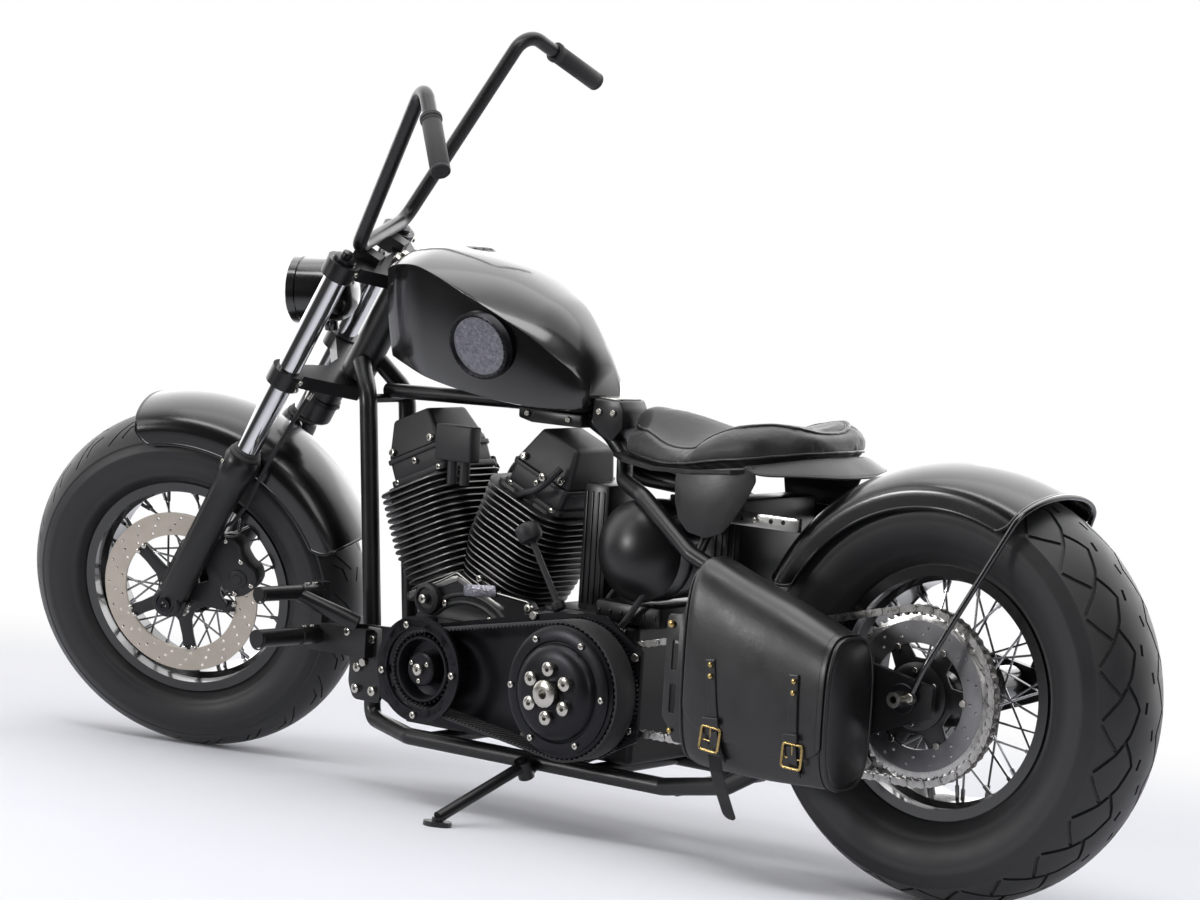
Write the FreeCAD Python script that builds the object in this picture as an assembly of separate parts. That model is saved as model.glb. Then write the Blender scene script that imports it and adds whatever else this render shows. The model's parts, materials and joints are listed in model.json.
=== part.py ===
import FreeCAD, Part
import os
from math import acos, asin, atan2, cos, degrees, hypot, pi, radians, sin, sqrt, tan

# Chopper motorcycle with a rigid rear frame, an air-cooled V-twin engine and an
# open belt primary drive. Sizes are in millimetres.
#
# Each piece is first built in the bike's own upright frame: +X points forward,
# +Y to the rider's left and +Z up, with the rear wheel's centre above the
# origin. The front end is then turned about the steering axis, and last of all
# the whole machine is leaned over until it stands on both tyres and the side
# stand's foot.

Vec = FreeCAD.Vector
X_AXIS, Y_AXIS, Z_AXIS = Vec(1, 0, 0), Vec(0, 1, 0), Vec(0, 0, 1)
SIDES = {"left": 1, "right": -1}

# ---- stance ----------------------------------------------------------------
LEAN_DEG = 5.0                 # towards the left, onto the side stand
STEER_DEG = 24.0               # turned to the left stop
SEAT_GAP = 0.3                 # clearance between pieces that nearly touch
RUNNING_GAP = 0.05             # radial clearance of a hub on its axle
SPOKE_TIP_GAP = 1.0            # between a slanting spoke's end and the rim

# ---- wheels ----------------------------------------------------------------
WHEELBASE = 1660.0
RIM_FLANGE_R = 202.0           # fifteen inch rims at both ends
RIM_SEAT_R = 190.0
RIM_WELL_R = 181.0
RIM_WALL = 5.0
REAR_TYRE_R, REAR_TYRE_W, REAR_CROWN_R = 342.0, 208.0, 150.0
FRONT_TYRE_R, FRONT_TYRE_W, FRONT_CROWN_R = 324.0, 174.0, 100.0
REAR_RIM_W, FRONT_RIM_W = 140.0, 128.0
SPOKE_COUNT = 40
SPOKE_R = 2.2
AXLE_R = 12.5
AXLE_BORE_R = 6.0

# ---- steering and fork -----------------------------------------------------
RAKE_DEG = 31.0
HEAD_X = WHEELBASE - 324.0     # steering axis where it passes z = HEAD_Z
HEAD_Z = 700.0
STANCHION_R, SLIDER_R = 21.0, 31.0
SLIDER_TOP = 330.0
COLLAR_EXTRA, COLLAR_LEN = 3.0, 44.0   # the thicker collar at a lower leg's top
FRONT_FENDER_R, FRONT_FENDER_HALF_W = 356.0, 96.0
FORK_HALF_SPAN = FRONT_FENDER_HALF_W + SLIDER_R + 7.0
FRONT_HUB_HALF = FORK_HALF_SPAN - SLIDER_R + 1.0
FRONT_DISC_R, FRONT_DISC_Y, DISC_T = 152.0, 88.0, 5.0
CLAMP_LOW, CLAMP_HIGH = 503.0, 734.0   # along the legs, from the front axle
CLAMP_T = 32.0
CLAMP_NOSE = -34.0             # front edge of a clamp's middle, from the legs
NECK_R, STEM_R = 30.0, 14.0
NECK_LOW, NECK_HIGH = CLAMP_LOW + CLAMP_T / 2 + 4, CLAMP_HIGH - CLAMP_T / 2 - 4
BAR_R, GRIP_R, GRIP_LEN = 12.7, 16.5, 125.0
BAR_POINTS = ((HEAD_X - 80, 114, 986), (HEAD_X - 279, 262, 1302), (HEAD_X - 356, 412, 1186))
LAMP_R, LAMP_HALF = 58.0, 57.0
LAMP_AT = (HEAD_X + 30, 0, 881)
HORN_R, HORN_LEN, HORN_BACK = 30.0, 87.0, 50.0
HOSE_R, HOSE_BEND = 3.5, 24.0
HOSE_ROUTE = (
    # along the leg, to the left, ahead of the leg
    (CLAMP_LOW - CLAMP_T / 2 + 1.5, 94.0, -46.0), (440.0, 112.0, -46.0), (380.0, 123.0, -44.0),
    (310.0, 124.0, -42.0), (240.0, 118.0, -42.0), (190.0, 108.0, -32.0), (160.0, 101.0, -14.0),
    (134.0, 100.0, -38.0),
)

# ---- frame -----------------------------------------------------------------
TUBE_R, RAIL_R, STAY_R = 16.0, 15.0, 14.0
DOWN_TUBE_X, DOWN_TUBE_Y = HEAD_X - 140.0, 52.0   # foot of the down tubes
RAIL_Y, RAIL_Z = 128.0, 122.0
CROSS_R = 12.0
CROSS_XS = (452.0, 640.0, 1000.0)
CROSS_TOP = RAIL_Z + CROSS_R
STAY_Y = 160.0
BACKBONE_BEND = 60.0
BACKBONE = (
    # x, z from under the tank back, down and to the rear cross bar
    (1000.0, 812.0), (735.0, 680.0), (665.0, 613.0), (500.0, 603.0), (455.0, 545.0), (CROSS_XS[0], 300.0),
    (CROSS_XS[0], CROSS_TOP + SEAT_GAP),
)
LOW_BAR = (Vec(HEAD_X - 93, 0, 706), Vec(930, 0, 714))
LOW_BAR_R = 13.0
AXLE_PLATE_T = 12.0
AXLE_PLATE = ((-52, 318), (-52, 366), (80, 392), (96, 360), (90, 276), (60, 276))
STAND_PIVOT = (752.0, 160.0, 118.0)
STAND_HALF, STAND_PIN_R = 10.0, 6.0
STAND_FOOT_AHEAD, STAND_FOOT_OUT = 28.0, 175.0

# ---- engine and drives -----------------------------------------------------
V_APEX = (985.0, 256.0)
V_HALF_DEG = 22.5
FIN_R, FIN_T, FIN_PITCH, FIN_COUNT = 95.0, 3.0, 11.5, 16
FIN_START = 148.0
BARREL_R = 72.0
PORT_UP, PORT_OFF, PORT_Y = 300.0, 34.0, 98.0
PIPE_R = 20.0
ROCKER_LOW, ROCKER_HIGH = 334.0, 446.0
CRANK = (958.0, 257.0)
CLUTCH = (650.0, 262.0)
SPROCKET_PITCH_R, DRIVE_SPROCKET_R = 138.0, 60.0
CHAIN_Y, CHAIN_W, CHAIN_H = 122.0, 20.0, 14.0
PLATE_Y, PLATE_T = 137.0, 7.0
PULLEY_Y0, PULLEY_Y1 = 147.0, 209.0
FRONT_PULLEY_R, CLUTCH_R, BELT_T = 62.0, 112.0, 6.0
PEG_X = DOWN_TUBE_X + 42.0
PEG_R, LEVER_PEG_R, PEG_LEN = 16.0, 13.0, 160.0
OIL_TANK_AT, OIL_TANK_R, OIL_TANK_HALF, OIL_TANK_DOME = (578.0, 500.0), 84.0, 108.0, 40.0
SILENCER_R = 38.0
CLEANER_R, CLEANER_UP = 78.0, 284.0

# ---- bodywork --------------------------------------------------------------
REAR_FENDER_R, REAR_FENDER_HALF_W = 366.0, 118.0
FENDER_T = 3.0
FENDER_SKIRT, FENDER_CROWN = 72.0, 24.0
REAR_FENDER_SPAN, FRONT_FENDER_SPAN = (-64.0, 26.0), (-11.0, 73.0)
STRUT_R = 5.0
BAG_T = 120.0
TANK_SECTIONS = (
    # x, half width, bottom z, top z, bottom half width, crease z
    (1166.0, 104.0, 772.0, 958.0, 80.0, 925.0),
    (1060.0, 142.0, 742.0, 974.0, 104.0, 938.0),
    (940.0, 146.0, 722.0, 948.0, 104.0, 890.0),
    (840.0, 112.0, 712.0, 898.0, 84.0, 836.0),
    (762.0, 58.0, 712.0, 812.0, 46.0, 772.0),
)
SEAT_PAN_T, SEAT_PAN_LIP = 6.0, 8.0
SEAT_SECTIONS = (
    # x, half width, bottom z, top z
    (672.0, 62.0, 655.0, 712.0),
    (630.0, 92.0, 650.0, 733.0),
    (540.0, 128.0, 646.0, 722.0),
    (450.0, 156.0, 652.0, 712.0),
    (360.0, 156.0, 660.0, 718.0),
    (290.0, 122.0, 668.0, 728.0),
    (258.0, 66.0, 674.0, 712.0),
)
BAG_OUTLINE = ((378, 508), (350, 520), (50, 430), (42, 400), (42, 214), (70, 190), (370, 190), (392, 214))


def add(a, b, k=1.0):
    """Return a + k b for two vectors."""
    return Vec(a.x + k * b.x, a.y + k * b.y, a.z + k * b.z)


def rod(start, end, radius):
    """Return a cylinder from start to end."""
    along = add(end, start, -1)
    return Part.makeCylinder(radius, along.Length, start, along)


def block(x0, x1, y0, y1, z0, z1):
    """Return a box between two corners."""
    return Part.makeBox(x1 - x0, y1 - y0, z1 - z0, Vec(x0, y0, z0))


def rounded(shape, radius, pick=None):
    """Return the shape with its edges rounded; pick chooses the edges."""
    edges = [e for e in shape.Edges if pick is None or pick(e)]
    return shape.makeFillet(radius, edges)


def fuse(pieces):
    """Return the pieces fused and cleaned of inner seams."""
    whole = pieces[0].multiFuse(pieces[1:]) if len(pieces) > 1 else pieces[0]
    return whole.removeSplitter()


def bend_path(points, bend):
    """Return a wire of straight runs joined by tangent arcs of radius bend."""
    corners = [Vec(*p) for p in points]
    edges = []
    start = corners[0]
    for before, corner, after in zip(corners, corners[1:], corners[2:]):
        back = add(before, corner, -1).normalize()
        ahead = add(after, corner, -1).normalize()
        turn = pi - acos(max(-1.0, min(1.0, back.dot(ahead))))
        reach = bend * tan(turn / 2)
        first, last = add(corner, back, reach), add(corner, ahead, reach)
        inward = add(back, ahead).normalize()
        middle = add(corner, inward, bend / cos(turn / 2) - bend)
        edges.append(Part.LineSegment(start, first).toShape())
        edges.append(Part.Arc(first, middle, last).toShape())
        start = last
    edges.append(Part.LineSegment(start, corners[-1]).toShape())
    return Part.Wire(edges)


def bent_tube(points, radius, bend):
    """Return a round bar along bend_path(points, bend)."""
    path = bend_path(points, bend)
    start, ahead = Vec(*points[0]), add(Vec(*points[1]), Vec(*points[0]), -1)
    ring = Part.Wire(Part.Circle(start, ahead, radius).toShape())
    sweep = Part.BRepOffsetAPI.MakePipeShell(path)
    sweep.add(ring)
    sweep.build()
    sweep.makeSolid()
    return sweep.shape()


def turned(profile, centre_x, centre_z):
    """Return the solid of a closed (radius, y) profile turned about an axle.

    Each profile entry is a corner (r, y), or an arc's middle (r, y, "arc")
    between the corners on its two sides.
    """
    def at(entry):
        return Vec(centre_x + entry[0], entry[1], centre_z)
    edges = []
    corner, middle = profile[0], None
    for entry in profile[1:] + [profile[0]]:
        if len(entry) == 3:
            middle = entry
            continue
        if middle is None:
            edges.append(Part.LineSegment(at(corner), at(entry)).toShape())
        else:
            edges.append(Part.Arc(at(corner), at(middle), at(entry)).toShape())
        corner, middle = entry, None
    face = Part.Face(Part.Wire(edges))
    return face.revolve(Vec(centre_x, 0, centre_z), Y_AXIS, 360)


def side_plate(outline, y0, y1):
    """Return a plate from an outline of (x, z) corners, from y0 to y1."""
    corners = [Vec(x, y0, z) for x, z in outline]
    face = Part.Face(Part.makePolygon(corners + corners[:1]))
    return face.extrude(Vec(0, y1 - y0, 0))


# ---- wheels ----------------------------------------------------------------
def tyre(radius, width, crown, rim_width, cx, cz):
    """Return a tyre: a crowned tread, round shoulders and bulged side walls."""
    half = width / 2
    edge = half - 8.0
    shoulder_r = radius - crown + sqrt(crown ** 2 - edge ** 2)
    side_r = (RIM_FLANGE_R + shoulder_r) / 2 + 4.0
    bead = rim_width / 2 - RIM_WALL - 1.0
    foot_r = RIM_SEAT_R + SEAT_GAP
    clear_r = RIM_FLANGE_R + 2.0
    return turned([(foot_r, -bead), (clear_r, -bead), (side_r, -half, "arc"), (shoulder_r, -edge),
                   (radius, 0, "arc"), (shoulder_r, edge), (side_r, half, "arc"), (clear_r, bead),
                   (foot_r, bead)], cx, cz)


def rim(width, cx, cz):
    """Return a drop-centre rim with two flanges."""
    half = width / 2
    inner, seat = half - RIM_WALL, half - 26.0
    return turned([(RIM_FLANGE_R, -half), (RIM_FLANGE_R, -inner), (RIM_SEAT_R, -inner), (RIM_SEAT_R, -seat),
                   (RIM_WELL_R, -seat + 12), (RIM_WELL_R, seat - 12), (RIM_SEAT_R, seat), (RIM_SEAT_R, inner),
                   (RIM_FLANGE_R, inner), (RIM_FLANGE_R, half), (RIM_SEAT_R - RIM_WALL, half),
                   (RIM_SEAT_R - RIM_WALL, seat + 2), (RIM_WELL_R - RIM_WALL, seat - 10),
                   (RIM_WELL_R - RIM_WALL, -seat + 10), (RIM_SEAT_R - RIM_WALL, -seat - 2),
                   (RIM_SEAT_R - RIM_WALL, -half)], cx, cz)


def hub(half_length, flange_y, cx, cz):
    """Return a hub with two flanges and its crossed spokes."""
    bore = AXLE_R + RUNNING_GAP
    half = [(34, flange_y - 10), (54, flange_y - 3), (54, flange_y + 3), (24, flange_y + 8),
            (24, half_length), (bore, half_length)]
    pieces = [turned([(r, -y) for r, y in reversed(half)] + half, cx, cz)]
    tip_r = RIM_WELL_R - RIM_WALL - SPOKE_TIP_GAP
    for n in range(SPOKE_COUNT):
        side = 1 if n % 2 else -1
        lead = (1 if (n // 2) % 2 else -1) * radians(58)
        tip = 2 * pi * n / SPOKE_COUNT
        start = Vec(cx + 48 * cos(tip + lead), side * flange_y, cz + 48 * sin(tip + lead))
        end = Vec(cx + tip_r * cos(tip), side * 14.0, cz + tip_r * sin(tip))
        pieces.append(rod(start, end, SPOKE_R))
    return fuse(pieces)


def disc(radius, inner, y, carrier_r, cx, cz):
    """Return a brake disc on its five-armed carrier."""
    y0, y1 = y - DISC_T / 2, y + DISC_T / 2
    pieces = [turned([(inner, y0), (radius, y0), (radius, y1), (inner, y1)], cx, cz),
              turned([(AXLE_R + 12, y0), (carrier_r, y0), (carrier_r, y1), (AXLE_R + 12, y1)], cx, cz)]
    for n in range(5):
        turn = 90 + 72 * n
        arm = block(carrier_r - 6, inner + 8, y0, y1, -11, 11)
        arm.rotate(Vec(0, 0, 0), Y_AXIS, turn)
        arm.translate(Vec(cx, 0, cz))
        pieces.append(arm)
    return fuse(pieces)


# ---- steering frame --------------------------------------------------------
RAKE = radians(RAKE_DEG)
FRONT_AXLE = Vec(WHEELBASE, 0, FRONT_TYRE_R)
UP_AXIS = Vec(-sin(RAKE), 0, cos(RAKE))
AHEAD_AXIS = Vec(cos(RAKE), 0, sin(RAKE))
STEER_POINT = Vec(HEAD_X, 0, HEAD_Z)
FORK_OFFSET = add(FRONT_AXLE, STEER_POINT, -1).dot(AHEAD_AXIS)
STEM_FOOT = add(FRONT_AXLE, AHEAD_AXIS, -FORK_OFFSET)


def on_leg(t, y=0.0, ahead=0.0):
    """Return the point t along the fork from the front axle."""
    return add(add(add(FRONT_AXLE, UP_AXIS, t), AHEAD_AXIS, ahead), Y_AXIS, y)


def on_stem(t):
    """Return the point t along the steering axis, square to the front axle."""
    return add(STEM_FOOT, UP_AXIS, t)


def across(shape):
    """Return the mirror image of a shape on the bike's other side."""
    return shape.mirror(Vec(0, 0, 0), Y_AXIS)


def raked_block(t0, t1, half_y, a0, a1):
    """Return a box laid along the fork: t along it and a ahead of the legs."""
    box = block(a0, a1, -half_y, half_y, t0, t1)
    box.rotate(Vec(0, 0, 0), Y_AXIS, -RAKE_DEG)
    box.translate(FRONT_AXLE)
    return box


def clamp(t, stem_t0, stem_t1):
    """Return a fork clamp: a plate with two bosses and the stem's socket."""
    low, high = t - CLAMP_T / 2, t + CLAMP_T / 2
    half = [(-FORK_OFFSET - 28, 28), (CLAMP_NOSE, FORK_HALF_SPAN - 21), (-8, FORK_HALF_SPAN),
            (10, FORK_HALF_SPAN - 22), (CLAMP_NOSE, 24)]
    corners = [Vec(a, y, low + 3) for a, y in half] + [Vec(a, -y, low + 3) for a, y in reversed(half)]
    plate = Part.Face(Part.makePolygon(corners + corners[:1])).extrude(Vec(0, 0, CLAMP_T - 6))
    plate.rotate(Vec(0, 0, 0), Y_AXIS, -RAKE_DEG)
    plate.translate(FRONT_AXLE)
    pieces = [plate, rod(on_stem(stem_t0), on_stem(stem_t1), NECK_R - 4)]
    for side in SIDES.values():
        y = side * FORK_HALF_SPAN
        pieces.append(rod(on_leg(low, y), on_leg(high, y), STANCHION_R + 9))
    body = fuse(pieces)
    for side in SIDES.values():
        y = side * FORK_HALF_SPAN
        body = body.cut(rod(on_leg(low - 9, y), on_leg(high + 9, y), STANCHION_R + RUNNING_GAP))
    return body


def fender(radius, half_width, cx, cz, start_deg, end_deg):
    """Return a fender arched over a tyre between two angles from straight up.

    Angles are positive towards the rear. The top is crowned, and the sides
    come down past the tread as skirts.
    """
    foot = radius - FENDER_SKIRT

    def half_section(wall):
        """Return one side's (radius, y) points from the foot to the crown, moved in by a wall."""
        side, top = half_width - wall, radius - wall
        return [(foot, side), (radius - FENDER_CROWN, side), (top - 12, side - 9, "arc"), (top - 7, side - 31)]

    def mirrored(half):
        """Return a half section mirrored to the other side."""
        return [(p[0], -p[1]) + p[2:] for p in half]

    outer, inner = half_section(0), half_section(FENDER_T)
    ring = turned(mirrored(outer) + [(radius, 0, "arc")] + outer[::-1]
                  + inner + [(radius - FENDER_T, 0, "arc")] + mirrored(inner[::-1]), cx, cz)
    reach = 2.2 * radius
    steps = 24
    angles = [radians(start_deg + (end_deg - start_deg) * n / steps) for n in range(steps + 1)]
    corners = [Vec(cx, -reach, cz)] + [Vec(cx - reach * sin(a), -reach, cz + reach * cos(a)) for a in angles]
    wedge = Part.Face(Part.makePolygon(corners + corners[:1])).extrude(Vec(0, 2 * reach, 0))
    return ring.common(wedge)


def oval(x, half_w, low, high, foot_y, crease):
    """Return one closed tank section across the bike at x."""
    rise = high - crease
    corners = ((-foot_y, low), (-half_w, crease), (0, high), (half_w, crease), (foot_y, low))
    pts = [Vec(x, y, z) for y, z in corners]
    top_left = Vec(x, half_w * 0.62, crease + rise * 0.76)
    top_right = Vec(x, -half_w * 0.62, crease + rise * 0.76)
    edges = [Part.LineSegment(pts[0], pts[1]).toShape(),
             Part.Arc(pts[1], top_right, pts[2]).toShape(),
             Part.Arc(pts[2], top_left, pts[3]).toShape(),
             Part.LineSegment(pts[3], pts[4]).toShape(),
             Part.LineSegment(pts[4], pts[0]).toShape()]
    return Part.Wire(edges)


# ---- frame -----------------------------------------------------------------
def backbone():
    """Return the tube from the neck over the engine and down the seat post."""
    start = on_stem(NECK_HIGH - 40)
    return bent_tube([(start.x, 0, start.z)] + [(x, 0, z) for x, z in BACKBONE], TUBE_R, BACKBONE_BEND)


def frame_spine():
    """Return the steering neck with the backbone and the seat post."""
    neck = rod(on_stem(NECK_LOW), on_stem(NECK_HIGH), NECK_R)
    upper = backbone()
    bar = rod(*LOW_BAR, LOW_BAR_R)
    bar_tail = rod(LOW_BAR[1], Vec(800, 0, 706), LOW_BAR_R)
    reach = DOWN_TUBE_Y - TUBE_R + 3
    tie_z = LOW_BAR[0].z - 14
    tie = rod(Vec(LOW_BAR[0].x, -reach, tie_z), Vec(LOW_BAR[0].x, reach, tie_z), 8)
    whole = fuse([neck, upper, bar, bar_tail, tie])
    whole = whole.cut(fuse([down_tube(side) for side in SIDES.values()]))
    return whole.cut(rod(on_stem(0), on_stem(900), STEM_R + RUNNING_GAP))


def down_tube(side):
    """Return one front down tube from the neck to the lower rail."""
    y = side * DOWN_TUBE_Y
    top = on_stem(CLAMP_LOW + CLAMP_T / 2 + 42)
    points = [(top.x - 12, side * 24, top.z - 8), (DOWN_TUBE_X + 47, y, HEAD_Z), (DOWN_TUBE_X + 10, y, 300),
              (DOWN_TUBE_X, y, 168)]
    tube = bent_tube(points, TUBE_R, 60)
    return tube.cut(rod(on_stem(0), on_stem(900), NECK_R))


def lower_rail(side):
    """Return one lower rail from under the down tube back to the axle plate."""
    y = side * RAIL_Y
    tail = side * STAY_Y
    z = RAIL_Z
    head = DOWN_TUBE_X
    rail = bent_tube([(head, side * DOWN_TUBE_Y, 168 - 1.3), (head - 4, side * (DOWN_TUBE_Y + 2), z + 4),
                      (1040, y, z), (480, y, z), (330, tail, 150), (70, tail, 300)], RAIL_R, 26)
    rail = rail.cut(side_plate(AXLE_PLATE, tail - 40, tail + 40))
    if side < 0:
        return rail
    reach = RAIL_Y - RAIL_R - SEAT_GAP
    pivot = Vec(*STAND_PIVOT)
    hinge = stand_hinge()[0]
    lug = rod(add(pivot, hinge, -STAND_HALF - SEAT_GAP), add(pivot, hinge, -STAND_HALF - 13), 14)
    root = rod(Vec(pivot.x, RAIL_Y, RAIL_Z - 6), add(pivot, hinge, -STAND_HALF - 11), 8)
    pin = rod(add(pivot, hinge, -STAND_HALF - 10), add(pivot, hinge, STAND_HALF + 4), STAND_PIN_R)
    bars = [rod(Vec(at, -reach, RAIL_Z), Vec(at, RAIL_Y, RAIL_Z), CROSS_R) for at in CROSS_XS]
    return fuse([rail, lug, root, pin] + bars)


def rear_stay(side):
    """Return one upper stay from the seat post down to its axle plate."""
    y = side * STAY_Y
    points = [(694, side * 8, 640), (640, side * 76, 610), (556, side * 130, 594), (430, y, 516),
              (66, y, 372)]
    tube = bent_tube(points, STAY_R, 50).cut(backbone())
    plate = side_plate(AXLE_PLATE, y - AXLE_PLATE_T / 2, y + AXLE_PLATE_T / 2)
    bar_y = side * (REAR_FENDER_HALF_W + SEAT_GAP + 3)
    bar = block(246, 420, bar_y - 3, bar_y + 3, 570, 592)
    link = rod(Vec(412, bar_y, 581), Vec(420, side * (STAY_Y - 3), 512), 8)
    slot = rod(Vec(0, y - 40, REAR_TYRE_R), Vec(0, y + 40, REAR_TYRE_R), AXLE_R + RUNNING_GAP)
    return fuse([tube, plate, bar, link]).cut(slot)


# ---- engine ----------------------------------------------------------------
def along_v(sign, r, x_off=0.0, y=0.0):
    """Return the point r up one cylinder's axis and x_off across it."""
    a = radians(V_HALF_DEG) * sign
    return Vec(V_APEX[0] + r * sin(a) + x_off * cos(a), y, V_APEX[1] + r * cos(a) - x_off * sin(a))


def cylinder(sign):
    """Return one finned barrel and head."""
    pieces = [rod(along_v(sign, FIN_START - 10), along_v(sign, ROCKER_LOW - SEAT_GAP), BARREL_R)]
    for n in range(FIN_COUNT):
        r = FIN_START + n * FIN_PITCH
        pieces.append(rod(along_v(sign, r), along_v(sign, r + FIN_T), FIN_R - max(0, 6 - n) * 1.5))
    port = along_v(sign, PORT_UP, sign * PORT_OFF)
    pieces.append(rod(add(port, Y_AXIS, -40), add(port, Y_AXIS, -PORT_Y), 25))
    x, z = V_APEX
    other_side = block(x - 400, x + SEAT_GAP / 2, -200, 200, z, z + 600)
    if sign < 0:
        other_side = block(x - SEAT_GAP / 2, x + 400, -200, 200, z, z + 600)
    return fuse(pieces).cut(other_side)


def rocker_box(sign):
    """Return one rocker cover, wider at its foot than at its top."""
    sections = []
    for r, half_x, half_y in ((ROCKER_LOW, 66, 68), (ROCKER_LOW + 50, 66, 68), (ROCKER_HIGH, 44, 54)):
        signs = ((1, 1), (-1, 1), (-1, -1), (1, -1))
        corners = [along_v(sign, r, dx * half_x - 14, dy * half_y) for dx, dy in signs]
        sections.append(Part.makePolygon(corners + corners[:1]))
    return Part.makeLoft(sections, True, True)


def crankcase():
    """Return the crankcase with flat seats for both barrels."""
    x, z = V_APEX
    core = Part.makeCylinder(121, 150, Vec(x, -75, z), Y_AXIS)
    foot = block(x - 150, x + 112, -70, 70, CROSS_TOP + SEAT_GAP, z)
    seats = [rod(along_v(s, 60), along_v(s, FIN_START - 10 - SEAT_GAP), 84) for s in (1, -1)]
    neck = rod(Vec(CRANK[0], 70, CRANK[1]), Vec(CRANK[0], PLATE_Y - SEAT_GAP, CRANK[1]), 46)
    lug = block(x, DOWN_TUBE_X - 12.2, -58, 58, 236, 262)
    whole = fuse([core, foot, neck, lug] + seats)
    room = [rod(along_v(s, FIN_START - 10 - SEAT_GAP), along_v(s, 400), FIN_R) for s in (1, -1)]
    return whole.cut(fuse(room))


def gearbox():
    """Return the gearbox behind the crankcase."""
    x0, x1 = V_APEX[0] - 150 - 250, V_APEX[0] - 150 - SEAT_GAP
    case = rounded(block(x0, x1, -88, 88, CROSS_TOP + SEAT_GAP, 372), 10)
    neck = rod(Vec(CLUTCH[0], 80, CLUTCH[1]), Vec(CLUTCH[0], CHAIN_Y - CHAIN_W / 2 - 3, CLUTCH[1]), 36)
    shaft = rod(Vec(CLUTCH[0], 80, CLUTCH[1]), Vec(CLUTCH[0], PLATE_Y - SEAT_GAP, CLUTCH[1]), 20)
    sprocket = rod(Vec(CLUTCH[0], CHAIN_Y - 4, CLUTCH[1]), Vec(CLUTCH[0], CHAIN_Y + 4, CLUTCH[1]),
                   DRIVE_SPROCKET_R - CHAIN_H / 2 - SEAT_GAP)
    return fuse([case, neck, shaft, sprocket])


def loop_band(small, big, r_small, r_big, y0, y1, thick):
    """Return a closed band round two circles, small one in front."""
    (x1, z1), (x2, z2) = small, big
    span = hypot(x1 - x2, z1 - z2)
    tilt = atan2(z1 - z2, x1 - x2)
    wrap = asin((r_big - r_small) / span)

    def outline(extra):
        a, b = r_small + extra, r_big + extra
        up, down = tilt + pi / 2 - wrap, tilt - pi / 2 + wrap
        p1 = Vec(x1 + a * cos(up), y0, z1 + a * sin(up))
        p2 = Vec(x2 + b * cos(up), y0, z2 + b * sin(up))
        q1 = Vec(x1 + a * cos(down), y0, z1 + a * sin(down))
        q2 = Vec(x2 + b * cos(down), y0, z2 + b * sin(down))
        nose = Vec(x1 + a * cos(tilt), y0, z1 + a * sin(tilt))
        tail = Vec(x2 - b * cos(tilt), y0, z2 - b * sin(tilt))
        edges = [Part.LineSegment(p2, p1).toShape(), Part.Arc(p1, nose, q1).toShape(),
                 Part.LineSegment(q1, q2).toShape(), Part.Arc(q2, tail, p2).toShape()]
        return Part.Face(Part.Wire(edges)).extrude(Vec(0, y1 - y0, 0))
    return outline(thick).cut(outline(0))


def primary_plate():
    """Return the motor plate that carries the open primary, with its front ring."""
    (x1, z1), (x2, z2) = CRANK, CLUTCH
    y0, y1 = PLATE_Y, PLATE_Y + PLATE_T
    plate = side_plate([(x1 + 84, 188), (x1 + 40, 158), (x2 - 20, 140), (x2 - 120, 190), (x2 - 120, 340),
                        (x2 - 40, 390), (x2 + 60, 384), (x1 + 84, 316)], y0, y1)
    tip = DOWN_TUBE_X - 38
    front = side_plate([(x1 + 70, 312), (tip - 4, 306), (tip, 262), (tip - 32, 196), (x1 + 120, 176),
                        (x1 + 60, 190)], y0, y1)
    ring = turned([(FRONT_PULLEY_R + 11, PULLEY_Y1 - 6), (FRONT_PULLEY_R + 30, PULLEY_Y1 - 6),
                   (FRONT_PULLEY_R + 30, PULLEY_Y1), (FRONT_PULLEY_R + 11, PULLEY_Y1)], x1, z1)
    feet = [Vec(x1 + 82 * cos(a), y0 + 2, z1 + 82 * sin(a)) for a in (radians(70), radians(-8), radians(-88))]
    posts = [rod(foot, Vec(foot.x, PULLEY_Y1 - 3, foot.z), 9) for foot in feet]
    return fuse([plate, front, ring] + posts)


def primary_belt():
    """Return the toothed primary belt."""
    return loop_band(CRANK, CLUTCH, FRONT_PULLEY_R + SEAT_GAP, CLUTCH_R + SEAT_GAP,
                     PULLEY_Y0 + 3, PULLEY_Y1 - 9, BELT_T)


def front_pulley():
    """Return the crankshaft pulley."""
    x, z = CRANK
    y0, y1 = PLATE_Y + PLATE_T + SEAT_GAP, PULLEY_Y1
    return turned([(0, y0), (FRONT_PULLEY_R, y0), (FRONT_PULLEY_R, y1 - 6), (34, y1 - 6), (34, y1 + 4),
                   (0, y1 + 4)], x, z)


def clutch_drum():
    """Return the clutch basket with its pulley rim, cover, dome and nut."""
    x, z = CLUTCH
    y0 = PLATE_Y + PLATE_T + SEAT_GAP
    return turned([(0, y0), (CLUTCH_R + 11, y0), (CLUTCH_R + 11, PULLEY_Y0 + 2), (CLUTCH_R, PULLEY_Y0 + 2),
                   (CLUTCH_R, PULLEY_Y1 - 8), (CLUTCH_R - 7, PULLEY_Y1 - 6), (CLUTCH_R - 7, PULLEY_Y1),
                   (78, PULLEY_Y1 + 2), (72, PULLEY_Y1 + 14), (54, PULLEY_Y1 + 14), (50, PULLEY_Y1 + 8),
                   (24, PULLEY_Y1 + 8), (24, PULLEY_Y1 + 22), (0, PULLEY_Y1 + 22)], x, z)


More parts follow.
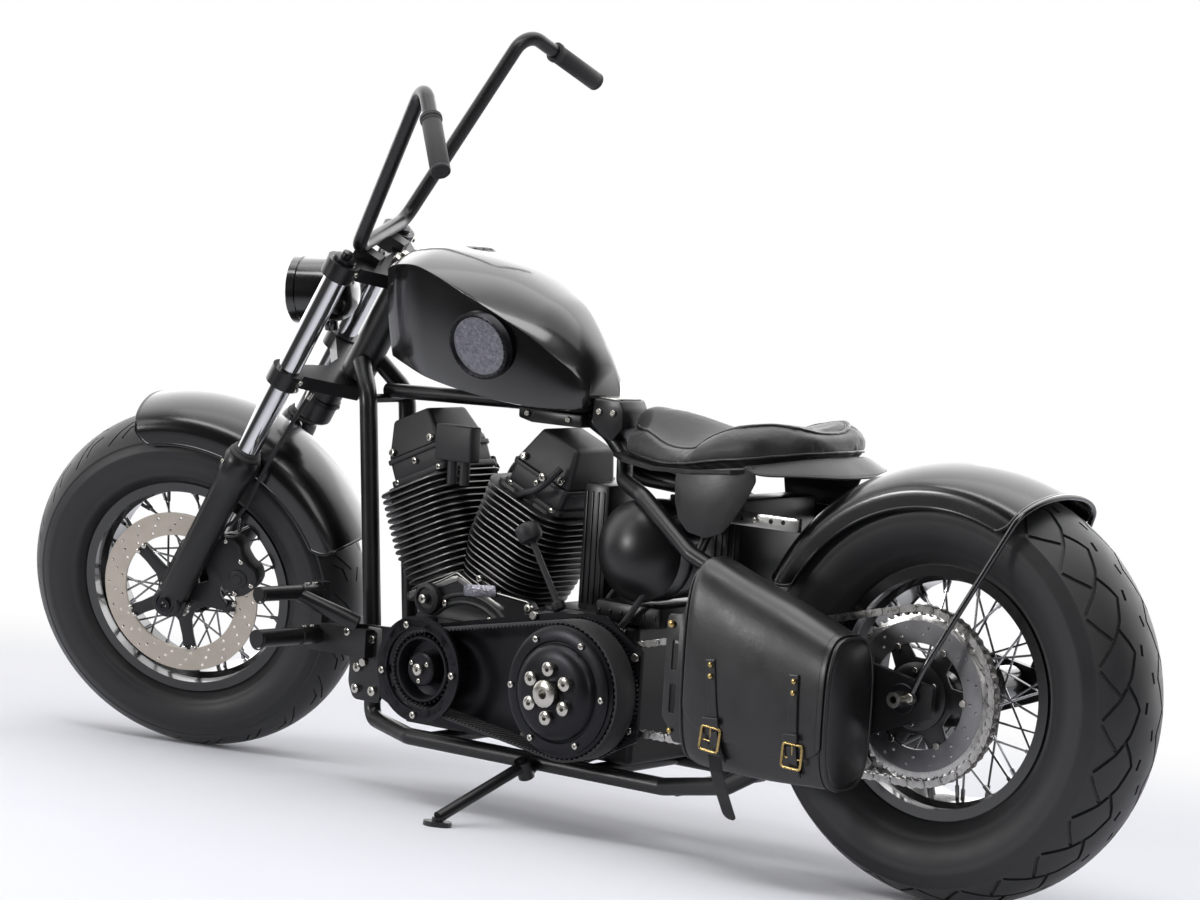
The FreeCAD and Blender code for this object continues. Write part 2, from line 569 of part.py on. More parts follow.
def drive_chain(side):
    """Return half of the closed drive chain: its upper run for side 1, its lower run for side -1."""
    inside = CHAIN_H / 2
    y0, y1 = CHAIN_Y - CHAIN_W / 2, CHAIN_Y + CHAIN_W / 2
    band = loop_band(CLUTCH, (0.0, REAR_TYRE_R), DRIVE_SPROCKET_R - inside, SPROCKET_PITCH_R - inside,
                     y0, y1, CHAIN_H)
    run_x, run_z = CLUTCH[0], CLUTCH[1] - REAR_TYRE_R
    behind = (-run_x / 2, REAR_TYRE_R - run_z / 2)
    ahead = (run_x * 1.5, REAR_TYRE_R + run_z * 1.5)
    depth = side * WHEELBASE / 3
    half = side_plate([behind, ahead, (ahead[0], ahead[1] + depth), (behind[0], behind[1] + depth)], y0, y1)
    return band.common(half)


def oil_tank():
    """Return the transverse round oil tank with domed ends."""
    x, z = OIL_TANK_AT
    r, half, dome = OIL_TANK_R, OIL_TANK_HALF, OIL_TANK_DOME
    ball = (r ** 2 + dome ** 2) / (2 * dome)
    half_turn = asin(r / ball) / 2
    mid_r, mid_y = ball * sin(half_turn), half + dome - ball + ball * cos(half_turn)
    body = turned([(0, -half - dome), (mid_r, -mid_y, "arc"), (r, -half), (r, half), (mid_r, mid_y, "arc"),
                   (0, half + dome)], x, z)
    saddle = block(x - 12, x + 12, -14, 14, z, 590.9)
    return fuse([body, saddle])


# ---- bodywork --------------------------------------------------------------
def fuel_tank():
    """Return the teardrop fuel tank with a tunnel over the backbone."""
    sections = [oval(x, w, low, high, foot, crease) for x, w, low, high, foot, crease in TANK_SECTIONS]
    body = Part.makeLoft(sections, True, False)
    start = on_stem(CLAMP_HIGH - 60)
    path = [(start.x + 60, start.z + 20), (start.x, start.z)] + list(BACKBONE[:3])
    room = TUBE_R + 5
    tunnel = bent_tube([(x, 0, z) for x, z in path[1:]], room, BACKBONE_BEND)
    slot = side_plate(path + [(path[-1][0], 500), (path[0][0], 500)], -room, room)
    (x1, z1), (x2, z2) = BACKBONE[0], BACKBONE[1]
    ends = [Vec(x1 + (x2 - x1) * k, 0, z1 + (z2 - z1) * k) for k in (0.30, 0.38)]
    pad = rod(ends[0], ends[1], room + 1).cut(rod(ends[0], ends[1], TUBE_R + SEAT_GAP))
    pad = pad.common(block(x2, x1, -room - 2, room + 2, ends[0].z, z1))
    return fuse([body.cut(fuse([tunnel, slot])), pad])


def seat_section(x, half_w, low, high):
    """Return one closed seat section across the bike at x."""
    mid = low + (high - low) * 0.45
    half = [(half_w * 0.72, high), (half_w, mid), (half_w, low)]
    pts = [Vec(x, -y, z) for y, z in reversed(half)] + [Vec(x, y, z) for y, z in half]
    return Part.makePolygon(pts + pts[:1])


def seat_cushion():
    """Return the padded solo seat."""
    return Part.makeLoft([seat_section(*row) for row in SEAT_SECTIONS], True, True)


def seat_pan():
    """Return the pan under the seat with its two mounting ears."""
    pieces = []
    for front, back in zip(SEAT_SECTIONS, SEAT_SECTIONS[1:]):
        wires = []
        for x, half_w, low, _ in (front, back):
            w, top = half_w + SEAT_PAN_LIP, low - SEAT_GAP
            foot = top - SEAT_PAN_T
            corners = [Vec(x, -w, foot), Vec(x, -w, top), Vec(x, w, top), Vec(x, w, foot)]
            wires.append(Part.makePolygon(corners + corners[:1]))
        pieces.append(Part.makeLoft(wires, True, True))
    post = rod(Vec(610, 0, 626.6), Vec(610, 0, 648), 10)
    return fuse(pieces + [post])


def rear_fender():
    """Return the rear fender."""
    return fender(REAR_FENDER_R, REAR_FENDER_HALF_W, 0, REAR_TYRE_R, *REAR_FENDER_SPAN)


def fender_strut():
    """Return the rod that goes up from both axle plates and over the fender's end as its rim."""
    y = STAY_Y + AXLE_PLATE_T / 2 + STRUT_R + SEAT_GAP
    wall, behind = FENDER_T / 2, STRUT_R + SEAT_GAP
    tilt = radians(REAR_FENDER_SPAN[1])

    def on_rim(r, at_y):
        """Return the point at radius r in the rod's plane just behind the fender's end."""
        return (-r * sin(tilt) - behind * cos(tilt), at_y, REAR_TYRE_R + r * cos(tilt) - behind * sin(tilt))

    side, top = REAR_FENDER_HALF_W - wall, REAR_FENDER_R - wall
    half = [(-18, y, 350), (-36, y, 392), on_rim(top - 52, side), on_rim(top - 12, side - 2),
            on_rim(top - 3, side - 44), on_rim(top, 0)]
    return bent_tube(half + [(x, -y_at, z) for x, y_at, z in reversed(half[:-1])], STRUT_R, 16)


def saddlebag():
    """Return the leather bag on the left side: a wedge that tapers to the rear."""
    y0 = STAY_Y + RAIL_R + SEAT_GAP
    y1 = y0 + BAG_T
    return rounded(side_plate(BAG_OUTLINE, y0, y1), 14, lambda edge: edge.BoundBox.YMin > y1 - 1)


# ---- controls and small parts ----------------------------------------------
def foot_control(side):
    """Return a forward control: bracket, foot peg and lever peg."""
    y0 = PLATE_Y if side > 0 else RAIL_Y
    x, post_x = PEG_X, PEG_X - 34
    near, far = y0 + PLATE_T + SEAT_GAP, y0 + PLATE_T + 20
    arm = block(x - 118, x + 18, near, far, 250, 300)
    riser = block(x - 12, x + 14, near, far, 250, 372)
    peg = rod(Vec(x, y0 + 18, 277), Vec(x, y0 + 18 + PEG_LEN, 280), PEG_R)
    lever = rod(Vec(x, y0 + 18, 354), Vec(x, y0 + 18 + PEG_LEN, 358), LEVER_PEG_R)
    post = rod(Vec(post_x, DOWN_TUBE_Y + TUBE_R + SEAT_GAP, 278), Vec(post_x, y0 + PLATE_T + 4, 278), 12)
    whole = fuse([arm, riser, peg, lever] + ([post] if side < 0 else []))
    return whole if side > 0 else across(whole)


def exhaust():
    """Return the two header pipes and their shared silencer on the right side."""
    y0, y1 = -PORT_Y - SEAT_GAP, -190.0
    front, rear = (along_v(sign, PORT_UP, sign * PORT_OFF) for sign in (1, -1))
    end = (500, y1, 205)
    first = bent_tube([(front.x, y0, front.z), (front.x, y0 - 66, front.z), (1080, y1 + 12, 320),
                       (1000, y1, 222), end], PIPE_R, 36)
    second = bent_tube([(rear.x, y0, rear.z), (rear.x, y0 - 66, rear.z), (790, y1 + 10, 330),
                        (690, y1, 220), end], PIPE_R, 36)
    silencer = rod(Vec(520, y1 - 34, 205), Vec(150, y1 - 38, 228), SILENCER_R)
    collector = rod(Vec(560, y1, 208), Vec(500, y1 - 30, 205), PIPE_R + 6)
    return fuse([first, second, silencer, collector])


def air_cleaner():
    """Return the round air cleaner between the cylinders on the right."""
    x, z = V_APEX[0], V_APEX[1] + CLEANER_UP
    throat = rod(Vec(x, -98, z), Vec(x, -120, z), 34)
    can = rod(Vec(x, -118, z), Vec(x, -168, z), CLEANER_R)
    feet = [along_v(sign, 268, 0, -FIN_R - SEAT_GAP) for sign in (1, -1)]
    bar = rod(add(feet[0], Y_AXIS, -10), add(feet[1], Y_AXIS, -10), 8)
    pads = [rod(foot, add(foot, Y_AXIS, -12), 10) for foot in feet]
    return fuse([throat, can, bar] + pads)


def axle(cx, cz, half_length):
    """Return a hollow axle with a nut at each end."""
    pieces = [rod(Vec(cx, -half_length, cz), Vec(cx, half_length, cz), AXLE_R)]
    return fuse(pieces).cut(rod(Vec(cx, -half_length - 1, cz), Vec(cx, half_length + 1, cz), AXLE_BORE_R))


def caliper(cx, cz, y, r_in, r_disc, angle_deg, half_y):
    """Return a brake caliper that straddles the rim of a disc."""
    body = rounded(block(-34, 34, y - half_y, y + half_y, r_in, r_disc + 18), 8)
    slot = block(-60, 60, y - DISC_T / 2 - 2, y + DISC_T / 2 + 2, r_in - 9, r_disc + 4)
    body = body.cut(slot)
    body.rotate(Vec(0, 0, 0), Y_AXIS, angle_deg)
    body.translate(Vec(cx, 0, cz))
    return body


def front_caliper():
    """Return the front caliper with its lug to the fork leg."""
    body = caliper(WHEELBASE, FRONT_TYRE_R, FRONT_DISC_Y, 96, FRONT_DISC_R, -62, 22)
    y0 = FRONT_DISC_Y + 12
    lug = raked_block(84, 122, 17, -62, -SLIDER_R + 3 - SEAT_GAP)
    return fuse([body, lug.translated(Vec(0, y0 + 17, 0))])


def rear_caliper():
    """Return the rear caliper with its boss to the axle plate."""
    body = caliper(0, REAR_TYRE_R, CHAIN_Y, 78, SPROCKET_PITCH_R - CHAIN_H / 2, 90, 24)
    face = STAY_Y - AXLE_PLATE_T / 2 - SEAT_GAP
    return fuse([body, block(80, 94, CHAIN_Y + 12, face, REAR_TYRE_R - 30, REAR_TYRE_R + 20)])


def handlebar():
    """Return the one-piece mid-rise handlebar."""
    points = [(x, -y, z) for x, y, z in reversed(BAR_POINTS)] + list(BAR_POINTS)
    return bent_tube(points, BAR_R, 38)


def grip(side):
    """Return one grip over the handlebar's end."""
    inner, end = (Vec(x, side * y, z) for x, y, z in BAR_POINTS[1:])
    back = add(inner, end, -1).normalize()
    start = add(end, back, GRIP_LEN)
    tip = add(end, back, -3)
    return rod(tip, start, GRIP_R).cut(rod(add(end, back, -SEAT_GAP), add(start, back, 5), BAR_R + SEAT_GAP))


def headlamp():
    """Return the headlamp bucket on its bracket from the lower clamp."""
    centre, half = Vec(*LAMP_AT), LAMP_HALF
    shell = rounded(rod(add(centre, X_AXIS, -half), add(centre, X_AXIS, half), LAMP_R), 10)
    face = CLAMP_NOSE + SEAT_GAP
    hanger = raked_block(636, CLAMP_HIGH + 8, 14, face, face + 8)
    boss = rod(add(centre, X_AXIS, -half - 14), add(centre, X_AXIS, -half + 4), 14)
    return fuse([shell, hanger, boss])


def horn():
    """Return the round horn under the lower clamp."""
    top = CLAMP_LOW - CLAMP_T / 2 + 3 - SEAT_GAP
    return rod(on_leg(top, 0, -HORN_BACK), on_leg(top - HORN_LEN, 0, -HORN_BACK), HORN_R)


def stanchion(side):
    """Return one chrome fork tube."""
    y = side * FORK_HALF_SPAN
    return rod(on_leg(SLIDER_TOP - 90, y), on_leg(CLAMP_HIGH + CLAMP_T / 2, y), STANCHION_R)


def slider(side):
    """Return one lower fork leg with its axle lug."""
    y = side * FORK_HALF_SPAN
    leg = fuse([rod(on_leg(-4, y), on_leg(SLIDER_TOP, y), SLIDER_R - 3),
                rod(on_leg(SLIDER_TOP - COLLAR_LEN, y), on_leg(SLIDER_TOP, y), SLIDER_R + COLLAR_EXTRA),
                rod(on_leg(0, y - 26), on_leg(0, y + 24), 27)])
    socket = rod(on_leg(SLIDER_TOP - 90 - SEAT_GAP, y), on_leg(SLIDER_TOP + 9, y), STANCHION_R + RUNNING_GAP)
    leg = leg.cut(socket)
    return leg.cut(rod(on_leg(0, y - 60), on_leg(0, y + 60), AXLE_R + RUNNING_GAP))


def front_fender():
    """Return the front fender on its two stays to the fork legs."""
    shell = fender(FRONT_FENDER_R, FRONT_FENDER_HALF_W, WHEELBASE, FRONT_TYRE_R, *FRONT_FENDER_SPAN)
    y = FRONT_FENDER_HALF_W
    reach = FORK_HALF_SPAN - SLIDER_R - COLLAR_EXTRA - SEAT_GAP
    up = FRONT_FENDER_R - 30
    lugs = [rod(on_leg(up, side * (y - 2), -6), on_leg(up, side * reach, -6), 9) for side in SIDES.values()]
    return fuse([shell] + lugs)


def brake_hose():
    """Return the front brake hose from the lower clamp to the caliper."""
    points = [on_leg(t, y, ahead) for t, y, ahead in HOSE_ROUTE]
    return bent_tube([(p.x, p.y, p.z) for p in points], HOSE_R, HOSE_BEND)


def upper_clamp():
    """Return the top clamp with the two risers that carry the bar."""
    high = CLAMP_HIGH
    along = add(Vec(*BAR_POINTS[0]), FRONT_AXLE, -1)
    t, ahead = along.dot(UP_AXIS), along.dot(AHEAD_AXIS)
    riser = raked_block(high, t - BAR_R - SEAT_GAP, 15, -FORK_OFFSET / 2, ahead + 12)
    risers = [riser.translated(Vec(0, side * 60, 0)) for side in SIDES.values()]
    return fuse([clamp(high, high - CLAMP_T / 2 + 2, high + CLAMP_T / 2 + 4)] + risers)


def lower_clamp():
    """Return the bottom clamp with the steering stem."""
    low = CLAMP_LOW
    stem = rod(on_stem(low), on_stem(CLAMP_HIGH - CLAMP_T / 2 - SEAT_GAP), STEM_R)
    return fuse([clamp(low, low - 12, low + CLAMP_T / 2), stem])


def steering_pieces():
    """Return what turns with the bars, built straight ahead."""
    pieces = {
        "lower_clamp": lower_clamp(),
        "upper_clamp": upper_clamp(),
        "handlebar": handlebar(),
        "headlamp": headlamp(),
        "horn": horn(),
        "front_fender": front_fender(),
        "front_caliper": front_caliper(),
        "front_axle": axle(WHEELBASE, FRONT_TYRE_R, FORK_HALF_SPAN + 34),
        "brake_hose": brake_hose(),
    }
    for name, side in SIDES.items():
        pieces["stanchion_" + name] = stanchion(side)
        pieces["fork_leg_" + name] = slider(side)
        pieces["grip_" + name] = grip(side)
    return pieces


def front_wheel_pieces():
    """Return what turns on the front axle."""
    x, z = WHEELBASE, FRONT_TYRE_R
    return {
        "front_tyre": tyre(FRONT_TYRE_R, FRONT_TYRE_W, FRONT_CROWN_R, FRONT_RIM_W, x, z),
        "front_rim": rim(FRONT_RIM_W, x, z),
        "front_hub": hub(FRONT_HUB_HALF, 38, x, z),
        "front_disc": disc(FRONT_DISC_R, 108, FRONT_DISC_Y, 44, x, z),
    }


def rear_wheel_pieces():
    """Return what turns on the rear axle."""
    z = REAR_TYRE_R
    y0, y1 = CHAIN_Y - 4, CHAIN_Y + 4
    sprocket = turned([(AXLE_R + 14, y0), (SPROCKET_PITCH_R - CHAIN_H / 2 - SEAT_GAP, y0),
                       (SPROCKET_PITCH_R - CHAIN_H / 2 - SEAT_GAP, y1), (AXLE_R + 14, y1)], 0, z)
    return {
        "rear_tyre": tyre(REAR_TYRE_R, REAR_TYRE_W, REAR_CROWN_R, REAR_RIM_W, 0, z),
        "rear_rim": rim(REAR_RIM_W, 0, z),
        "rear_hub": hub(STAY_Y - AXLE_PLATE_T / 2 - 4, 44, 0, z),
        "rear_sprocket": sprocket,
    }


def chassis_pieces():
    """Return what is fixed to the frame."""
    pieces = {
        "frame_spine": frame_spine(),
        "crankcase": crankcase(),
        "gearbox": gearbox(),
        "cylinder_front": cylinder(1),
        "cylinder_rear": cylinder(-1),
        "rocker_box_front": rocker_box(1),
        "rocker_box_rear": rocker_box(-1),
        "primary_plate": primary_plate(),
        "primary_belt": primary_belt(),
        "front_pulley": front_pulley(),
        "clutch_drum": clutch_drum(),
        "drive_chain_upper": drive_chain(1),
        "drive_chain_lower": drive_chain(-1),
        "oil_tank": oil_tank(),
        "fuel_tank": fuel_tank(),
        "seat_pan": seat_pan(),
        "seat_cushion": seat_cushion(),
        "rear_fender": rear_fender(),
        "fender_strut": fender_strut(),
        "saddlebag": saddlebag(),
        "exhaust": exhaust(),
        "air_cleaner": air_cleaner(),
        "rear_axle": axle(0, REAR_TYRE_R, STAY_Y + 34),
        "rear_caliper": rear_caliper(),
    }
    for name, side in SIDES.items():
        pieces["down_tube_" + name] = down_tube(side)
        pieces["lower_rail_" + name] = lower_rail(side)
        pieces["rear_stay_" + name] = rear_stay(side)
        pieces["foot_control_" + name] = foot_control(side)
    return pieces


# ---- stance ----------------------------------------------------------------
def lowest(centre, axle_way, radius, crown):
    """Return the lowest height of a crowned tyre."""
    return centre.z - (radius - crown) * sqrt(1 - axle_way.z ** 2) - crown


def leaned(pitch_deg):
    """Return the lean followed by a pitch that is positive nose down."""
    lean = FreeCAD.Rotation(X_AXIS, -LEAN_DEG)
    return FreeCAD.Placement(Vec(0, 0, 0), FreeCAD.Rotation(Y_AXIS, pitch_deg).multiply(lean))


STEERED = FreeCAD.Placement(Vec(0, 0, 0), FreeCAD.Rotation(UP_AXIS, STEER_DEG), STEER_POINT)


def tyre_heights(stance):
    """Return the lowest heights of the rear and the front tyre."""
    hub_at, way = stance.multVec(Vec(0, 0, REAR_TYRE_R)), stance.Rotation.multVec(Y_AXIS)
    rear = lowest(hub_at, way, REAR_TYRE_R, REAR_CROWN_R)
    both = stance.multiply(STEERED)
    front = lowest(both.multVec(FRONT_AXLE), both.Rotation.multVec(Y_AXIS), FRONT_TYRE_R, FRONT_CROWN_R)
    return rear, front


def standing():
    """Return the placement that sets both tyres on the ground."""
    pitch = 0.0
    for _ in range(6):
        rear, front = tyre_heights(leaned(pitch))
        pitch += degrees(asin((front - rear) / WHEELBASE))
    stance = leaned(pitch)
    stance.Base = Vec(0, 0, -tyre_heights(stance)[0])
    return stance


def stand_foot():
    """Return the stand's foot point on the ground, in the row's own upright axes."""
    pivot = standing().multVec(Vec(*STAND_PIVOT))
    return Vec(pivot.x + STAND_FOOT_AHEAD, pivot.y + STAND_FOOT_OUT, 0)


def stand_hinge():
    """Return the stand's hinge axis, and its foot and the ground's up, in the bike's frame.

    The axis is square to the leg and to the bike's length, so that the leg
    swings up rearwards along the rail.
    """
    back = standing().inverse()
    foot = back.multVec(stand_foot())
    leg = add(foot, Vec(*STAND_PIVOT), -1)
    return leg.cross(Vec(-1, 0, 0)).normalize(), foot, back.Rotation.multVec(Z_AXIS)


def side_stand():
    """Return the side stand, with its foot flat on the ground."""
    hinge, foot, up = stand_hinge()
    pivot = Vec(*STAND_PIVOT)
    ankle = add(foot, up, 14)
    knuckle = rod(add(pivot, hinge, -STAND_HALF), add(pivot, hinge, STAND_HALF), 15)
    pin = rod(add(pivot, hinge, -40), add(pivot, hinge, 40), STAND_PIN_R + RUNNING_GAP)
    pad, shank = rod(foot, add(foot, up, 8), 24), rod(add(foot, up, 4), ankle, 10)
    return fuse([rod(pivot, ankle, 10), knuckle, pad, shank]).cut(pin)


def place(shape, placement):
    """Return a copy of the shape moved by the placement."""
    moved = shape.copy()
    moved.Placement = placement.multiply(moved.Placement)
    return moved


def assembled():
    """Return every piece where it stands, by name, and the whole's placement."""
    stance = standing()
    steered = stance.multiply(STEERED)
    nodes = {}
    for name, shape in list(chassis_pieces().items()) + list(rear_wheel_pieces().items()):
        nodes[name] = place(shape, stance)
    for name, shape in list(steering_pieces().items()) + list(front_wheel_pieces().items()):
        nodes[name] = place(shape, steered)
    nodes["side_stand"] = place(side_stand(), stance)
    return nodes, stance, steered


def main():
    """Build every piece, centre the whole over the origin and write it."""
    os.makedirs("parts", exist_ok=True)
    nodes, stance, steered = assembled()
    boxes = [shape.optimalBoundingBox(False) for shape in nodes.values()]
    shift = Vec(-(min(b.XMin for b in boxes) + max(b.XMax for b in boxes)) / 2,
                -(min(b.YMin for b in boxes) + max(b.YMax for b in boxes)) / 2, 0)
    moved = FreeCAD.Placement(shift, FreeCAD.Rotation())
    for name, shape in nodes.items():
        place(shape, moved).exportStep("parts/" + name + ".step")
    marks = {
        "rear axle": (stance, Vec(0, 0, REAR_TYRE_R)),
        "front axle": (steered, FRONT_AXLE),
        "steering": (steered, on_stem(CLAMP_HIGH)),
        "stand pivot": (stance, Vec(*STAND_PIVOT)),
    }
    ways = {"steering": UP_AXIS, "stand pivot": stand_hinge()[0]}
    for name, (placement, point) in marks.items():
        at = moved.multiply(placement).multVec(point)
        way = placement.Rotation.multVec(ways.get(name, Y_AXIS))
        print(name, [round(v, 4) for v in at], [round(v, 6) for v in way])
    print("stand foot", [round(v, 4) for v in add(stand_foot(), shift)])
    low = [round(min(getattr(b, side) for b in boxes), 1) for side in ("XMin", "YMin", "ZMin")]
    high = [round(max(getattr(b, side) for b in boxes), 1) for side in ("XMax", "YMax", "ZMax")]
    print("bounds", low, high)


if __name__ == "__main__":
    main()
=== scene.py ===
"""Looks of a chopper motorcycle: paint, machined metal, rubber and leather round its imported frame.

Pieces are modelled in millimetres in one of three local frames, which the
packed joints give: the leaned bike's own upright axes, the same axes turned
with the front end, and the fork's axes along its legs. Each finished mesh is
then placed in metres.
"""
import json
import logging
import math
import random
from contextlib import contextmanager
from dataclasses import dataclass, field
from enum import Enum
from typing import Callable, Iterator, Sequence

import bmesh
import bpy
from mathutils import Matrix, Quaternion, Vector

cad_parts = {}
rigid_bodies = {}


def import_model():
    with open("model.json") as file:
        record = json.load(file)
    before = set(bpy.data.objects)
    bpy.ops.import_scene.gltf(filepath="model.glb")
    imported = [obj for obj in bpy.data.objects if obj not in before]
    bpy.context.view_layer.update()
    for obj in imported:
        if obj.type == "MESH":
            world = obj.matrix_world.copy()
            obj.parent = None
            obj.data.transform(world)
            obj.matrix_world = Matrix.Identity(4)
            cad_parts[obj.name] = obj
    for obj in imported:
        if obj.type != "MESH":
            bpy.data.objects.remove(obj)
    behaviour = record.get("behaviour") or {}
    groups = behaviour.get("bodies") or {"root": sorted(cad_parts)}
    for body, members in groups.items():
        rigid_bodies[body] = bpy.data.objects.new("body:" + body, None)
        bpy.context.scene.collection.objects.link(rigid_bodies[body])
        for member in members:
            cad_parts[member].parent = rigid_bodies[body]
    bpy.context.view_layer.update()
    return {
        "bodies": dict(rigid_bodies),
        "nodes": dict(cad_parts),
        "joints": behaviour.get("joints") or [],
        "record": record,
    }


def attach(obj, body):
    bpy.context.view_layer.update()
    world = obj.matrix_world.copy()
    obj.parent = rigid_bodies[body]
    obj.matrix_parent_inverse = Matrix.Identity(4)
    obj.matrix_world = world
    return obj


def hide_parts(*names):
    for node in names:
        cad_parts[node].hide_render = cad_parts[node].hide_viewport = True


LOG = logging.getLogger("chopper")
MM = 0.001
RAKE = math.radians(31)
WHEELBASE, FRONT_R, REAR_R = 1660.0, 324.0, 342.0
Y_AXIS = Vector((0, 1, 0))
Point = Sequence[float]
Test = Callable[[Vector, Vector], bool]


# ---- finishes --------------------------------------------------------------
def linear(code: str) -> tuple[float, float, float, float]:
    """Turn an sRGB hex colour to linear light.

    Args:
        code: six hex digits, such as "1a1a1c".

    Returns:
        Red, green, blue and alpha.
    """
    values = [int(code[i:i + 2], 16) / 255 for i in (0, 2, 4)]
    light = [v / 12.92 if v <= 0.04045 else ((v + 0.055) / 1.055) ** 2.4 for v in values]
    return light[0], light[1], light[2], 1.0


def add_node(tree: bpy.types.NodeTree, kind: str, inputs: dict | None = None, **settings: object) -> bpy.types.Node:
    """Add one node with its settings and its links.

    Args:
        tree: the node tree.
        kind: the node's type name.
        inputs: socket name or number to a plain value, or to the socket that feeds it.
        settings: attributes of the node.

    Returns:
        The node.
    """
    node = tree.nodes.new(kind)
    for key, value in settings.items():
        setattr(node, key, value)
    for key, value in (inputs or {}).items():
        if isinstance(value, bpy.types.NodeSocket):
            tree.links.new(value, node.inputs[key])
        else:
            node.inputs[key].default_value = value
    return node


class Grain(Enum):
    """How a surface was made, which decides its relief."""

    SPRAYED = "sprayed"      # the orange peel of paint and powder
    WRINKLED = "wrinkled"    # wrinkle paint baked on a casting
    CAST = "cast"            # sand cast metal
    HIDE = "hide"            # leather pores and creases
    MOULDED = "moulded"      # rubber from a mould
    TURNED = "turned"        # rings left by a lathe round an axle
    BRUSHED = "brushed"      # fine scratches one way
    STIPPLED = "stippled"    # punched background of an engraved plate
    POLISHED = "polished"    # next to no relief


@dataclass(frozen=True)
class Finish:
    """One real finish: its colours, its gloss and the relief its making leaves."""

    name: str
    colour: str
    shade: str
    roughness: float
    grain: Grain
    grain_mm: float = 1.0
    relief_mm: float = 0.02
    spread: float = 0.05
    metallic: float = 0.0
    ior: float = 1.5
    coat: float = 0.0
    coat_roughness: float = 0.1
    sheen: float = 0.0
    patch_mm: float = 60.0

    def material(self, place: Matrix | None = None) -> bpy.types.Material:
        """Build the node material.

        Args:
            place: for turned and brushed metal, the axes whose Y the marks follow.

        Returns:
            The material, one for each finish and place.
        """
        spot = "" if place is None else "." + ".".join(str(round(v * 1000)) for v in place.translation)
        known = bpy.data.materials.get(self.name + spot)
        if known:
            return known
        material = bpy.data.materials.new(self.name + spot)
        material.use_nodes = True
        tree = material.node_tree
        tree.nodes.clear()
        coords = add_node(tree, "ShaderNodeTexCoord").outputs["Object"]
        patches = add_node(tree, "ShaderNodeTexNoise", {"Vector": coords, "Scale": 1 / (self.patch_mm * MM),
                                                        "Detail": 5.0, "Roughness": 0.6})
        mixed = add_node(tree, "ShaderNodeMix", {0: patches.outputs["Fac"], 6: linear(self.shade),
                                                 7: linear(self.colour)}, data_type="RGBA")
        rough = add_node(tree, "ShaderNodeMapRange", {"Value": patches.outputs["Fac"], "From Min": 0.3,
                                                      "From Max": 0.7, "To Min": self.roughness - self.spread,
                                                      "To Max": self.roughness + self.spread})
        relief = self.relief(tree, coords, place)
        bump = add_node(tree, "ShaderNodeBump", {"Height": relief, "Distance": self.relief_mm * MM,
                                                 "Strength": 1.0})
        shader = add_node(tree, "ShaderNodeBsdfPrincipled", {
            "Base Color": mixed.outputs[2], "Roughness": rough.outputs["Result"], "Metallic": self.metallic,
            "IOR": self.ior, "Coat Weight": self.coat, "Coat Roughness": self.coat_roughness,
            "Sheen Weight": self.sheen, "Sheen Roughness": 0.4, "Normal": bump.outputs["Normal"]})
        add_node(tree, "ShaderNodeOutputMaterial", {"Surface": shader.outputs["BSDF"]})
        return material

    def relief(self, tree: bpy.types.NodeTree, coords: bpy.types.NodeSocket,
               place: Matrix | None) -> bpy.types.NodeSocket:
        """Add the nodes of the surface's relief.

        Args:
            tree: the material's node tree.
            coords: object coordinates, in metres.
            place: the axes that turned and brushed marks follow.

        Returns:
            The socket that gives the height.
        """
        scale = 1 / (self.grain_mm * MM)
        if self.grain in (Grain.TURNED, Grain.BRUSHED) and place is not None:
            coords = add_node(tree, "ShaderNodeMapping", {"Vector": coords, "Location": place.translation,
                                                          "Rotation": place.to_euler()},
                              vector_type="TEXTURE").outputs["Vector"]
        if self.grain is Grain.TURNED:
            flat = add_node(tree, "ShaderNodeVectorMath", {0: coords, 1: (1, 0, 1)}, operation="MULTIPLY")
            away = add_node(tree, "ShaderNodeVectorMath", {0: flat.outputs[0]}, operation="LENGTH")
            rings = add_node(tree, "ShaderNodeCombineXYZ", {"X": away.outputs["Value"]})
            marks = add_node(tree, "ShaderNodeTexNoise", {"Vector": rings.outputs[0], "Scale": scale, "Detail": 3.0})
            return marks.outputs["Fac"]
        if self.grain is Grain.BRUSHED:
            long = add_node(tree, "ShaderNodeVectorMath", {0: coords, 1: (1, 0.04, 1)}, operation="MULTIPLY")
            marks = add_node(tree, "ShaderNodeTexNoise", {"Vector": long.outputs[0], "Scale": scale, "Detail": 3.0})
            return marks.outputs["Fac"]
        if self.grain is Grain.HIDE:
            pores = add_node(tree, "ShaderNodeTexVoronoi", {"Vector": coords, "Scale": scale},
                             feature="SMOOTH_F1")
            creases = add_node(tree, "ShaderNodeTexNoise", {"Vector": coords, "Scale": scale / 14, "Detail": 4.0,
                                                            "Distortion": 1.2})
            both = add_node(tree, "ShaderNodeMath", {0: creases.outputs["Fac"], 1: 2.2, 2: pores.outputs["Distance"]},
                            operation="MULTIPLY_ADD")
            return both.outputs[0]
        if self.grain in (Grain.WRINKLED, Grain.STIPPLED):
            cells = add_node(tree, "ShaderNodeTexVoronoi", {"Vector": coords, "Scale": scale}, feature="F1")
            return cells.outputs["Distance"]
        detail = {Grain.CAST: 6.0, Grain.MOULDED: 4.0}.get(self.grain, 1.0)
        noise = add_node(tree, "ShaderNodeTexNoise", {"Vector": coords, "Scale": scale, "Detail": detail})
        return noise.outputs["Fac"]


# Powder coat on steel tube: deep black, a soft sheen and a fine orange peel.
POWDER = Finish("powder_coat_satin_black", "121214", "09090a", 0.34, Grain.SPRAYED, 1.6, 0.012)
# Enamel under clear lacquer: black with a broad soft highlight, as on the tank and the mudguards.
ENAMEL = Finish("enamel_lacquered_black", "070708", "040405", 0.24, Grain.SPRAYED, 2.5, 0.004, 0.02,
                coat=0.9, coat_roughness=0.1)
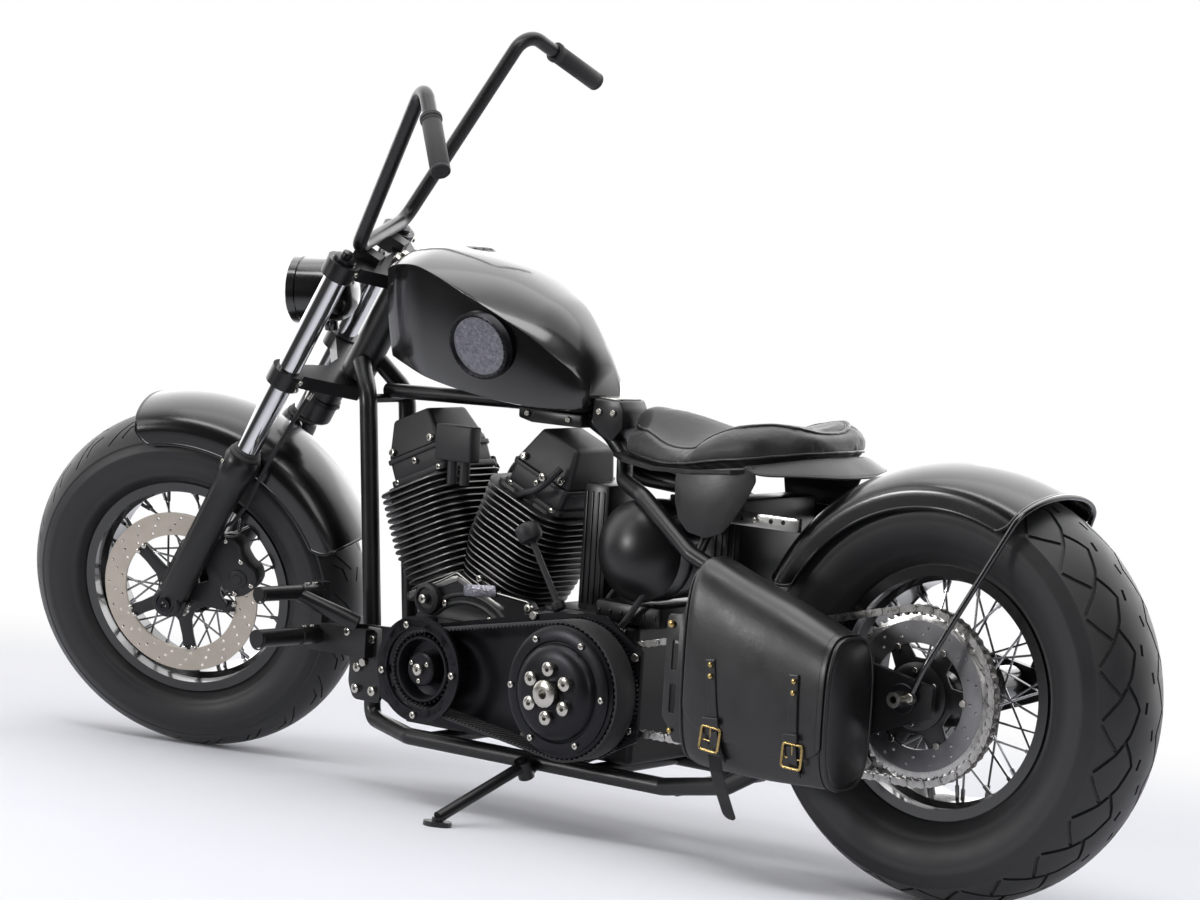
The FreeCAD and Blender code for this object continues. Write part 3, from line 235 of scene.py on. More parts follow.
# The same lacquer on the mudguards, with a thinner clear coat.
ENAMEL_THIN = Finish("enamel_lacquered_thin_coat", "070708", "040405", 0.26, Grain.SPRAYED, 2.5, 0.004, 0.02,
                     coat=0.45, coat_roughness=0.14)
# Wrinkle paint on castings: even, dull, with small dark pits.
WRINKLE = Finish("wrinkle_paint_black", "1a1a1d", "101012", 0.5, Grain.WRINKLED, 1.1, 0.05)
# Black paint on sand castings, rougher than wrinkle paint, for barrels and cases.
CAST_BLACK = Finish("cast_aluminium_painted_black", "17171a", "0e0e10", 0.48, Grain.CAST, 1.4, 0.04)
# Black anodised aluminium, machined: a dark metal that still mirrors a little.
ANODISED = Finish("aluminium_anodised_black", "26262a", "17171a", 0.34, Grain.TURNED, 0.7, 0.006, metallic=0.7)
# Machined aluminium, bare, on fin edges and flanges.
MACHINED = Finish("aluminium_machined", "c9c8c4", "a09f9c", 0.3, Grain.BRUSHED, 0.5, 0.004, metallic=1.0)
# Fin edges and flanges cut bare by the lathe and gone dull.
FIN_CUT = Finish("aluminium_cut_dulled", "8c8b89", "6a6968", 0.36, Grain.BRUSHED, 0.5, 0.006, metallic=1.0)
# Zinc-plated steel bolts, bright with a faint warm cast.
ZINC = Finish("steel_zinc_plated", "d6d3cb", "a8a59e", 0.24, Grain.POLISHED, 0.4, 0.002, metallic=1.0)
# Chromium plate on the fork tubes: a near mirror.
CHROME = Finish("steel_chromed", "e6e6e8", "d4d4d8", 0.07, Grain.POLISHED, 0.4, 0.0008, 0.02, metallic=1.0)
# Stainless spokes, drawn wire: bright but not a mirror.
SPOKE_WIRE = Finish("stainless_drawn_wire", "b4b4b6", "8b8b8e", 0.22, Grain.POLISHED, 0.5, 0.002, metallic=1.0)
# Ground brake disc steel, warm grey, with rings that the grinding left.
DISC = Finish("stainless_ground_disc", "c8bfb3", "a89f94", 0.38, Grain.TURNED, 0.9, 0.01, metallic=0.85)
# Ground sprocket steel, then chain steel, oiled and a little worn.
SPROCKET = Finish("steel_sprocket_ground", "99989a", "6c6b6e", 0.36, Grain.TURNED, 0.8, 0.01, metallic=1.0)
CHAIN = Finish("steel_chain_oiled", "cfcdcb", "8c8a88", 0.3, Grain.POLISHED, 0.8, 0.01, metallic=1.0, patch_mm=9)
# Vulcanised tyre rubber: charcoal, dull, with mould texture.
TYRE = Finish("rubber_vulcanised", "1e1e20", "141416", 0.5, Grain.MOULDED, 0.9, 0.03, sheen=0.12)
# Moulded rubber of grips, belt and hoses.
RUBBER = Finish("rubber_moulded", "232325", "161618", 0.68, Grain.MOULDED, 0.6, 0.03, sheen=0.1)
# Upholstery hide: soft black with pores, creases and a low polish.
SEAT_HIDE = Finish("leather_upholstery_black", "1b1a1b", "111011", 0.46, Grain.HIDE, 1.3, 0.16, sheen=0.15)
# Saddlery hide: stiff, waxed, smoother, with a polish along its folds.
BAG_HIDE = Finish("leather_saddlery_waxed", "19181a", "0d0d0e", 0.36, Grain.HIDE, 1.0, 0.08, 0.08, coat=0.12,
                  coat_roughness=0.3)
# Waxed thread and cut leather edges.
THREAD = Finish("thread_waxed_black", "2b2a2a", "1b1a1a", 0.6, Grain.MOULDED, 0.4, 0.03)
# Cast brass of buckles and rivets, a little tarnished.
BRASS = Finish("brass_cast", "cbb27a", "97804c", 0.27, Grain.POLISHED, 0.6, 0.006, metallic=1.0, patch_mm=6)
# Blank engraved steel plate with a punched ground.
PLATE = Finish("steel_plate_stippled", "b4b3bc", "33323a", 0.34, Grain.STIPPLED, 3.4, 0.5, metallic=1.0, patch_mm=7)
# Dull silver inside of a lamp.
REFLECTOR = Finish("aluminium_vacuum_plated", "e4e4e6", "d0d0d2", 0.12, Grain.POLISHED, metallic=1.0)


def clear_glass(name: str = "glass_pressed_clear") -> bpy.types.Material:
    """Return pressed lamp glass: clear, with a faint green edge."""
    material = bpy.data.materials.get(name)
    if material:
        return material
    material = bpy.data.materials.new(name)
    material.use_nodes = True
    tree = material.node_tree
    tree.nodes.clear()
    coords = add_node(tree, "ShaderNodeTexCoord").outputs["Object"]
    flutes = add_node(tree, "ShaderNodeTexWave", {"Vector": coords, "Scale": 60.0}, bands_direction="Y")
    bump = add_node(tree, "ShaderNodeBump", {"Height": flutes.outputs["Fac"], "Distance": 0.0006})
    shader = add_node(tree, "ShaderNodeBsdfPrincipled", {
        "Base Color": linear("f4faf6"), "Roughness": 0.04, "IOR": 1.5, "Transmission Weight": 1.0,
        "Normal": bump.outputs["Normal"]})
    add_node(tree, "ShaderNodeOutputMaterial", {"Surface": shader.outputs["BSDF"]})
    return material


# ---- hand tools ------------------------------------------------------------
def take(obj: bpy.types.Object) -> bpy.types.Object:
    """Select this object alone and make it the active one."""
    bpy.ops.object.select_all(action="DESELECT")
    obj.select_set(True)
    bpy.context.view_layer.objects.active = obj
    return obj


@contextmanager
def editing(obj: bpy.types.Object, mode: str = "FACE") -> Iterator[bmesh.types.BMesh]:
    """Open an object in edit mode with nothing selected.

    Args:
        obj: the mesh object.
        mode: VERT, EDGE or FACE.

    Yields:
        Its edit mesh.
    """
    take(obj)
    bpy.ops.object.mode_set(mode="EDIT")
    bpy.ops.mesh.select_mode(type=mode)
    bpy.ops.mesh.select_all(action="DESELECT")
    yield bmesh.from_edit_mesh(obj.data)
    bpy.ops.object.mode_set(mode="OBJECT")


def pick_faces(obj: bpy.types.Object, mesh: bmesh.types.BMesh, test: Test) -> None:
    """Select the faces whose centre and normal pass a test."""
    for face in mesh.faces:
        face.select_set(test(face.calc_center_median(), face.normal))
    bmesh.update_edit_mesh(obj.data)


def tidy_mesh(obj: bpy.types.Object, merge: float = 0.01) -> bpy.types.Object:
    """Merge doubles and turn every face outwards."""
    with editing(obj, "VERT"):
        bpy.ops.mesh.select_all(action="SELECT")
        bpy.ops.mesh.remove_doubles(threshold=merge)
        bpy.ops.mesh.normals_make_consistent(inside=False)
    return obj


def with_modifier(obj: bpy.types.Object, kind: str, **settings: object) -> bpy.types.Object:
    """Add one modifier with its settings and apply it."""
    take(obj)
    modifier = obj.modifiers.new(kind.lower(), kind)
    for key, value in settings.items():
        setattr(modifier, key, value)
    bpy.ops.object.modifier_apply(modifier=modifier.name)
    return obj


def eased(obj: bpy.types.Object, width: float, segments: int = 2, angle: float = 30) -> bpy.types.Object:
    """Bevel the edges that are sharper than an angle in degrees."""
    return with_modifier(obj, "BEVEL", width=width, segments=segments, limit_method="ANGLE",
                         angle_limit=math.radians(angle), harden_normals=False)


def rod(start: Point, end: Point, radius: float, sides: int = 24, tip: float | None = None) -> bpy.types.Object:
    """Add a cylinder, or a cone with a tip radius, between two points."""
    a, b = Vector(start), Vector(end)
    turn = (b - a).to_track_quat("Z", "Y").to_euler()
    if tip is None:
        bpy.ops.mesh.primitive_cylinder_add(vertices=sides, radius=radius, depth=(b - a).length,
                                            location=(a + b) / 2, rotation=turn)
    else:
        bpy.ops.mesh.primitive_cone_add(vertices=sides, radius1=radius, radius2=tip, depth=(b - a).length,
                                        location=(a + b) / 2, rotation=turn)
    return baked(bpy.context.object)


def block(low: Point, high: Point, ease: float = 0.0, segments: int = 2) -> bpy.types.Object:
    """Add a box between two corners with eased edges."""
    a, b = Vector(low), Vector(high)
    bpy.ops.mesh.primitive_cube_add(size=1, location=(a + b) / 2, scale=b - a)
    obj = baked(bpy.context.object)
    return eased(obj, ease, segments) if ease else obj


def baked(obj: bpy.types.Object) -> bpy.types.Object:
    """Apply an object's place, turn and size to its mesh."""
    take(obj)
    bpy.ops.object.transform_apply(location=True, rotation=True, scale=True)
    return obj


def drawn(name: str, points: Sequence[Point], edges: Sequence[tuple[int, int]],
          faces: Sequence[Sequence[int]] = ()) -> bpy.types.Object:
    """Add a mesh of points, edges and faces, as the start of a piece."""
    mesh = bpy.data.meshes.new(name)
    mesh.from_pydata([tuple(p) for p in points], list(edges), list(faces))
    obj = bpy.data.objects.new(name, mesh)
    bpy.context.scene.collection.objects.link(obj)
    return take(obj)


def lathe(name: str, profile: Sequence[Point], steps: int = 64, centre: Point = (0, 0, 0),
          axis: Point = (0, 1, 0)) -> bpy.types.Object:
    """Spin a profile round an axis.

    Args:
        name: the piece's name.
        profile: (radius, distance along the axis) pairs. Ends on the axis close the piece.
        steps: steps round.
        centre: a point on the axis.
        axis: the axis's direction.

    Returns:
        The closed shape.
    """
    along = Vector(axis).normalized()
    out = along.orthogonal().normalized()
    middle = Vector(centre)
    points = [middle + out * r + along * h for r, h in profile]
    obj = drawn(name, points, [(i, i + 1) for i in range(len(points) - 1)])
    with editing(obj, "VERT"):
        bpy.ops.mesh.select_all(action="SELECT")
        bpy.ops.mesh.spin(steps=steps, angle=math.tau, center=middle, axis=along, use_auto_merge=True)
    return tidy_mesh(obj)


def ring_profile(inner: float, outer: float, low: float, high: float, ease: float = 0.6) -> list[tuple[float, float]]:
    """Return the closed profile of a flat ring with eased edges."""
    return [(inner, low + ease), (inner, high - ease), (inner + ease, high), (outer - ease, high),
            (outer, high - ease), (outer, low + ease), (outer - ease, low), (inner + ease, low),
            (inner, low + ease)]


def slab(name: str, outline: Sequence[Point], y0: float, y1: float, corner: float = 0.0,
         ease: float = 0.0) -> bpy.types.Object:
    """Extrude an outline of (x, z) corners from y0 to y1.

    Args:
        name: the piece's name.
        outline: the corners in order.
        y0: where the slab starts.
        y1: where it ends.
        corner: radius that rounds the outline's corners.
        ease: bevel of the slab's rims.

    Returns:
        The slab.
    """
    points = [(x, y0, z) for x, z in outline]
    obj = drawn(name, points, [], [list(range(len(points)))])
    with editing(obj, "VERT"):
        bpy.ops.mesh.select_all(action="SELECT")
        if corner:
            bpy.ops.mesh.bevel(offset=corner, segments=5, affect="VERTICES")
        bpy.ops.mesh.extrude_region_move(TRANSFORM_OT_translate={"value": (0, y1 - y0, 0)})
    tidy_mesh(obj)
    return eased(obj, ease, 2, 50) if ease else obj


def joined(name: str, pieces: Sequence[bpy.types.Object]) -> bpy.types.Object:
    """Join several meshes into one object."""
    bpy.ops.object.select_all(action="DESELECT")
    for piece in pieces:
        piece.select_set(True)
    bpy.context.view_layer.objects.active = pieces[0]
    if len(pieces) > 1:
        bpy.ops.object.join()
    pieces[0].name = name
    return pieces[0]


def copied(obj: bpy.types.Object, matrix: Matrix) -> bpy.types.Object:
    """Return a copy with its own mesh, moved by a matrix."""
    twin = obj.copy()
    twin.data = obj.data.copy()
    bpy.context.scene.collection.objects.link(twin)
    twin.data.transform(matrix)
    return twin


def removed(*objs: bpy.types.Object) -> None:
    """Delete helper objects."""
    for obj in objs:
        bpy.data.objects.remove(obj)


def cut_by(obj: bpy.types.Object, cutter: bpy.types.Object, crossing: bool = False) -> bpy.types.Object:
    """Subtract one mesh from another and delete the cutter.

    Args:
        obj: the piece.
        cutter: what is taken away.
        crossing: whether the cutter's own parts cross each other.

    Returns:
        The piece.
    """
    with_modifier(obj, "BOOLEAN", operation="DIFFERENCE", object=cutter, solver="EXACT", use_self=crossing)
    removed(cutter)
    return obj


def pipe(name: str, points: Sequence[Point], radius: float, sides: int = 6, smooth: bool = True) -> bpy.types.Object:
    """Return a mesh tube that follows points, smoothly or along straight runs."""
    curve = bpy.data.curves.new(name, "CURVE")
    curve.dimensions = "3D"
    spline = curve.splines.new("NURBS" if smooth else "POLY")
    spline.points.add(len(points) - 1)
    for point, place in zip(spline.points, points):
        point.co = (*place, 1)
    if smooth:
        spline.order_u = 3
        spline.use_endpoint_u = True
    curve.resolution_u = 8
    curve.bevel_depth = radius
    curve.bevel_resolution = sides
    curve.use_fill_caps = True
    obj = bpy.data.objects.new(name, curve)
    bpy.context.scene.collection.objects.link(obj)
    take(obj)
    bpy.ops.object.convert(target="MESH")
    return bpy.context.object


def turned_to(at: Point, normal: Point) -> Matrix:
    """Return the matrix that sets a piece made along +Z at a point, facing a normal."""
    return Matrix.Translation(Vector(at)) @ Vector(normal).to_track_quat("Z", "Y").to_matrix().to_4x4()


def face_slots(obj: bpy.types.Object, slot: int, test: Test) -> None:
    """Give the faces that pass a test another of the object's material slots."""
    for face in obj.data.polygons:
        if test(face.center, face.normal):
            face.material_index = slot


class Head(Enum):
    """Kinds of bolt head."""

    HEX = "hex"
    SOCKET = "socket"
    DOME = "dome"


def bolt_head(kind: Head, radius: float) -> bpy.types.Object:
    """Model one bolt head along +Z with its foot at the origin."""
    height = radius * 0.75
    if kind is Head.HEX:
        bpy.ops.mesh.primitive_cylinder_add(vertices=6, radius=radius, depth=height, location=(0, 0, height / 2))
        return eased(baked(bpy.context.object), radius * 0.12, 1)
    bpy.ops.mesh.primitive_cylinder_add(vertices=16, radius=radius, depth=height, location=(0, 0, height / 2))
    obj = baked(bpy.context.object)
    with editing(obj) as mesh:
        pick_faces(obj, mesh, lambda centre, normal: normal.z > 0.9)
        inner = radius * (0.38 if kind is Head.SOCKET else 0.3)
        bpy.ops.mesh.inset(thickness=radius * 0.2)
        bpy.ops.transform.translate(value=(0, 0, radius * 0.12))
        bpy.ops.mesh.inset(thickness=radius * 0.8 - inner)
        if kind is Head.SOCKET:
            bpy.ops.mesh.extrude_region_move(TRANSFORM_OT_translate={"value": (0, 0, -height * 0.6)})
        else:
            bpy.ops.transform.translate(value=(0, 0, radius * 0.14))
    return obj


def bolts(name: str, seats: Sequence[tuple[Point, Point, float]], kind: Head = Head.SOCKET) -> bpy.types.Object:
    """Set bolt heads on their seats.

    Args:
        name: the piece's name.
        seats: (place, outward normal, head radius) of each.
        kind: the kind of head.

    Returns:
        All the heads as one piece.
    """
    made = []
    for at, normal, radius in seats:
        head = bolt_head(kind, radius)
        head.data.transform(turned_to(at, normal))
        made.append(head)
    return joined(name, made)


# ---- frames and fitting ----------------------------------------------------
@dataclass
class Rig:
    """The local frames of the machine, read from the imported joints."""

    record: dict
    nodes: dict
    bike: Matrix = field(init=False)
    front: Matrix = field(init=False)
    fork: Matrix = field(init=False)

    def __post_init__(self) -> None:
        """Work out the frames from the joints' places and axes."""
        joints = {joint["name"]: joint for joint in self.record["behaviour"]["joints"]}
        rear, ahead = joints["rear_wheel_spin"], joints["front_wheel_spin"]
        left = Vector(rear["axis"]).normalized()
        along = Vector((-left.z, 0, left.x)).normalized()
        if along.x < 0:
            along.negate()
        up = along.cross(left)
        self.bike = self.axes(along, left, up, Vector(rear["pos_m"]) - up * REAR_R * MM)
        left = Vector(ahead["axis"]).normalized()
        up = Vector(joints["steering"]["axis"]).normalized()
        self.fork = self.axes(left.cross(up), left, up, Vector(ahead["pos_m"]))
        self.front = self.fork @ Matrix.Rotation(RAKE, 4, "Y") @ Matrix.Translation((-WHEELBASE, 0, -FRONT_R))

    @staticmethod
    def axes(along: Vector, left: Vector, up: Vector, base: Vector) -> Matrix:
        """Return a frame in millimetres with the given axes and origin in metres."""
        turn = Matrix((along, left, up)).transposed().to_4x4()
        return Matrix.Translation(base) @ turn @ Matrix.Scale(MM, 4)

    def span(self, node: str, place: Matrix) -> tuple[Vector, Vector]:
        """Return a node's lowest and highest corners in a local frame."""
        back = place.inverted()
        points = [back @ v.co for v in self.nodes[node].data.vertices]
        low = Vector([min(p[i] for p in points) for i in range(3)])
        high = Vector([max(p[i] for p in points) for i in range(3)])
        return low, high


@dataclass
class Bench:
    """Fits finished pieces to the machine and dresses them."""

    rig: Rig
    count: int = 0

    def fit(self, obj: bpy.types.Object, name: str, place: Matrix, body: str,
            finishes: Sequence[Finish | bpy.types.Material], replaces: Sequence[str] = (),
            angle: float = 35.0, marks: Matrix | None = None) -> bpy.types.Object:
        """Place, shade and dress a piece, and let it ride.

        Args:
            obj: the piece, in millimetres in its local frame.
            name: its final name.
            place: the local frame.
            body: the body it rides on.
            finishes: one for each of its material slots.
            replaces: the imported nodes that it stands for.
            angle: edges sharper than this many degrees stay sharp.
            marks: the frame that turned and brushed marks follow.

        Returns:
            The piece.
        """
        baked(obj)
        obj.name = name
        obj.data.name = name
        obj.data.transform(place)
        take(obj)
        bpy.ops.object.shade_smooth_by_angle(angle=math.radians(angle))
        slots = [polygon.material_index for polygon in obj.data.polygons]
        obj.data.materials.clear()
        for finish in finishes:
            obj.data.materials.append(self.dress(finish, place if marks is None else marks))
        obj.data.polygons.foreach_set("material_index", [min(index, len(finishes) - 1) for index in slots])
        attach(obj, body)
        if replaces:
            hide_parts(*replaces)
        self.count += 1
        LOG.info("fitted %s on %s, %d faces", name, body, len(obj.data.polygons))
        return obj

    @staticmethod
    def dress(finish: Finish | bpy.types.Material, marks: Matrix) -> bpy.types.Material:
        """Return the material of a finish, with its marks laid to a frame if it has any."""
        if isinstance(finish, bpy.types.Material):
            return finish
        if finish.grain in (Grain.TURNED, Grain.BRUSHED):
            return finish.material(Matrix.Translation(marks.translation) @ marks.to_quaternion().to_matrix().to_4x4())
        return finish.material()


# ---- studio ----------------------------------------------------------------
@dataclass
class Studio:
    """A pale floor, soft lights all round and the camera."""

    eye: Point = (-3.7669, 4.7386, 0.7448)
    right: Point = (-0.78261, -0.61168, 0.11561)
    above: Point = (0.13601, 0.01322, 0.99062)
    lens_mm: float = 106.256
    shift: float = 0.16772
    floor_half: float = 14.0
    fade_from: float = 1.3
    fade_to: float = 3.6
    backdrop: Point = (0.56, -0.72, 0.4)

    def build(self) -> None:
        """Make the floor, the light and the camera."""
        self.floor()
        self.surround()
        self.lamps()
        self.camera()
        bpy.context.scene.view_settings.view_transform = "Standard"

    def camera(self) -> None:
        """Set the camera where the machine is seen from, with its roll."""
        right, above = Vector(self.right).normalized(), Vector(self.above).normalized()
        back = right.cross(above).normalized()
        lens = bpy.data.cameras.new("camera")
        lens.lens = self.lens_mm
        lens.sensor_width = 36.0
        lens.shift_y = self.shift
        lens.clip_end = 100.0
        camera = bpy.data.objects.new("camera", lens)
        camera.matrix_world = Matrix.Translation(Vector(self.eye)) @ Matrix(
            (right, back.cross(right), back)).transposed().to_4x4()
        bpy.context.scene.collection.objects.link(camera)
        bpy.context.scene.camera = camera

    def floor(self) -> None:
        """Lay a seamless pale floor that keeps the machine's shadow, with a painted dark reflection on its near part
        for glossy rays.
        """
        bpy.ops.mesh.primitive_plane_add(size=2 * self.floor_half, location=(0, 0, -0.0005))
        plane = bpy.context.object
        plane.name = "studio_floor"
        material = bpy.data.materials.new("paper_matt_white")
        material.use_nodes = True
        tree = material.node_tree
        tree.nodes.clear()
        coords = add_node(tree, "ShaderNodeTexCoord").outputs["Object"]
        haze = add_node(tree, "ShaderNodeTexNoise", {"Vector": coords, "Scale": 0.7, "Detail": 3.0})
        tone = add_node(tree, "ShaderNodeMix", {0: haze.outputs["Fac"], 6: linear("d3d4db"), 7: linear("dfdfe5")},
                        data_type="RGBA")
        paper = add_node(tree, "ShaderNodeBsdfPrincipled", {"Base Color": tone.outputs[2], "Roughness": 0.75,
                                                            "Specular IOR Level": 0.2})
        away = add_node(tree, "ShaderNodeVectorMath", {0: coords}, operation="LENGTH")
        far = add_node(tree, "ShaderNodeMapRange", {"Value": away.outputs["Value"], "From Min": self.fade_from,
                                                    "From Max": self.fade_to}, interpolation_type="SMOOTHSTEP")
        path = add_node(tree, "ShaderNodeLightPath")
        blend = add_node(tree, "ShaderNodeMath", {0: far.outputs["Result"], 1: path.outputs["Is Camera Ray"]},
                         operation="MULTIPLY")
        # Painted dark reflection: glossy rays see the floor's near part as a dim emission instead of the lit paper.
        spot = add_node(tree, "ShaderNodeSeparateXYZ", {0: coords})
        painted_dark_reflection_mask = add_node(tree, "ShaderNodeMapRange", {"Value": spot.outputs["Y"], "From Min": 0.5, "From Max": 1.9},
                             interpolation_type="SMOOTHSTEP")
        dim = add_node(tree, "ShaderNodeMath", {0: painted_dark_reflection_mask.outputs["Result"], 1: path.outputs["Is Glossy Ray"]},
                       operation="MULTIPLY")
        painted_dark_room_reflection = add_node(tree, "ShaderNodeEmission", {"Color": linear("ffffff"), "Strength": 0.05})
        haze_white = add_node(tree, "ShaderNodeEmission", {"Color": linear("ffffff"), "Strength": 1.0})
        sheet = add_node(tree, "ShaderNodeMixShader", {0: blend.outputs[0], 1: paper.outputs[0],
                                                       2: haze_white.outputs[0]})
        room = add_node(tree, "ShaderNodeMixShader", {0: dim.outputs[0], 1: sheet.outputs[0], 2: painted_dark_room_reflection.outputs[0]})
        add_node(tree, "ShaderNodeOutputMaterial", {"Surface": room.outputs[0]})
        plane.data.materials.append(material)

    def surround(self) -> None:
        """Show white to the camera, and a white backdrop and a dim room to mirrors."""
        world = bpy.data.worlds.new("studio")
        world.use_nodes = True
        tree = world.node_tree
        tree.nodes.clear()
        path = add_node(tree, "ShaderNodeLightPath")
        seen = add_node(tree, "ShaderNodeMath", {0: path.outputs["Is Glossy Ray"],
                                                 1: path.outputs["Is Transmission Ray"]}, operation="MAXIMUM")
        way = add_node(tree, "ShaderNodeTexCoord").outputs["Generated"]
        ahead = add_node(tree, "ShaderNodeVectorMath", {0: way, 1: self.backdrop}, operation="DOT_PRODUCT")
        wall = add_node(tree, "ShaderNodeMapRange", {"Value": ahead.outputs["Value"], "From Min": -0.05, "From Max": 0.72,
                                                     "To Min": 0.045, "To Max": 2.5},
                        interpolation_type="SMOOTHSTEP")
        glow = add_node(tree, "ShaderNodeBackground", {"Color": linear("ffffff"), "Strength": 0.62})
        mirror = add_node(tree, "ShaderNodeBackground", {"Color": linear("ffffff"),
                                                         "Strength": wall.outputs["Result"]})
        white = add_node(tree, "ShaderNodeBackground", {"Color": linear("ffffff"), "Strength": 1.0})
        first = add_node(tree, "ShaderNodeMixShader", {0: seen.outputs[0], 1: glow.outputs[0],
                                                       2: mirror.outputs[0]})
        last = add_node(tree, "ShaderNodeMixShader", {0: path.outputs["Is Camera Ray"], 1: first.outputs[0],
                                                      2: white.outputs[0]})
        add_node(tree, "ShaderNodeOutputWorld", {"Surface": last.outputs[0]})
        bpy.context.scene.world = world

    @staticmethod
    def lamps() -> None:
        """Hang the soft boxes: two overhead, a small one low at the left and the rest all round."""
        for name, at, aim, size, power in (
                ("overhead", (-0.3, 0.4, 4.2), (0, 0, 0.5), (5.0, 3.2), 60),
                ("strip", (-0.5, 1.9, 3.6), (0, 0, 0.5), (4.4, 0.6), 56),
                ("left_front", (2.6, 3.6, 2.6), (0.2, 0, 0.5), (1.6, 2.0), 22),
                ("left_rear", (-4.2, 2.2, 2.2), (-0.4, 0, 0.5), (1.4, 2.4), 28),
                ("key", (2.7, 4.8, 1.1), (0.2, 0, 0.5), (0.9, 0.9), 80),
                ("right", (0.4, -4.4, 2.4), (0, 0, 0.5), (3.0, 2.0), 28)):
            light = bpy.data.lights.new(name, "AREA")
            light.shape = "RECTANGLE"
            light.size, light.size_y = size
            light.energy = power
            lamp = bpy.data.objects.new(name, light)
            lamp.location = at
            lamp.rotation_euler = (Vector(aim) - Vector(at)).to_track_quat("-Z", "Y").to_euler()
            bpy.context.scene.collection.objects.link(lamp)


# ---- wheels ----------------------------------------------------------------
def arc_points(a: Point, b: Point, c: Point, count: int) -> list[tuple[float, float]]:
    """Return points along the circle through three points, the last one left out.

    Args:
        a: first point.
        b: a point on the way.
        c: last point.
        count: how many points to give.
    """
    (ax, ay), (bx, by), (cx, cy) = a[:2], b[:2], c[:2]
    d = 2 * (ax * (by - cy) + bx * (cy - ay) + cx * (ay - by))
    ux = ((ax ** 2 + ay ** 2) * (by - cy) + (bx ** 2 + by ** 2) * (cy - ay) + (cx ** 2 + cy ** 2) * (ay - by)) / d
    uy = ((ax ** 2 + ay ** 2) * (cx - bx) + (bx ** 2 + by ** 2) * (ax - cx) + (cx ** 2 + cy ** 2) * (bx - ax)) / d
    first, last = math.atan2(ay - uy, ax - ux), math.atan2(cy - uy, cx - ux)
    way = math.atan2(by - uy, bx - ux)
    turn = (last - first) % math.tau
    if (way - first) % math.tau > turn:
        turn -= math.tau
    radius = math.hypot(ax - ux, ay - uy)
    return [(ux + radius * math.cos(first + turn * n / count), uy + radius * math.sin(first + turn * n / count))
            for n in range(count)]


@dataclass
class Tyre:
    """A tyre with a crowned tread cut by thin angled grooves."""

    name: str
    body: str
    radius: float
    width: float
    crown: float
    bead: float
    pitches: int
    grooves: Sequence[Sequence[Point]]
    groove_w: float = 4.0
    depth: float = 4.5

    def crown_radius(self, y: float) -> float:
        """Return the tread's radius at y across it."""
        return self.radius - self.crown + math.sqrt(self.crown ** 2 - y ** 2)

    def profile(self) -> list[tuple[float, float]]:
        """Return the closed section: crown, shoulders, ribbed side walls and beads."""
        half, edge = self.width / 2, self.width / 2 - 8
        shoulder = self.crown_radius(edge)
        belly = ((202 + shoulder) / 2 + 4, half)
        crown = [(self.crown_radius(edge * n / 9), edge * n / 9) for n in range(9)]
        wall = arc_points((shoulder, edge), belly, (204, self.bead), 22)
        side = []
        for n, (r, y) in enumerate(wall):
            lift = {1: -1.6, 4: 1.4, 5: 1.4, 16: 1.8, 17: 1.8, 18: 1.8}.get(n, 0.0)
            side.append((r, y + lift))
        right = crown + side + [(204, self.bead), (190.3, self.bead)]
        return [(r, -y) for r, y in reversed(right[1:])] + right + [(190.3, -self.bead)]

    def on_tread(self, along: float, v: float, side: int, lift: float) -> Vector:
        """Return a point on the tread, along it in millimetres and v across it."""
        lean = v / self.crown
        turn = along / self.radius
        reach = self.radius - self.crown + (self.crown + lift) * math.cos(lean)
        return Vector((reach * math.cos(turn), side * (self.crown + lift) * math.sin(lean), reach * math.sin(turn)))

    def blade(self, line: Sequence[Point], start: float, side: int) -> bpy.types.Object:
        """Return the cutter of one groove, a ribbon with depth that follows the tread."""
        points, faces = [], []
        for n, (along, v) in enumerate(line):
            before, after = line[max(n - 1, 0)], line[min(n + 1, len(line) - 1)]
            way = Vector((after[0] - before[0], after[1] - before[1])).normalized() * self.groove_w / 2
            for lift in (2.0, -self.depth):
                points.append(self.on_tread(start + along - way.y, v + way.x, side, lift))
                points.append(self.on_tread(start + along + way.y, v - way.x, side, lift))
            if n:
                k = 4 * n
                faces += [(k - 4, k - 3, k + 1, k), (k - 2, k + 2, k + 3, k - 1), (k - 4, k, k + 2, k - 2),
                          (k - 3, k - 1, k + 3, k + 1)]
        k = 4 * (len(line) - 1)
        return drawn("groove", points, [], faces + [(0, 2, 3, 1), (k, k + 1, k + 3, k + 2)])

    def build(self, bench: Bench, place: Matrix) -> None:
        """Spin the section, cut the grooves and fit the tyre."""
        tyre = lathe(self.name, self.profile(), 144)
        pitch = math.tau * self.radius / self.pitches
        blades = [self.blade(line, pitch * (n + (0.5 if side < 0 else 0)), side)
                  for n in range(self.pitches) for side in (1, -1) for line in self.grooves]
        cutter = joined("grooves", blades)
        with editing(cutter) as _:
            bpy.ops.mesh.select_all(action="SELECT")
            bpy.ops.mesh.normals_make_consistent(inside=False)
        cut_by(tyre, cutter, crossing=True)
        bench.fit(tyre, self.name + "_rubber", place, self.body, [TYRE], [self.name], 32)


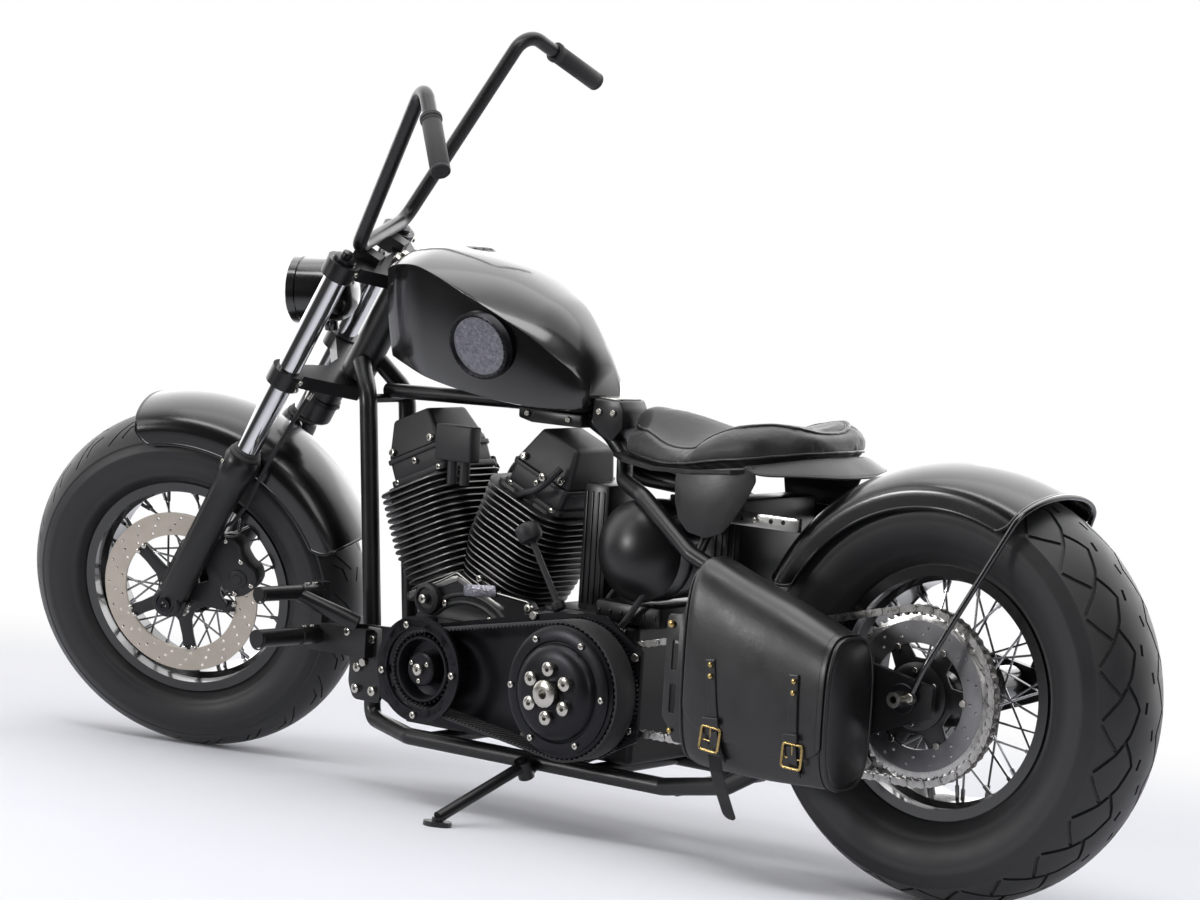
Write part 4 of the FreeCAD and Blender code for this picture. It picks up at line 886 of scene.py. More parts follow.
@dataclass
class Wheel:
    """A laced hub: flanges, crossed spokes with nipples."""

    end: str
    body: str
    half: float
    flange_y: float
    count: int = 40
    tip_r: float = 175.0

    def spokes(self) -> bpy.types.Object:
        """Lace the wheel with bent-headed spokes and square-footed nipples."""
        parts = []
        for n in range(self.count):
            side = 1 if n % 2 else -1
            lead = (1 if (n // 2) % 2 else -1) * math.radians(58)
            tip = math.tau * n / self.count
            start = Vector((48 * math.cos(tip + lead), side * (self.flange_y + 4), 48 * math.sin(tip + lead)))
            end = Vector((self.tip_r * math.cos(tip), side * 14.0, self.tip_r * math.sin(tip)))
            near = end.lerp(start, 0.12)
            head = start - Y_AXIS * side * 9
            parts += [rod(start, end, 2.0, 8), rod(near, end, 3.6, 8), rod(head, start + Y_AXIS * side, 3.4, 8)]
        return joined("spokes", parts)

    def build(self, bench: Bench, place: Matrix) -> None:
        """Make the hub and the spokes and fit both."""
        f, h = self.flange_y, self.half
        half = [(24, 0), (26, f - 16), (34, f - 9), (52, f - 4), (56, f - 1), (56, f + 3), (52, f + 5),
                (36, f + 8), (30, f + 14), (30, h - 8), (26, h - 2), (12.6, h)]
        profile = [(r, -y) for r, y in reversed(half[1:])] + half
        hub = lathe("hub", profile + [profile[0]], 64)
        bench.fit(hub, self.end + "_hub_shell", place, self.body, [ENAMEL], [self.end + "_hub"], 30)
        bench.fit(self.spokes(), self.end + "_spokes", place, self.body, [SPOKE_WIRE], (), 30)
        bead = lathe("nut_ring", ring_profile(14, 24, h - 1, h + 1.5, 0.5), 32)
        bench.fit(bead, self.end + "_hub_seal", place, self.body, [ZINC], (), 30)


def drilled_ring(name: str, inner: float, outer: float, y0: float, y1: float,
                 holes: Sequence[tuple[float, float, float]], steps: int = 96) -> bpy.types.Object:
    """Return a flat ring with holes through it.

    Args:
        name: the piece's name.
        inner: inner radius.
        outer: outer radius.
        y0: near face.
        y1: far face.
        holes: (radius of its circle, angle in degrees, hole radius) of each.
        steps: steps round.
    """
    ring = lathe(name, ring_profile(inner, outer, y0, y1, 0.5), steps)
    drills = []
    for reach, angle, radius in holes:
        x, z = reach * math.cos(math.radians(angle)), reach * math.sin(math.radians(angle))
        drills.append(rod((x, y0 - 3, z), (x, y1 + 3, z), radius, 12))
    return cut_by(ring, joined("drills", drills))


@dataclass
class FrontBrake:
    """The floating front disc on its five-armed carrier."""

    y: float = 88.0
    outer: float = 152.0
    inner: float = 110.0

    def carrier(self) -> bpy.types.Object:
        """Cut the star that holds the disc."""
        outline = []
        for n in range(5):
            for turn, reach in ((-30, 44), (-13, 56), (-7.5, 84), (-6.5, 112), (6.5, 112), (7.5, 84), (13, 56),
                                (30, 44)):
                a = math.radians(72 * n + 90 + turn)
                outline.append((reach * math.cos(a), reach * math.sin(a)))
        star = slab("star", outline, self.y - 3.5, self.y + 3.5, 0, 1.0)
        boss = lathe("boss", [(26, self.y - 8), (40, self.y - 8), (44, self.y - 3.5), (44, self.y + 4),
                              (38, self.y + 7), (26, self.y + 7), (26, self.y - 8)], 48)
        return joined("carrier", [star, boss])

    def build(self, bench: Bench, place: Matrix) -> None:
        """Make the ring, the star and the bobbins and fit them to the wheel."""
        holes = []
        for n in range(20):
            for k, reach in enumerate((119.0, 131.0, 143.0)):
                holes.append((reach, n * 18 + k * 5.0, 3.0))
        ring = drilled_ring("disc", self.inner, self.outer, self.y - 2.5, self.y + 2.5, holes)
        bench.fit(ring, "front_disc_ring", place, "front_wheel", [DISC], ["front_disc"], 30)
        bench.fit(self.carrier(), "front_disc_carrier", place, "front_wheel", [POWDER])
        bobbins = []
        for n in range(5):
            for side in (-1, 1):
                a = math.radians(72 * n + 90 + side * 4.2)
                at = Vector((108 * math.cos(a), self.y + 3.4, 108 * math.sin(a)))
                bobbins.append((at, (0, 1, 0), 4.6))
        hub_bolts = [((35 * math.cos(math.radians(72 * n)), self.y + 7, 35 * math.sin(math.radians(72 * n))),
                      (0, 1, 0), 5.0) for n in range(5)]
        bench.fit(bolts("bobbins", bobbins + hub_bolts, Head.DOME), "front_disc_bobbins", place, "front_wheel",
                  [ZINC])


@dataclass
class RearDrive:
    """The rear sprocket with its drilled brake ring, and the chain."""

    y: float = 122.0
    pitch_r: float = 138.0
    front_r: float = 60.0
    front_at: Point = (650.0, 262.0)
    teeth: int = 54

    def sprocket(self) -> bpy.types.Object:
        """Cut the toothed ring."""
        outline = []
        for n in range(self.teeth):
            for turn, reach in ((-0.5, 127.5), (-0.28, 128.5), (-0.12, 133.0), (0.12, 133.0), (0.28, 128.5)):
                a = math.tau * (n + turn) / self.teeth
                outline.append((reach * math.cos(a), reach * math.sin(a)))
        disc = slab("teeth", outline, self.y - 3.2, self.y + 3.2, 0, 0.6)
        return cut_by(disc, rod((0, self.y - 9, 0), (0, self.y + 9, 0), 116, 96))

    def carrier(self) -> bpy.types.Object:
        """Cut the lobed black carrier inside the brake ring."""
        outline = []
        for n in range(6):
            for turn, reach in ((-30, 60), (-19, 62), (-12, 84), (0, 92), (12, 84), (19, 62)):
                a = math.radians(60 * n + turn)
                outline.append((reach * math.cos(a), reach * math.sin(a)))
        star = slab("lobes", outline, self.y - 4.5, self.y + 2.0, 0, 1.2)
        boss = lathe("boss", [(26, self.y - 12), (50, self.y - 12), (54, self.y - 6), (54, self.y + 8),
                              (44, self.y + 14), (26, self.y + 14), (26, self.y - 12)], 48)
        return joined("carrier", [star, boss])

    def route(self) -> list[tuple[Vector, float]]:
        """Return the chain's joints as (place, direction) in order round the loop."""
        (x1, z1), (x2, z2) = self.front_at, (0.0, REAR_R)
        span = math.hypot(x1 - x2, z1 - z2)
        tilt = math.atan2(z1 - z2, x1 - x2)
        wrap = math.asin((self.pitch_r - self.front_r) / span)
        run = math.sqrt(span ** 2 - (self.pitch_r - self.front_r) ** 2)
        nose, tail = self.front_r * (math.pi - 2 * wrap), self.pitch_r * (math.pi + 2 * wrap)
        whole = 2 * run + nose + tail
        count = 2 * round(whole / 15.875 / 2)
        joints = []
        for n in range(count):
            s = whole * n / count
            if s < run:
                a = tilt + math.pi / 2 - wrap
                out = Vector((math.cos(a), math.sin(a)))
                at = Vector((x2, z2)) + out * self.pitch_r + Vector((out.y, -out.x)) * s
                joints.append((at, a - math.pi / 2))
            elif s < run + nose:
                a = tilt + math.pi / 2 - wrap - (s - run) / self.front_r
                joints.append((Vector((x1, z1)) + Vector((math.cos(a), math.sin(a))) * self.front_r, a - math.pi / 2))
            elif s < 2 * run + nose:
                a = tilt - math.pi / 2 + wrap
                out = Vector((math.cos(a), math.sin(a)))
                at = Vector((x1, z1)) + out * self.front_r + Vector((out.y, -out.x)) * (s - run - nose)
                joints.append((at, a - math.pi / 2))
            else:
                a = tilt - math.pi / 2 + wrap - (s - 2 * run - nose) / self.pitch_r
                joints.append((Vector((x2, z2)) + Vector((math.cos(a), math.sin(a))) * self.pitch_r,
                               a - math.pi / 2))
        return joints

    @staticmethod
    def side_bar(gap: float, y: float) -> bpy.types.Object:
        """Return one waisted link plate along X, from its first pin at the origin."""
        outline = []
        for centre, start in ((gap, -90), (0, 90)):
            for n in range(5):
                a = math.radians(start + 180 * n / 4)
                outline.append((centre + 6.2 * math.cos(a), 6.2 * math.sin(a)))
        outline.insert(5, (gap / 2, 4.6))
        outline.append((gap / 2, -4.6))
        return slab("bar", outline, y - 0.9, y + 0.9)

    def chain(self) -> bpy.types.Object:
        """Lay inner and outer links round the loop by turns."""
        joints = self.route()
        gap = (joints[1][0] - joints[0][0]).length
        inner = joined("inner", [self.side_bar(gap, -6.3), self.side_bar(gap, 6.3), rod((0, -5.4, 0), (0, 5.4, 0), 5, 8),
                                 rod((gap, -5.4, 0), (gap, 5.4, 0), 5, 8)])
        outer = joined("outer", [self.side_bar(gap, -8.4), self.side_bar(gap, 8.4), rod((0, -10, 0), (0, 10, 0), 2.7, 8),
                                 rod((gap, -10, 0), (gap, 10, 0), 2.7, 8)])
        made = []
        for n, (at, _) in enumerate(joints):
            after = joints[(n + 1) % len(joints)][0]
            angle = math.atan2(after.y - at.y, after.x - at.x)
            place = Matrix.Translation((at.x, self.y, at.y)) @ Matrix.Rotation(-angle, 4, "Y")
            made.append(copied(outer if n % 2 else inner, place))
        removed(inner, outer)
        return joined("chain", made)

    def build(self, bench: Bench, axle: Matrix) -> None:
        """Make the sprocket, the brake ring, the carrier and the chain."""
        wheel = "rear_wheel"
        bench.fit(self.sprocket(), "sprocket_teeth", axle, wheel, [CHAIN], ["rear_sprocket"], 30)
        holes = []
        for n in range(16):
            holes += [(97.0, n * 22.5, 2.6), (109.0, n * 22.5 + 6, 2.6)]
        ring = drilled_ring("ring", 84, 119, self.y - 2.5, self.y + 3.8, holes)
        bench.fit(ring, "rear_brake_ring", axle, wheel, [SPROCKET], (), 30)
        bench.fit(self.carrier(), "rear_sprocket_carrier", axle, wheel, [POWDER])
        seats = [((84 * math.cos(math.radians(60 * n)), self.y + 2, 84 * math.sin(math.radians(60 * n))),
                  (0, 1, 0), 6.5) for n in range(6)]
        inner = [((42 * math.cos(math.radians(60 * n + 30)), self.y + 14, 42 * math.sin(math.radians(60 * n + 30))),
                  (0, 1, 0), 5.5) for n in range(6)]
        bench.fit(bolts("bolts", seats + inner, Head.HEX), "rear_sprocket_bolts", axle, wheel, [ZINC])
        bench.fit(self.chain(), "chain_links", bench.rig.bike, "chassis", [CHAIN],
                  ["drive_chain_upper", "drive_chain_lower"], 30)


def build_wheels(bench: Bench) -> None:
    """Build both wheels with their tyres, brakes and drive."""
    rig = bench.rig
    rear = rig.bike @ Matrix.Translation((0, 0, REAR_R))
    front = rig.fork
    lightning = ((28, 53), (54, 37), (70, 29), (108, 44), (140, 66), (174, 98))
    branch = ((2, 99), (22, 87), (46, 67))
    dash = ((60, 10), (78, 13))
    Tyre("rear_tyre", "rear_wheel", 342.0, 208.0, 150.0, 64.0, 24, (lightning, branch, dash), 6.4).build(
        bench, rear)
    slash = ((0, 76), (26, 54), (58, 30))
    hook = ((34, 70), (52, 50), (78, 44))
    centre = ((60, 10), (84, 20))
    Tyre("front_tyre", "front_wheel", 324.0, 174.0, 100.0, 58.0, 22, (slash, hook, centre), 3.5, 4.0).build(
        bench, front)
    Wheel("rear", "rear_wheel", 150.0, 44.0).build(bench, rear)
    Wheel("front", "front_wheel", 105.0, 38.0).build(bench, front)
    FrontBrake().build(bench, front)
    RearDrive().build(bench, rear)


# ---- engine ----------------------------------------------------------------
def rounded_box(half_x: float, half_z: float, corner: float, steps: int = 6) -> list[tuple[float, float]]:
    """Return the outline of a rectangle with round corners."""
    outline = []
    for sx, sz, start in ((1, 1, 0), (-1, 1, 90), (-1, -1, 180), (1, -1, 270)):
        for n in range(steps + 1):
            a = math.radians(start + 90 * n / steps)
            outline.append((sx * (half_x - corner) + corner * math.cos(a),
                            sz * (half_z - corner) + corner * math.sin(a)))
    return outline


def deck(name: str, outline: Sequence[Point], low: float, high: float, ease: float = 0.0) -> bpy.types.Object:
    """Extrude an outline of (x, y) corners upwards."""
    obj = slab(name, [(x, y) for x, y in outline], -high, -low, 0, ease)
    obj.data.transform(Matrix.Rotation(math.radians(-90), 4, "X"))
    return obj


@dataclass
class CylinderUnit:
    """One finned cylinder with its head and rocker box."""

    end: str
    sign: int
    apex: Point = (985.0, 256.0)
    half_deg: float = 22.5
    first: float = 148.0
    pitch: float = 11.5
    count: int = 16

    def axes(self) -> Matrix:
        """Return the cylinder's own axes: Z along it, X across, Y to the left."""
        return Matrix.Translation((self.apex[0], 0, self.apex[1])) @ Matrix.Rotation(
            math.radians(self.half_deg) * self.sign, 4, "Y")

    def halved(self, obj: bpy.types.Object) -> bpy.types.Object:
        """Cut a piece off where the other cylinder's fins begin."""
        with editing(obj) as _:
            bpy.ops.mesh.select_all(action="SELECT")
            bpy.ops.mesh.bisect(plane_co=(self.apex[0], 0, 0), plane_no=(self.sign, 0, 0), use_fill=True,
                                clear_inner=True)
        return obj

    def fins(self) -> bpy.types.Object:
        """Stack the fins round the barrel."""
        parts = []
        barrel = rod((0, 0, self.first - 8), (0, 0, 330), 74, 48)
        parts.append(barrel)
        for n in range(self.count):
            low = self.first + n * self.pitch
            half = 91.0 - max(0, 6 - n) * 1.5
            parts.append(deck("fin", rounded_box(half, half, 52, 7), low, low + 2.8, 0.7))
        for side in (-1, 1):
            for n in range(3):
                parts.append(rod((side * 40, (n - 1) * 44, self.first), (side * 40, (n - 1) * 44, 322), 9, 10))
        return joined("fins", parts)

    def rocker(self) -> bpy.types.Object:
        """Model the rocker box: a flange, a waist and a chamfered lid."""
        offset = -14
        flange = deck("flange", [(x + offset, y) for x, y in rounded_box(68, 71, 12)], 330, 341, 1.5)
        waist = deck("waist", [(x + offset, y) for x, y in rounded_box(63, 66, 10)], 340, 372, 1.0)
        seam = deck("seam", [(x + offset, y) for x, y in rounded_box(67, 69, 12)], 371, 379, 1.2)
        lid = deck("lid", [(x + offset, y) for x, y in rounded_box(65, 67, 12)], 378.5, 446)
        with editing(lid, "VERT") as mesh:
            for vert in mesh.verts:
                vert.select_set(vert.co.z > 440)
            mesh.select_flush_mode()
            bmesh.update_edit_mesh(lid.data)
            bpy.ops.transform.resize(value=(0.66, 0.78, 1), center_override=(offset, 0, 446))
        eased(lid, 6, 3, 30)
        return joined("rocker", [flange, waist, seam, lid])

    def build(self, bench: Bench) -> None:
        """Make and fit the cylinder's pieces."""
        place, bike = self.axes(), bench.rig.bike
        fins = self.fins()
        fins.data.transform(place)
        self.halved(fins)
        back = place.inverted()
        way = back.to_3x3()
        fins.data.materials.append(None)
        fins.data.materials.append(None)
        face_slots(fins, 1, lambda centre, normal: abs((way @ normal).z) < 0.8
                   and max(abs((back @ centre).x), abs((back @ centre).y)) > 62
                   and (back @ centre).xy.length > 78)
        bench.fit(fins, "cylinder_fins_" + self.end, bike, "chassis", [CAST_BLACK, FIN_CUT],
                  ["cylinder_" + self.end], 30)
        flange = deck("flange", rounded_box(86, 86, 40, 6), self.first - 16, self.first - 4, 1.2)
        flange.data.transform(place)
        bench.fit(self.halved(flange), "cylinder_base_" + self.end, bike, "chassis", [FIN_CUT])
        head = deck("head", rounded_box(70, 70, 18, 4), 296, 331, 2.0)
        port = rod((self.sign * 34, -60, 300), (self.sign * 34, -97.5, 300), 25, 32)
        for piece in (head, port):
            piece.data.transform(place)
        bench.fit(joined("head", [head, port]), "cylinder_head_" + self.end, bike, "chassis",
                  [CAST_BLACK])
        rocker = self.rocker()
        rocker.data.transform(place)
        bench.fit(rocker, "rocker_cover_" + self.end, bike, "chassis", [WRINKLE],
                  ["rocker_box_" + self.end], 32)
        seats = []
        for dx in (-1, 1):
            for side in (-1, 1):
                seats.append(((dx * 50 - 14, side * 68, 336), (0, side, 0), 5.0))
                seats.append(((dx * 46 - 14, side * 66.5, 390), (0, side, 0.15), 6.5))
        for side in (-1, 1):
            seats.append(((-14, side * 67, 362), (0, side, 0), 5.5))
        made = bolts("rocker_bolts", seats, Head.SOCKET)
        made.data.transform(place)
        bench.fit(made, "rocker_bolts_" + self.end, bike, "chassis", [ZINC])


@dataclass
class EngineCases:
    """What bolts to the engine's sides: covers, the blank plate, the knob and small pipes."""

    y: float = 75.0

    def gusset(self) -> bpy.types.Object:
        """Model the cover under the V on the left with its raised rim."""
        outline = ((1050, 330), (1064, 352), (1044, 388), (1024, 396), (985, 416), (944, 396), (822, 384), (792, 350),
                   (800, 330))
        plate = slab("gusset", outline, self.y - 6, self.y + 12, 5, 2.0)
        with editing(plate) as mesh:
            pick_faces(plate, mesh, lambda centre, normal: normal.y > 0.95)
            bpy.ops.mesh.inset(thickness=5.5)
            bpy.ops.transform.translate(value=(0, -3, 0))
        plate.data.materials.append(None)
        plate.data.materials.append(None)
        face_slots(plate, 1, lambda centre, normal: normal.y > 0.9 and centre.y > self.y + 11 and centre.z > 374)
        return plate

    def arches(self) -> bpy.types.Object:
        """Model the raised arch that follows the primary's front pulley."""
        parts = []
        for reach in (108.0, 122.0):
            points = []
            for n in range(9):
                a = math.radians(40 + 100 * n / 8)
                points.append((958 + reach * math.cos(a), self.y + 8, 257 + reach * math.sin(a)))
            parts.append(pipe("arch", points, 5.0, 3))
        return joined("arches", parts)

    def knob(self) -> bpy.types.Object:
        """Turn the mushroom knob on its slanting stem."""
        foot, top = Vector((727, 118, 384)), Vector((793, 118, 488))
        way = (top - foot).normalized()
        stem = rod(foot, top, 5.5, 16)
        profile = [(0, 0), (6, 0), (9, 3), (18, 7), (22, 14), (22, 30), (19, 35), (12, 38), (0, 38)]
        head = lathe("knob", profile, 40, top, way)
        collar = lathe("collar", [(0, 0), (11, 0), (12, 2), (12, 12), (9, 15), (0, 15)], 32, foot, way)
        return joined("knob", [stem, head, collar])

    def pushrods(self) -> bpy.types.Object:
        """Set the four pushrod covers on the right side."""
        parts = []
        for foot, top in (((1022, 372), (1106, 588)), ((1000, 376), (1066, 602)), ((968, 376), (904, 602)),
                          ((946, 372), (862, 588))):
            a, b = Vector((foot[0], -84, foot[1])), Vector((top[0], -84, top[1]))
            way = (b - a).normalized()
            parts.append(rod(a, b, 8.5, 20))
            profile = [(0, 0), (13, 0), (14, 2), (14, 20), (11, 24), (8.5, 24)]
            parts.append(lathe("collar", profile + [(0, 24)], 24, a, way))
            parts.append(lathe("collar", profile + [(0, 24)], 24, b, -way))
        return joined("pushrods", parts)

    def cam_cover(self) -> bpy.types.Object:
        """Model the cam and timing covers on the right side."""
        outline = [(1080, 200), (1096, 250), (1082, 320), (1040, 366), (960, 380), (880, 366), (846, 310), (840, 240),
                   (880, 190), (960, 168), (1040, 176)]
        cover = slab("cam", outline, -96, -70, 18, 3)
        dial = lathe("dial", [(0, -112), (40, -112), (44, -109), (46, -104), (46, -94), (0, -94)], 48,
                     (1016, 0, 262), (0, 1, 0))
        filter_can = rod((1120, -40, 168), (1184, -40, 168), 36, 32)
        return joined("cam", [cover, dial, eased(filter_can, 4, 3)])

    def gear_covers(self) -> bpy.types.Object:
        """Model the gearbox's side covers and its filler."""
        right = slab("end_cover", rounded_box(104, 92, 24), -104, -84, 0, 4)
        right.data.transform(Matrix.Translation((700, 0, 262)))
        left = slab("door", rounded_box(92, 60, 18), 84, 96, 0, 3)
        left.data.transform(Matrix.Translation((700, 0, 316)))
        lid = deck("lid", rounded_box(96, 70, 16), 368, 380, 3)
        lid.data.transform(Matrix.Translation((712, 0, 0)))
        return joined("gear_covers", [right, left, lid])

    def build(self, bench: Bench) -> None:
        """Make and fit the side pieces."""
        bike = bench.rig.bike
        bench.fit(self.gusset(), "case_cover_left", bike, "chassis", [WRINKLE, MACHINED])
        bench.fit(self.arches(), "case_arches", bike, "chassis", [WRINKLE])
        bench.fit(self.knob(), "shift_knob", bike, "chassis", [WRINKLE])
        bench.fit(self.pushrods(), "pushrod_covers", bike, "chassis", [CHROME])
        bench.fit(self.cam_cover(), "cam_cover", bike, "chassis", [WRINKLE])
        bench.fit(self.gear_covers(), "gearbox_covers", bike, "chassis", [WRINKLE])
        badge = slab("badge", rounded_box(37, 10.5, 7), self.y + 9, self.y + 14, 0, 1.2)
        badge.data.transform(Matrix.Translation((930, 0, 389)) @ Matrix.Rotation(math.radians(5), 4, "Y"))
        bench.fit(badge, "blank_plate", bike, "chassis", [PLATE])
        boss = lathe("boss", [(0, 84), (24, 84), (27, 87), (27, 98), (20, 101), (18, 96), (8, 96), (8, 102), (0, 102)],
                     40, (1043, 0, 362), (0, 1, 0))
        block_box = block((962, 68, 606), (1044, 96, 668), 4, 3)
        for_tubes = [rod((x, 82, 566), (x, 82, 610), 9, 20) for x in (984, 1012)]
        small = pipe("breather", ((866, 76, 560), (842, 92, 570), (816, 96, 574), (794, 92, 590), (778, 74, 616)), 6, 4)
        bench.fit(joined("side_fittings", [boss, block_box, small] + for_tubes), "engine_side_fittings", bike,
                  "chassis", [WRINKLE])
        seats = [((1043, 102, 362), (0, 1, 0), 8.0), ((1006, 87, 358), (0, 1, 0), 6.0), ((902, 87, 340), (0, 1, 0), 6.5),
                 ((818, 87, 372), (0, 1, 0), 8.0), ((931, 87, 410), (0, 1, 0), 6.0), ((800, 92, 600), (0, 1, 0), 7.0)]
        seats += [((x, -96, z), (0, -1, 0), 5.5) for x, z in ((1076, 210), (1080, 310), (960, 370), (856, 300),
                                                             (860, 216), (960, 180))]
        seats += [((700 + dx, -104, 262 + dz), (0, -1, 0), 6.0) for dx in (-88, 88) for dz in (-74, 74)]
        seats += [((700 + dx, 96, 316 + dz), (0, 1, 0), 5.5) for dx in (-80, 80) for dz in (-48, 48)]
        bench.fit(bolts("case_bolts", seats, Head.SOCKET), "case_bolts", bike, "chassis", [ZINC])


@dataclass
class Primary:
    """The open primary: ribbed front drum in its ring, toothed belt and drilled clutch."""

    front_at: Point = (958.0, 257.0)
    clutch_at: Point = (650.0, 262.0)
    front_r: float = 62.0
    clutch_r: float = 112.0
    y0: float = 147.0
    y1: float = 209.0

    def belt(self) -> bpy.types.Object:
        """Lay the belt and set its teeth inside."""
        (x1, z1), (x2, z2) = self.front_at, self.clutch_at
        span, tilt = math.hypot(x1 - x2, z1 - z2), math.atan2(z1 - z2, x1 - x2)
        wrap = math.asin((self.clutch_r - self.front_r) / span)
        up, down = tilt + math.pi / 2 - wrap, tilt - math.pi / 2 + wrap

        def loop(extra: float) -> list[tuple[float, float]]:
            """Return the belt's line at a distance outside the pulleys."""
            points = []
            for n in range(25):
                a = up + (down - up) * n / 24
                points.append((x1 + (self.front_r + extra) * math.cos(a), z1 + (self.front_r + extra) * math.sin(a)))
            for n in range(37):
                a = down - (math.tau - (up - down)) * n / 36
                points.append((x2 + (self.clutch_r + extra) * math.cos(a), z2 + (self.clutch_r + extra) * math.sin(a)))
            return points

        band = slab("band", loop(6.3), self.y0 + 3, self.y1 - 9, 0, 0.8)
        cut_by(band, slab("inside", loop(2.6), self.y0, self.y1, 0))
        teeth = []
        path = loop(1.6)
        for n, (x, z) in enumerate(path):
            nx, nz = path[(n + 1) % len(path)]
            length = math.hypot(nx - x, nz - z)
            for k in range(max(1, round(length / 8.0))):
                t = k / max(1, round(length / 8.0))
                tooth = block((-2.2, self.y0 + 3.2, -1.4), (2.2, self.y1 - 9.2, 1.2))
                turn = Matrix.Rotation(-math.atan2(nz - z, nx - x), 4, "Y")
                tooth.data.transform(Matrix.Translation((x + (nx - x) * t, 0, z + (nz - z) * t)) @ turn)
                teeth.append(tooth)
        return joined("belt", [band] + teeth)

    def drum(self) -> bpy.types.Object:
        """Turn the front pulley, ribbed along its face, with its hub and nut."""
        x, z = self.front_at
        core = lathe("core", [(0, self.y0 - 2), (58, self.y0 - 2), (58, self.y1 - 12), (56, self.y1 - 10),
                              (52, self.y1 - 10), (50, self.y1 - 14), (47, self.y1 - 36), (30, self.y1 - 38),
                              (29, self.y1 - 9), (26, self.y1 - 6), (0, self.y1 - 6)], 64, (x, 0, z))
        ribs = []
        for n in range(36):
            a = math.tau * n / 36
            rib = block((57, self.y0 + 1, -1.7), (61.6, self.y1 - 13, 1.7), 0.5, 1)
            rib.data.transform(Matrix.Translation((x, 0, z)) @ Matrix.Rotation(a, 4, "Y"))
            ribs.append(rib)
        return joined("drum", [core] + ribs)

    def ring_plate(self) -> bpy.types.Object:
        """Cut the motor plate's outer ring that holds the front bearing."""
        x, z = self.front_at
        outline = []
        for n in range(32):
            a = math.tau * n / 32
            reach = 86 + (6 if abs(math.sin(1.5 * a)) > 0.93 else 0)
            outline.append((x + reach * math.cos(a), z + reach * math.sin(a)))
        plate = slab("ring", outline, self.y1 - 8, self.y1, 0, 1.2)
        return cut_by(plate, rod((x, self.y1 - 30, z), (x, self.y1 + 30, z), 71, 64))

    def clutch(self) -> bpy.types.Object:
        """Turn the clutch drum with its stepped cover and outer toothed ring."""
        x, z = self.clutch_at
        c = self.clutch_r
        drum = lathe("drum", [(0, self.y0 - 2), (c + 3, self.y0 - 2), (c + 3, self.y0 + 2), (c - 1, self.y0 + 3),
                              (c - 1, self.y1 - 8), (c - 6, self.y1 - 5), (c - 6, self.y1), (c - 12, self.y1 + 3),
                              (86, self.y1 + 3), (84, self.y1 + 1), (82, self.y1 + 2), (80, self.y1 + 9),
                              (75, self.y1 + 15), (68, self.y1 + 18.6), (58, self.y1 + 20.6), (40, self.y1 + 21.8),
                              (27, self.y1 + 22), (26, self.y1 + 20), (0, self.y1 + 20)], 96, (x, 0, z))
        teeth = []
        for n in range(96):
            tooth = block((c + 2, self.y0 - 2, -2.2), (c + 9, self.y0 + 4, 2.2))
            tooth.data.transform(Matrix.Translation((x, 0, z)) @ Matrix.Rotation(math.tau * n / 96, 4, "Y"))
            teeth.append(tooth)
        return joined("clutch", [drum] + teeth)

    def build(self, bench: Bench) -> None:
        """Make and fit the primary drive."""
        bike = bench.rig.bike
        (x1, z1), (x2, z2) = self.front_at, self.clutch_at
        clutch_axes = bike @ Matrix.Translation((x2, 0, z2))
        bench.fit(self.belt(), "primary_belt_toothed", bike, "chassis", [RUBBER], ["primary_belt"], 30)
        bench.fit(self.drum(), "front_drum", bike, "chassis", [ANODISED], ["front_pulley"], 30,
                  bike @ Matrix.Translation((x1, 0, z1)))
        bench.fit(self.ring_plate(), "front_bearing_ring", bike, "chassis", [ANODISED])
        bench.fit(self.clutch(), "clutch_cover", bike, "chassis", [ANODISED], ["clutch_drum"], 30,
                  clutch_axes)
        seats = []
        for n in range(6):
            a = math.radians(60 * n + 30)
            seats.append(((x2 + 41 * math.cos(a), self.y1 + 21.0, z2 + 41 * math.sin(a)), (0, 1, 0), 12.0))
        seats.append(((x2, self.y1 + 19.6, z2), (0, 1, 0), 23.0))
        bench.fit(bolts("clutch_bolts", seats), "clutch_bolts", bike, "chassis", [ZINC])
        screws = [((x2 + 96 * math.cos(math.radians(60 * n)), self.y1 + 3, z2 + 96 * math.sin(math.radians(60 * n))),
                   (0, 1, 0), 5.5) for n in range(6)]
        screws += [((x1 + 79 * math.cos(a), self.y1, z1 + 79 * math.sin(a)), (0, 1, 0), 6.0)
                   for a in (math.radians(70), math.radians(-8), math.radians(-88), math.radians(180))]
        screws.append(((x1, self.y1 - 6, z1), (0, 1, 0), 10.0))
        screws += [((x1 + 20 * math.cos(a), self.y1 - 6.4, z1 + 20 * math.sin(a)), (0, 1, 0), 4.0)
                   for a in (0.5, 2.6, 4.7)]
        bench.fit(bolts("screws", screws, Head.SOCKET), "primary_screws", bike, "chassis", [ZINC])
        plate = [((x, 144, z), (0, 1, 0), 8.5) for x, z in ((1120, 283), (1138, 240), (1070, 205), (540, 330),
                                                           (545, 208), (760, 372), (765, 166))]
        bench.fit(bolts("plate_bolts", plate, Head.HEX), "plate_bolts", bike, "chassis", [ZINC])


def build_engine(bench: Bench) -> None:
    """Build the cylinders, the cases and the primary drive."""
    for end, sign in (("front", 1), ("rear", -1)):
        CylinderUnit(end, sign).build(bench)
    EngineCases().build(bench)
    Primary().build(bench)
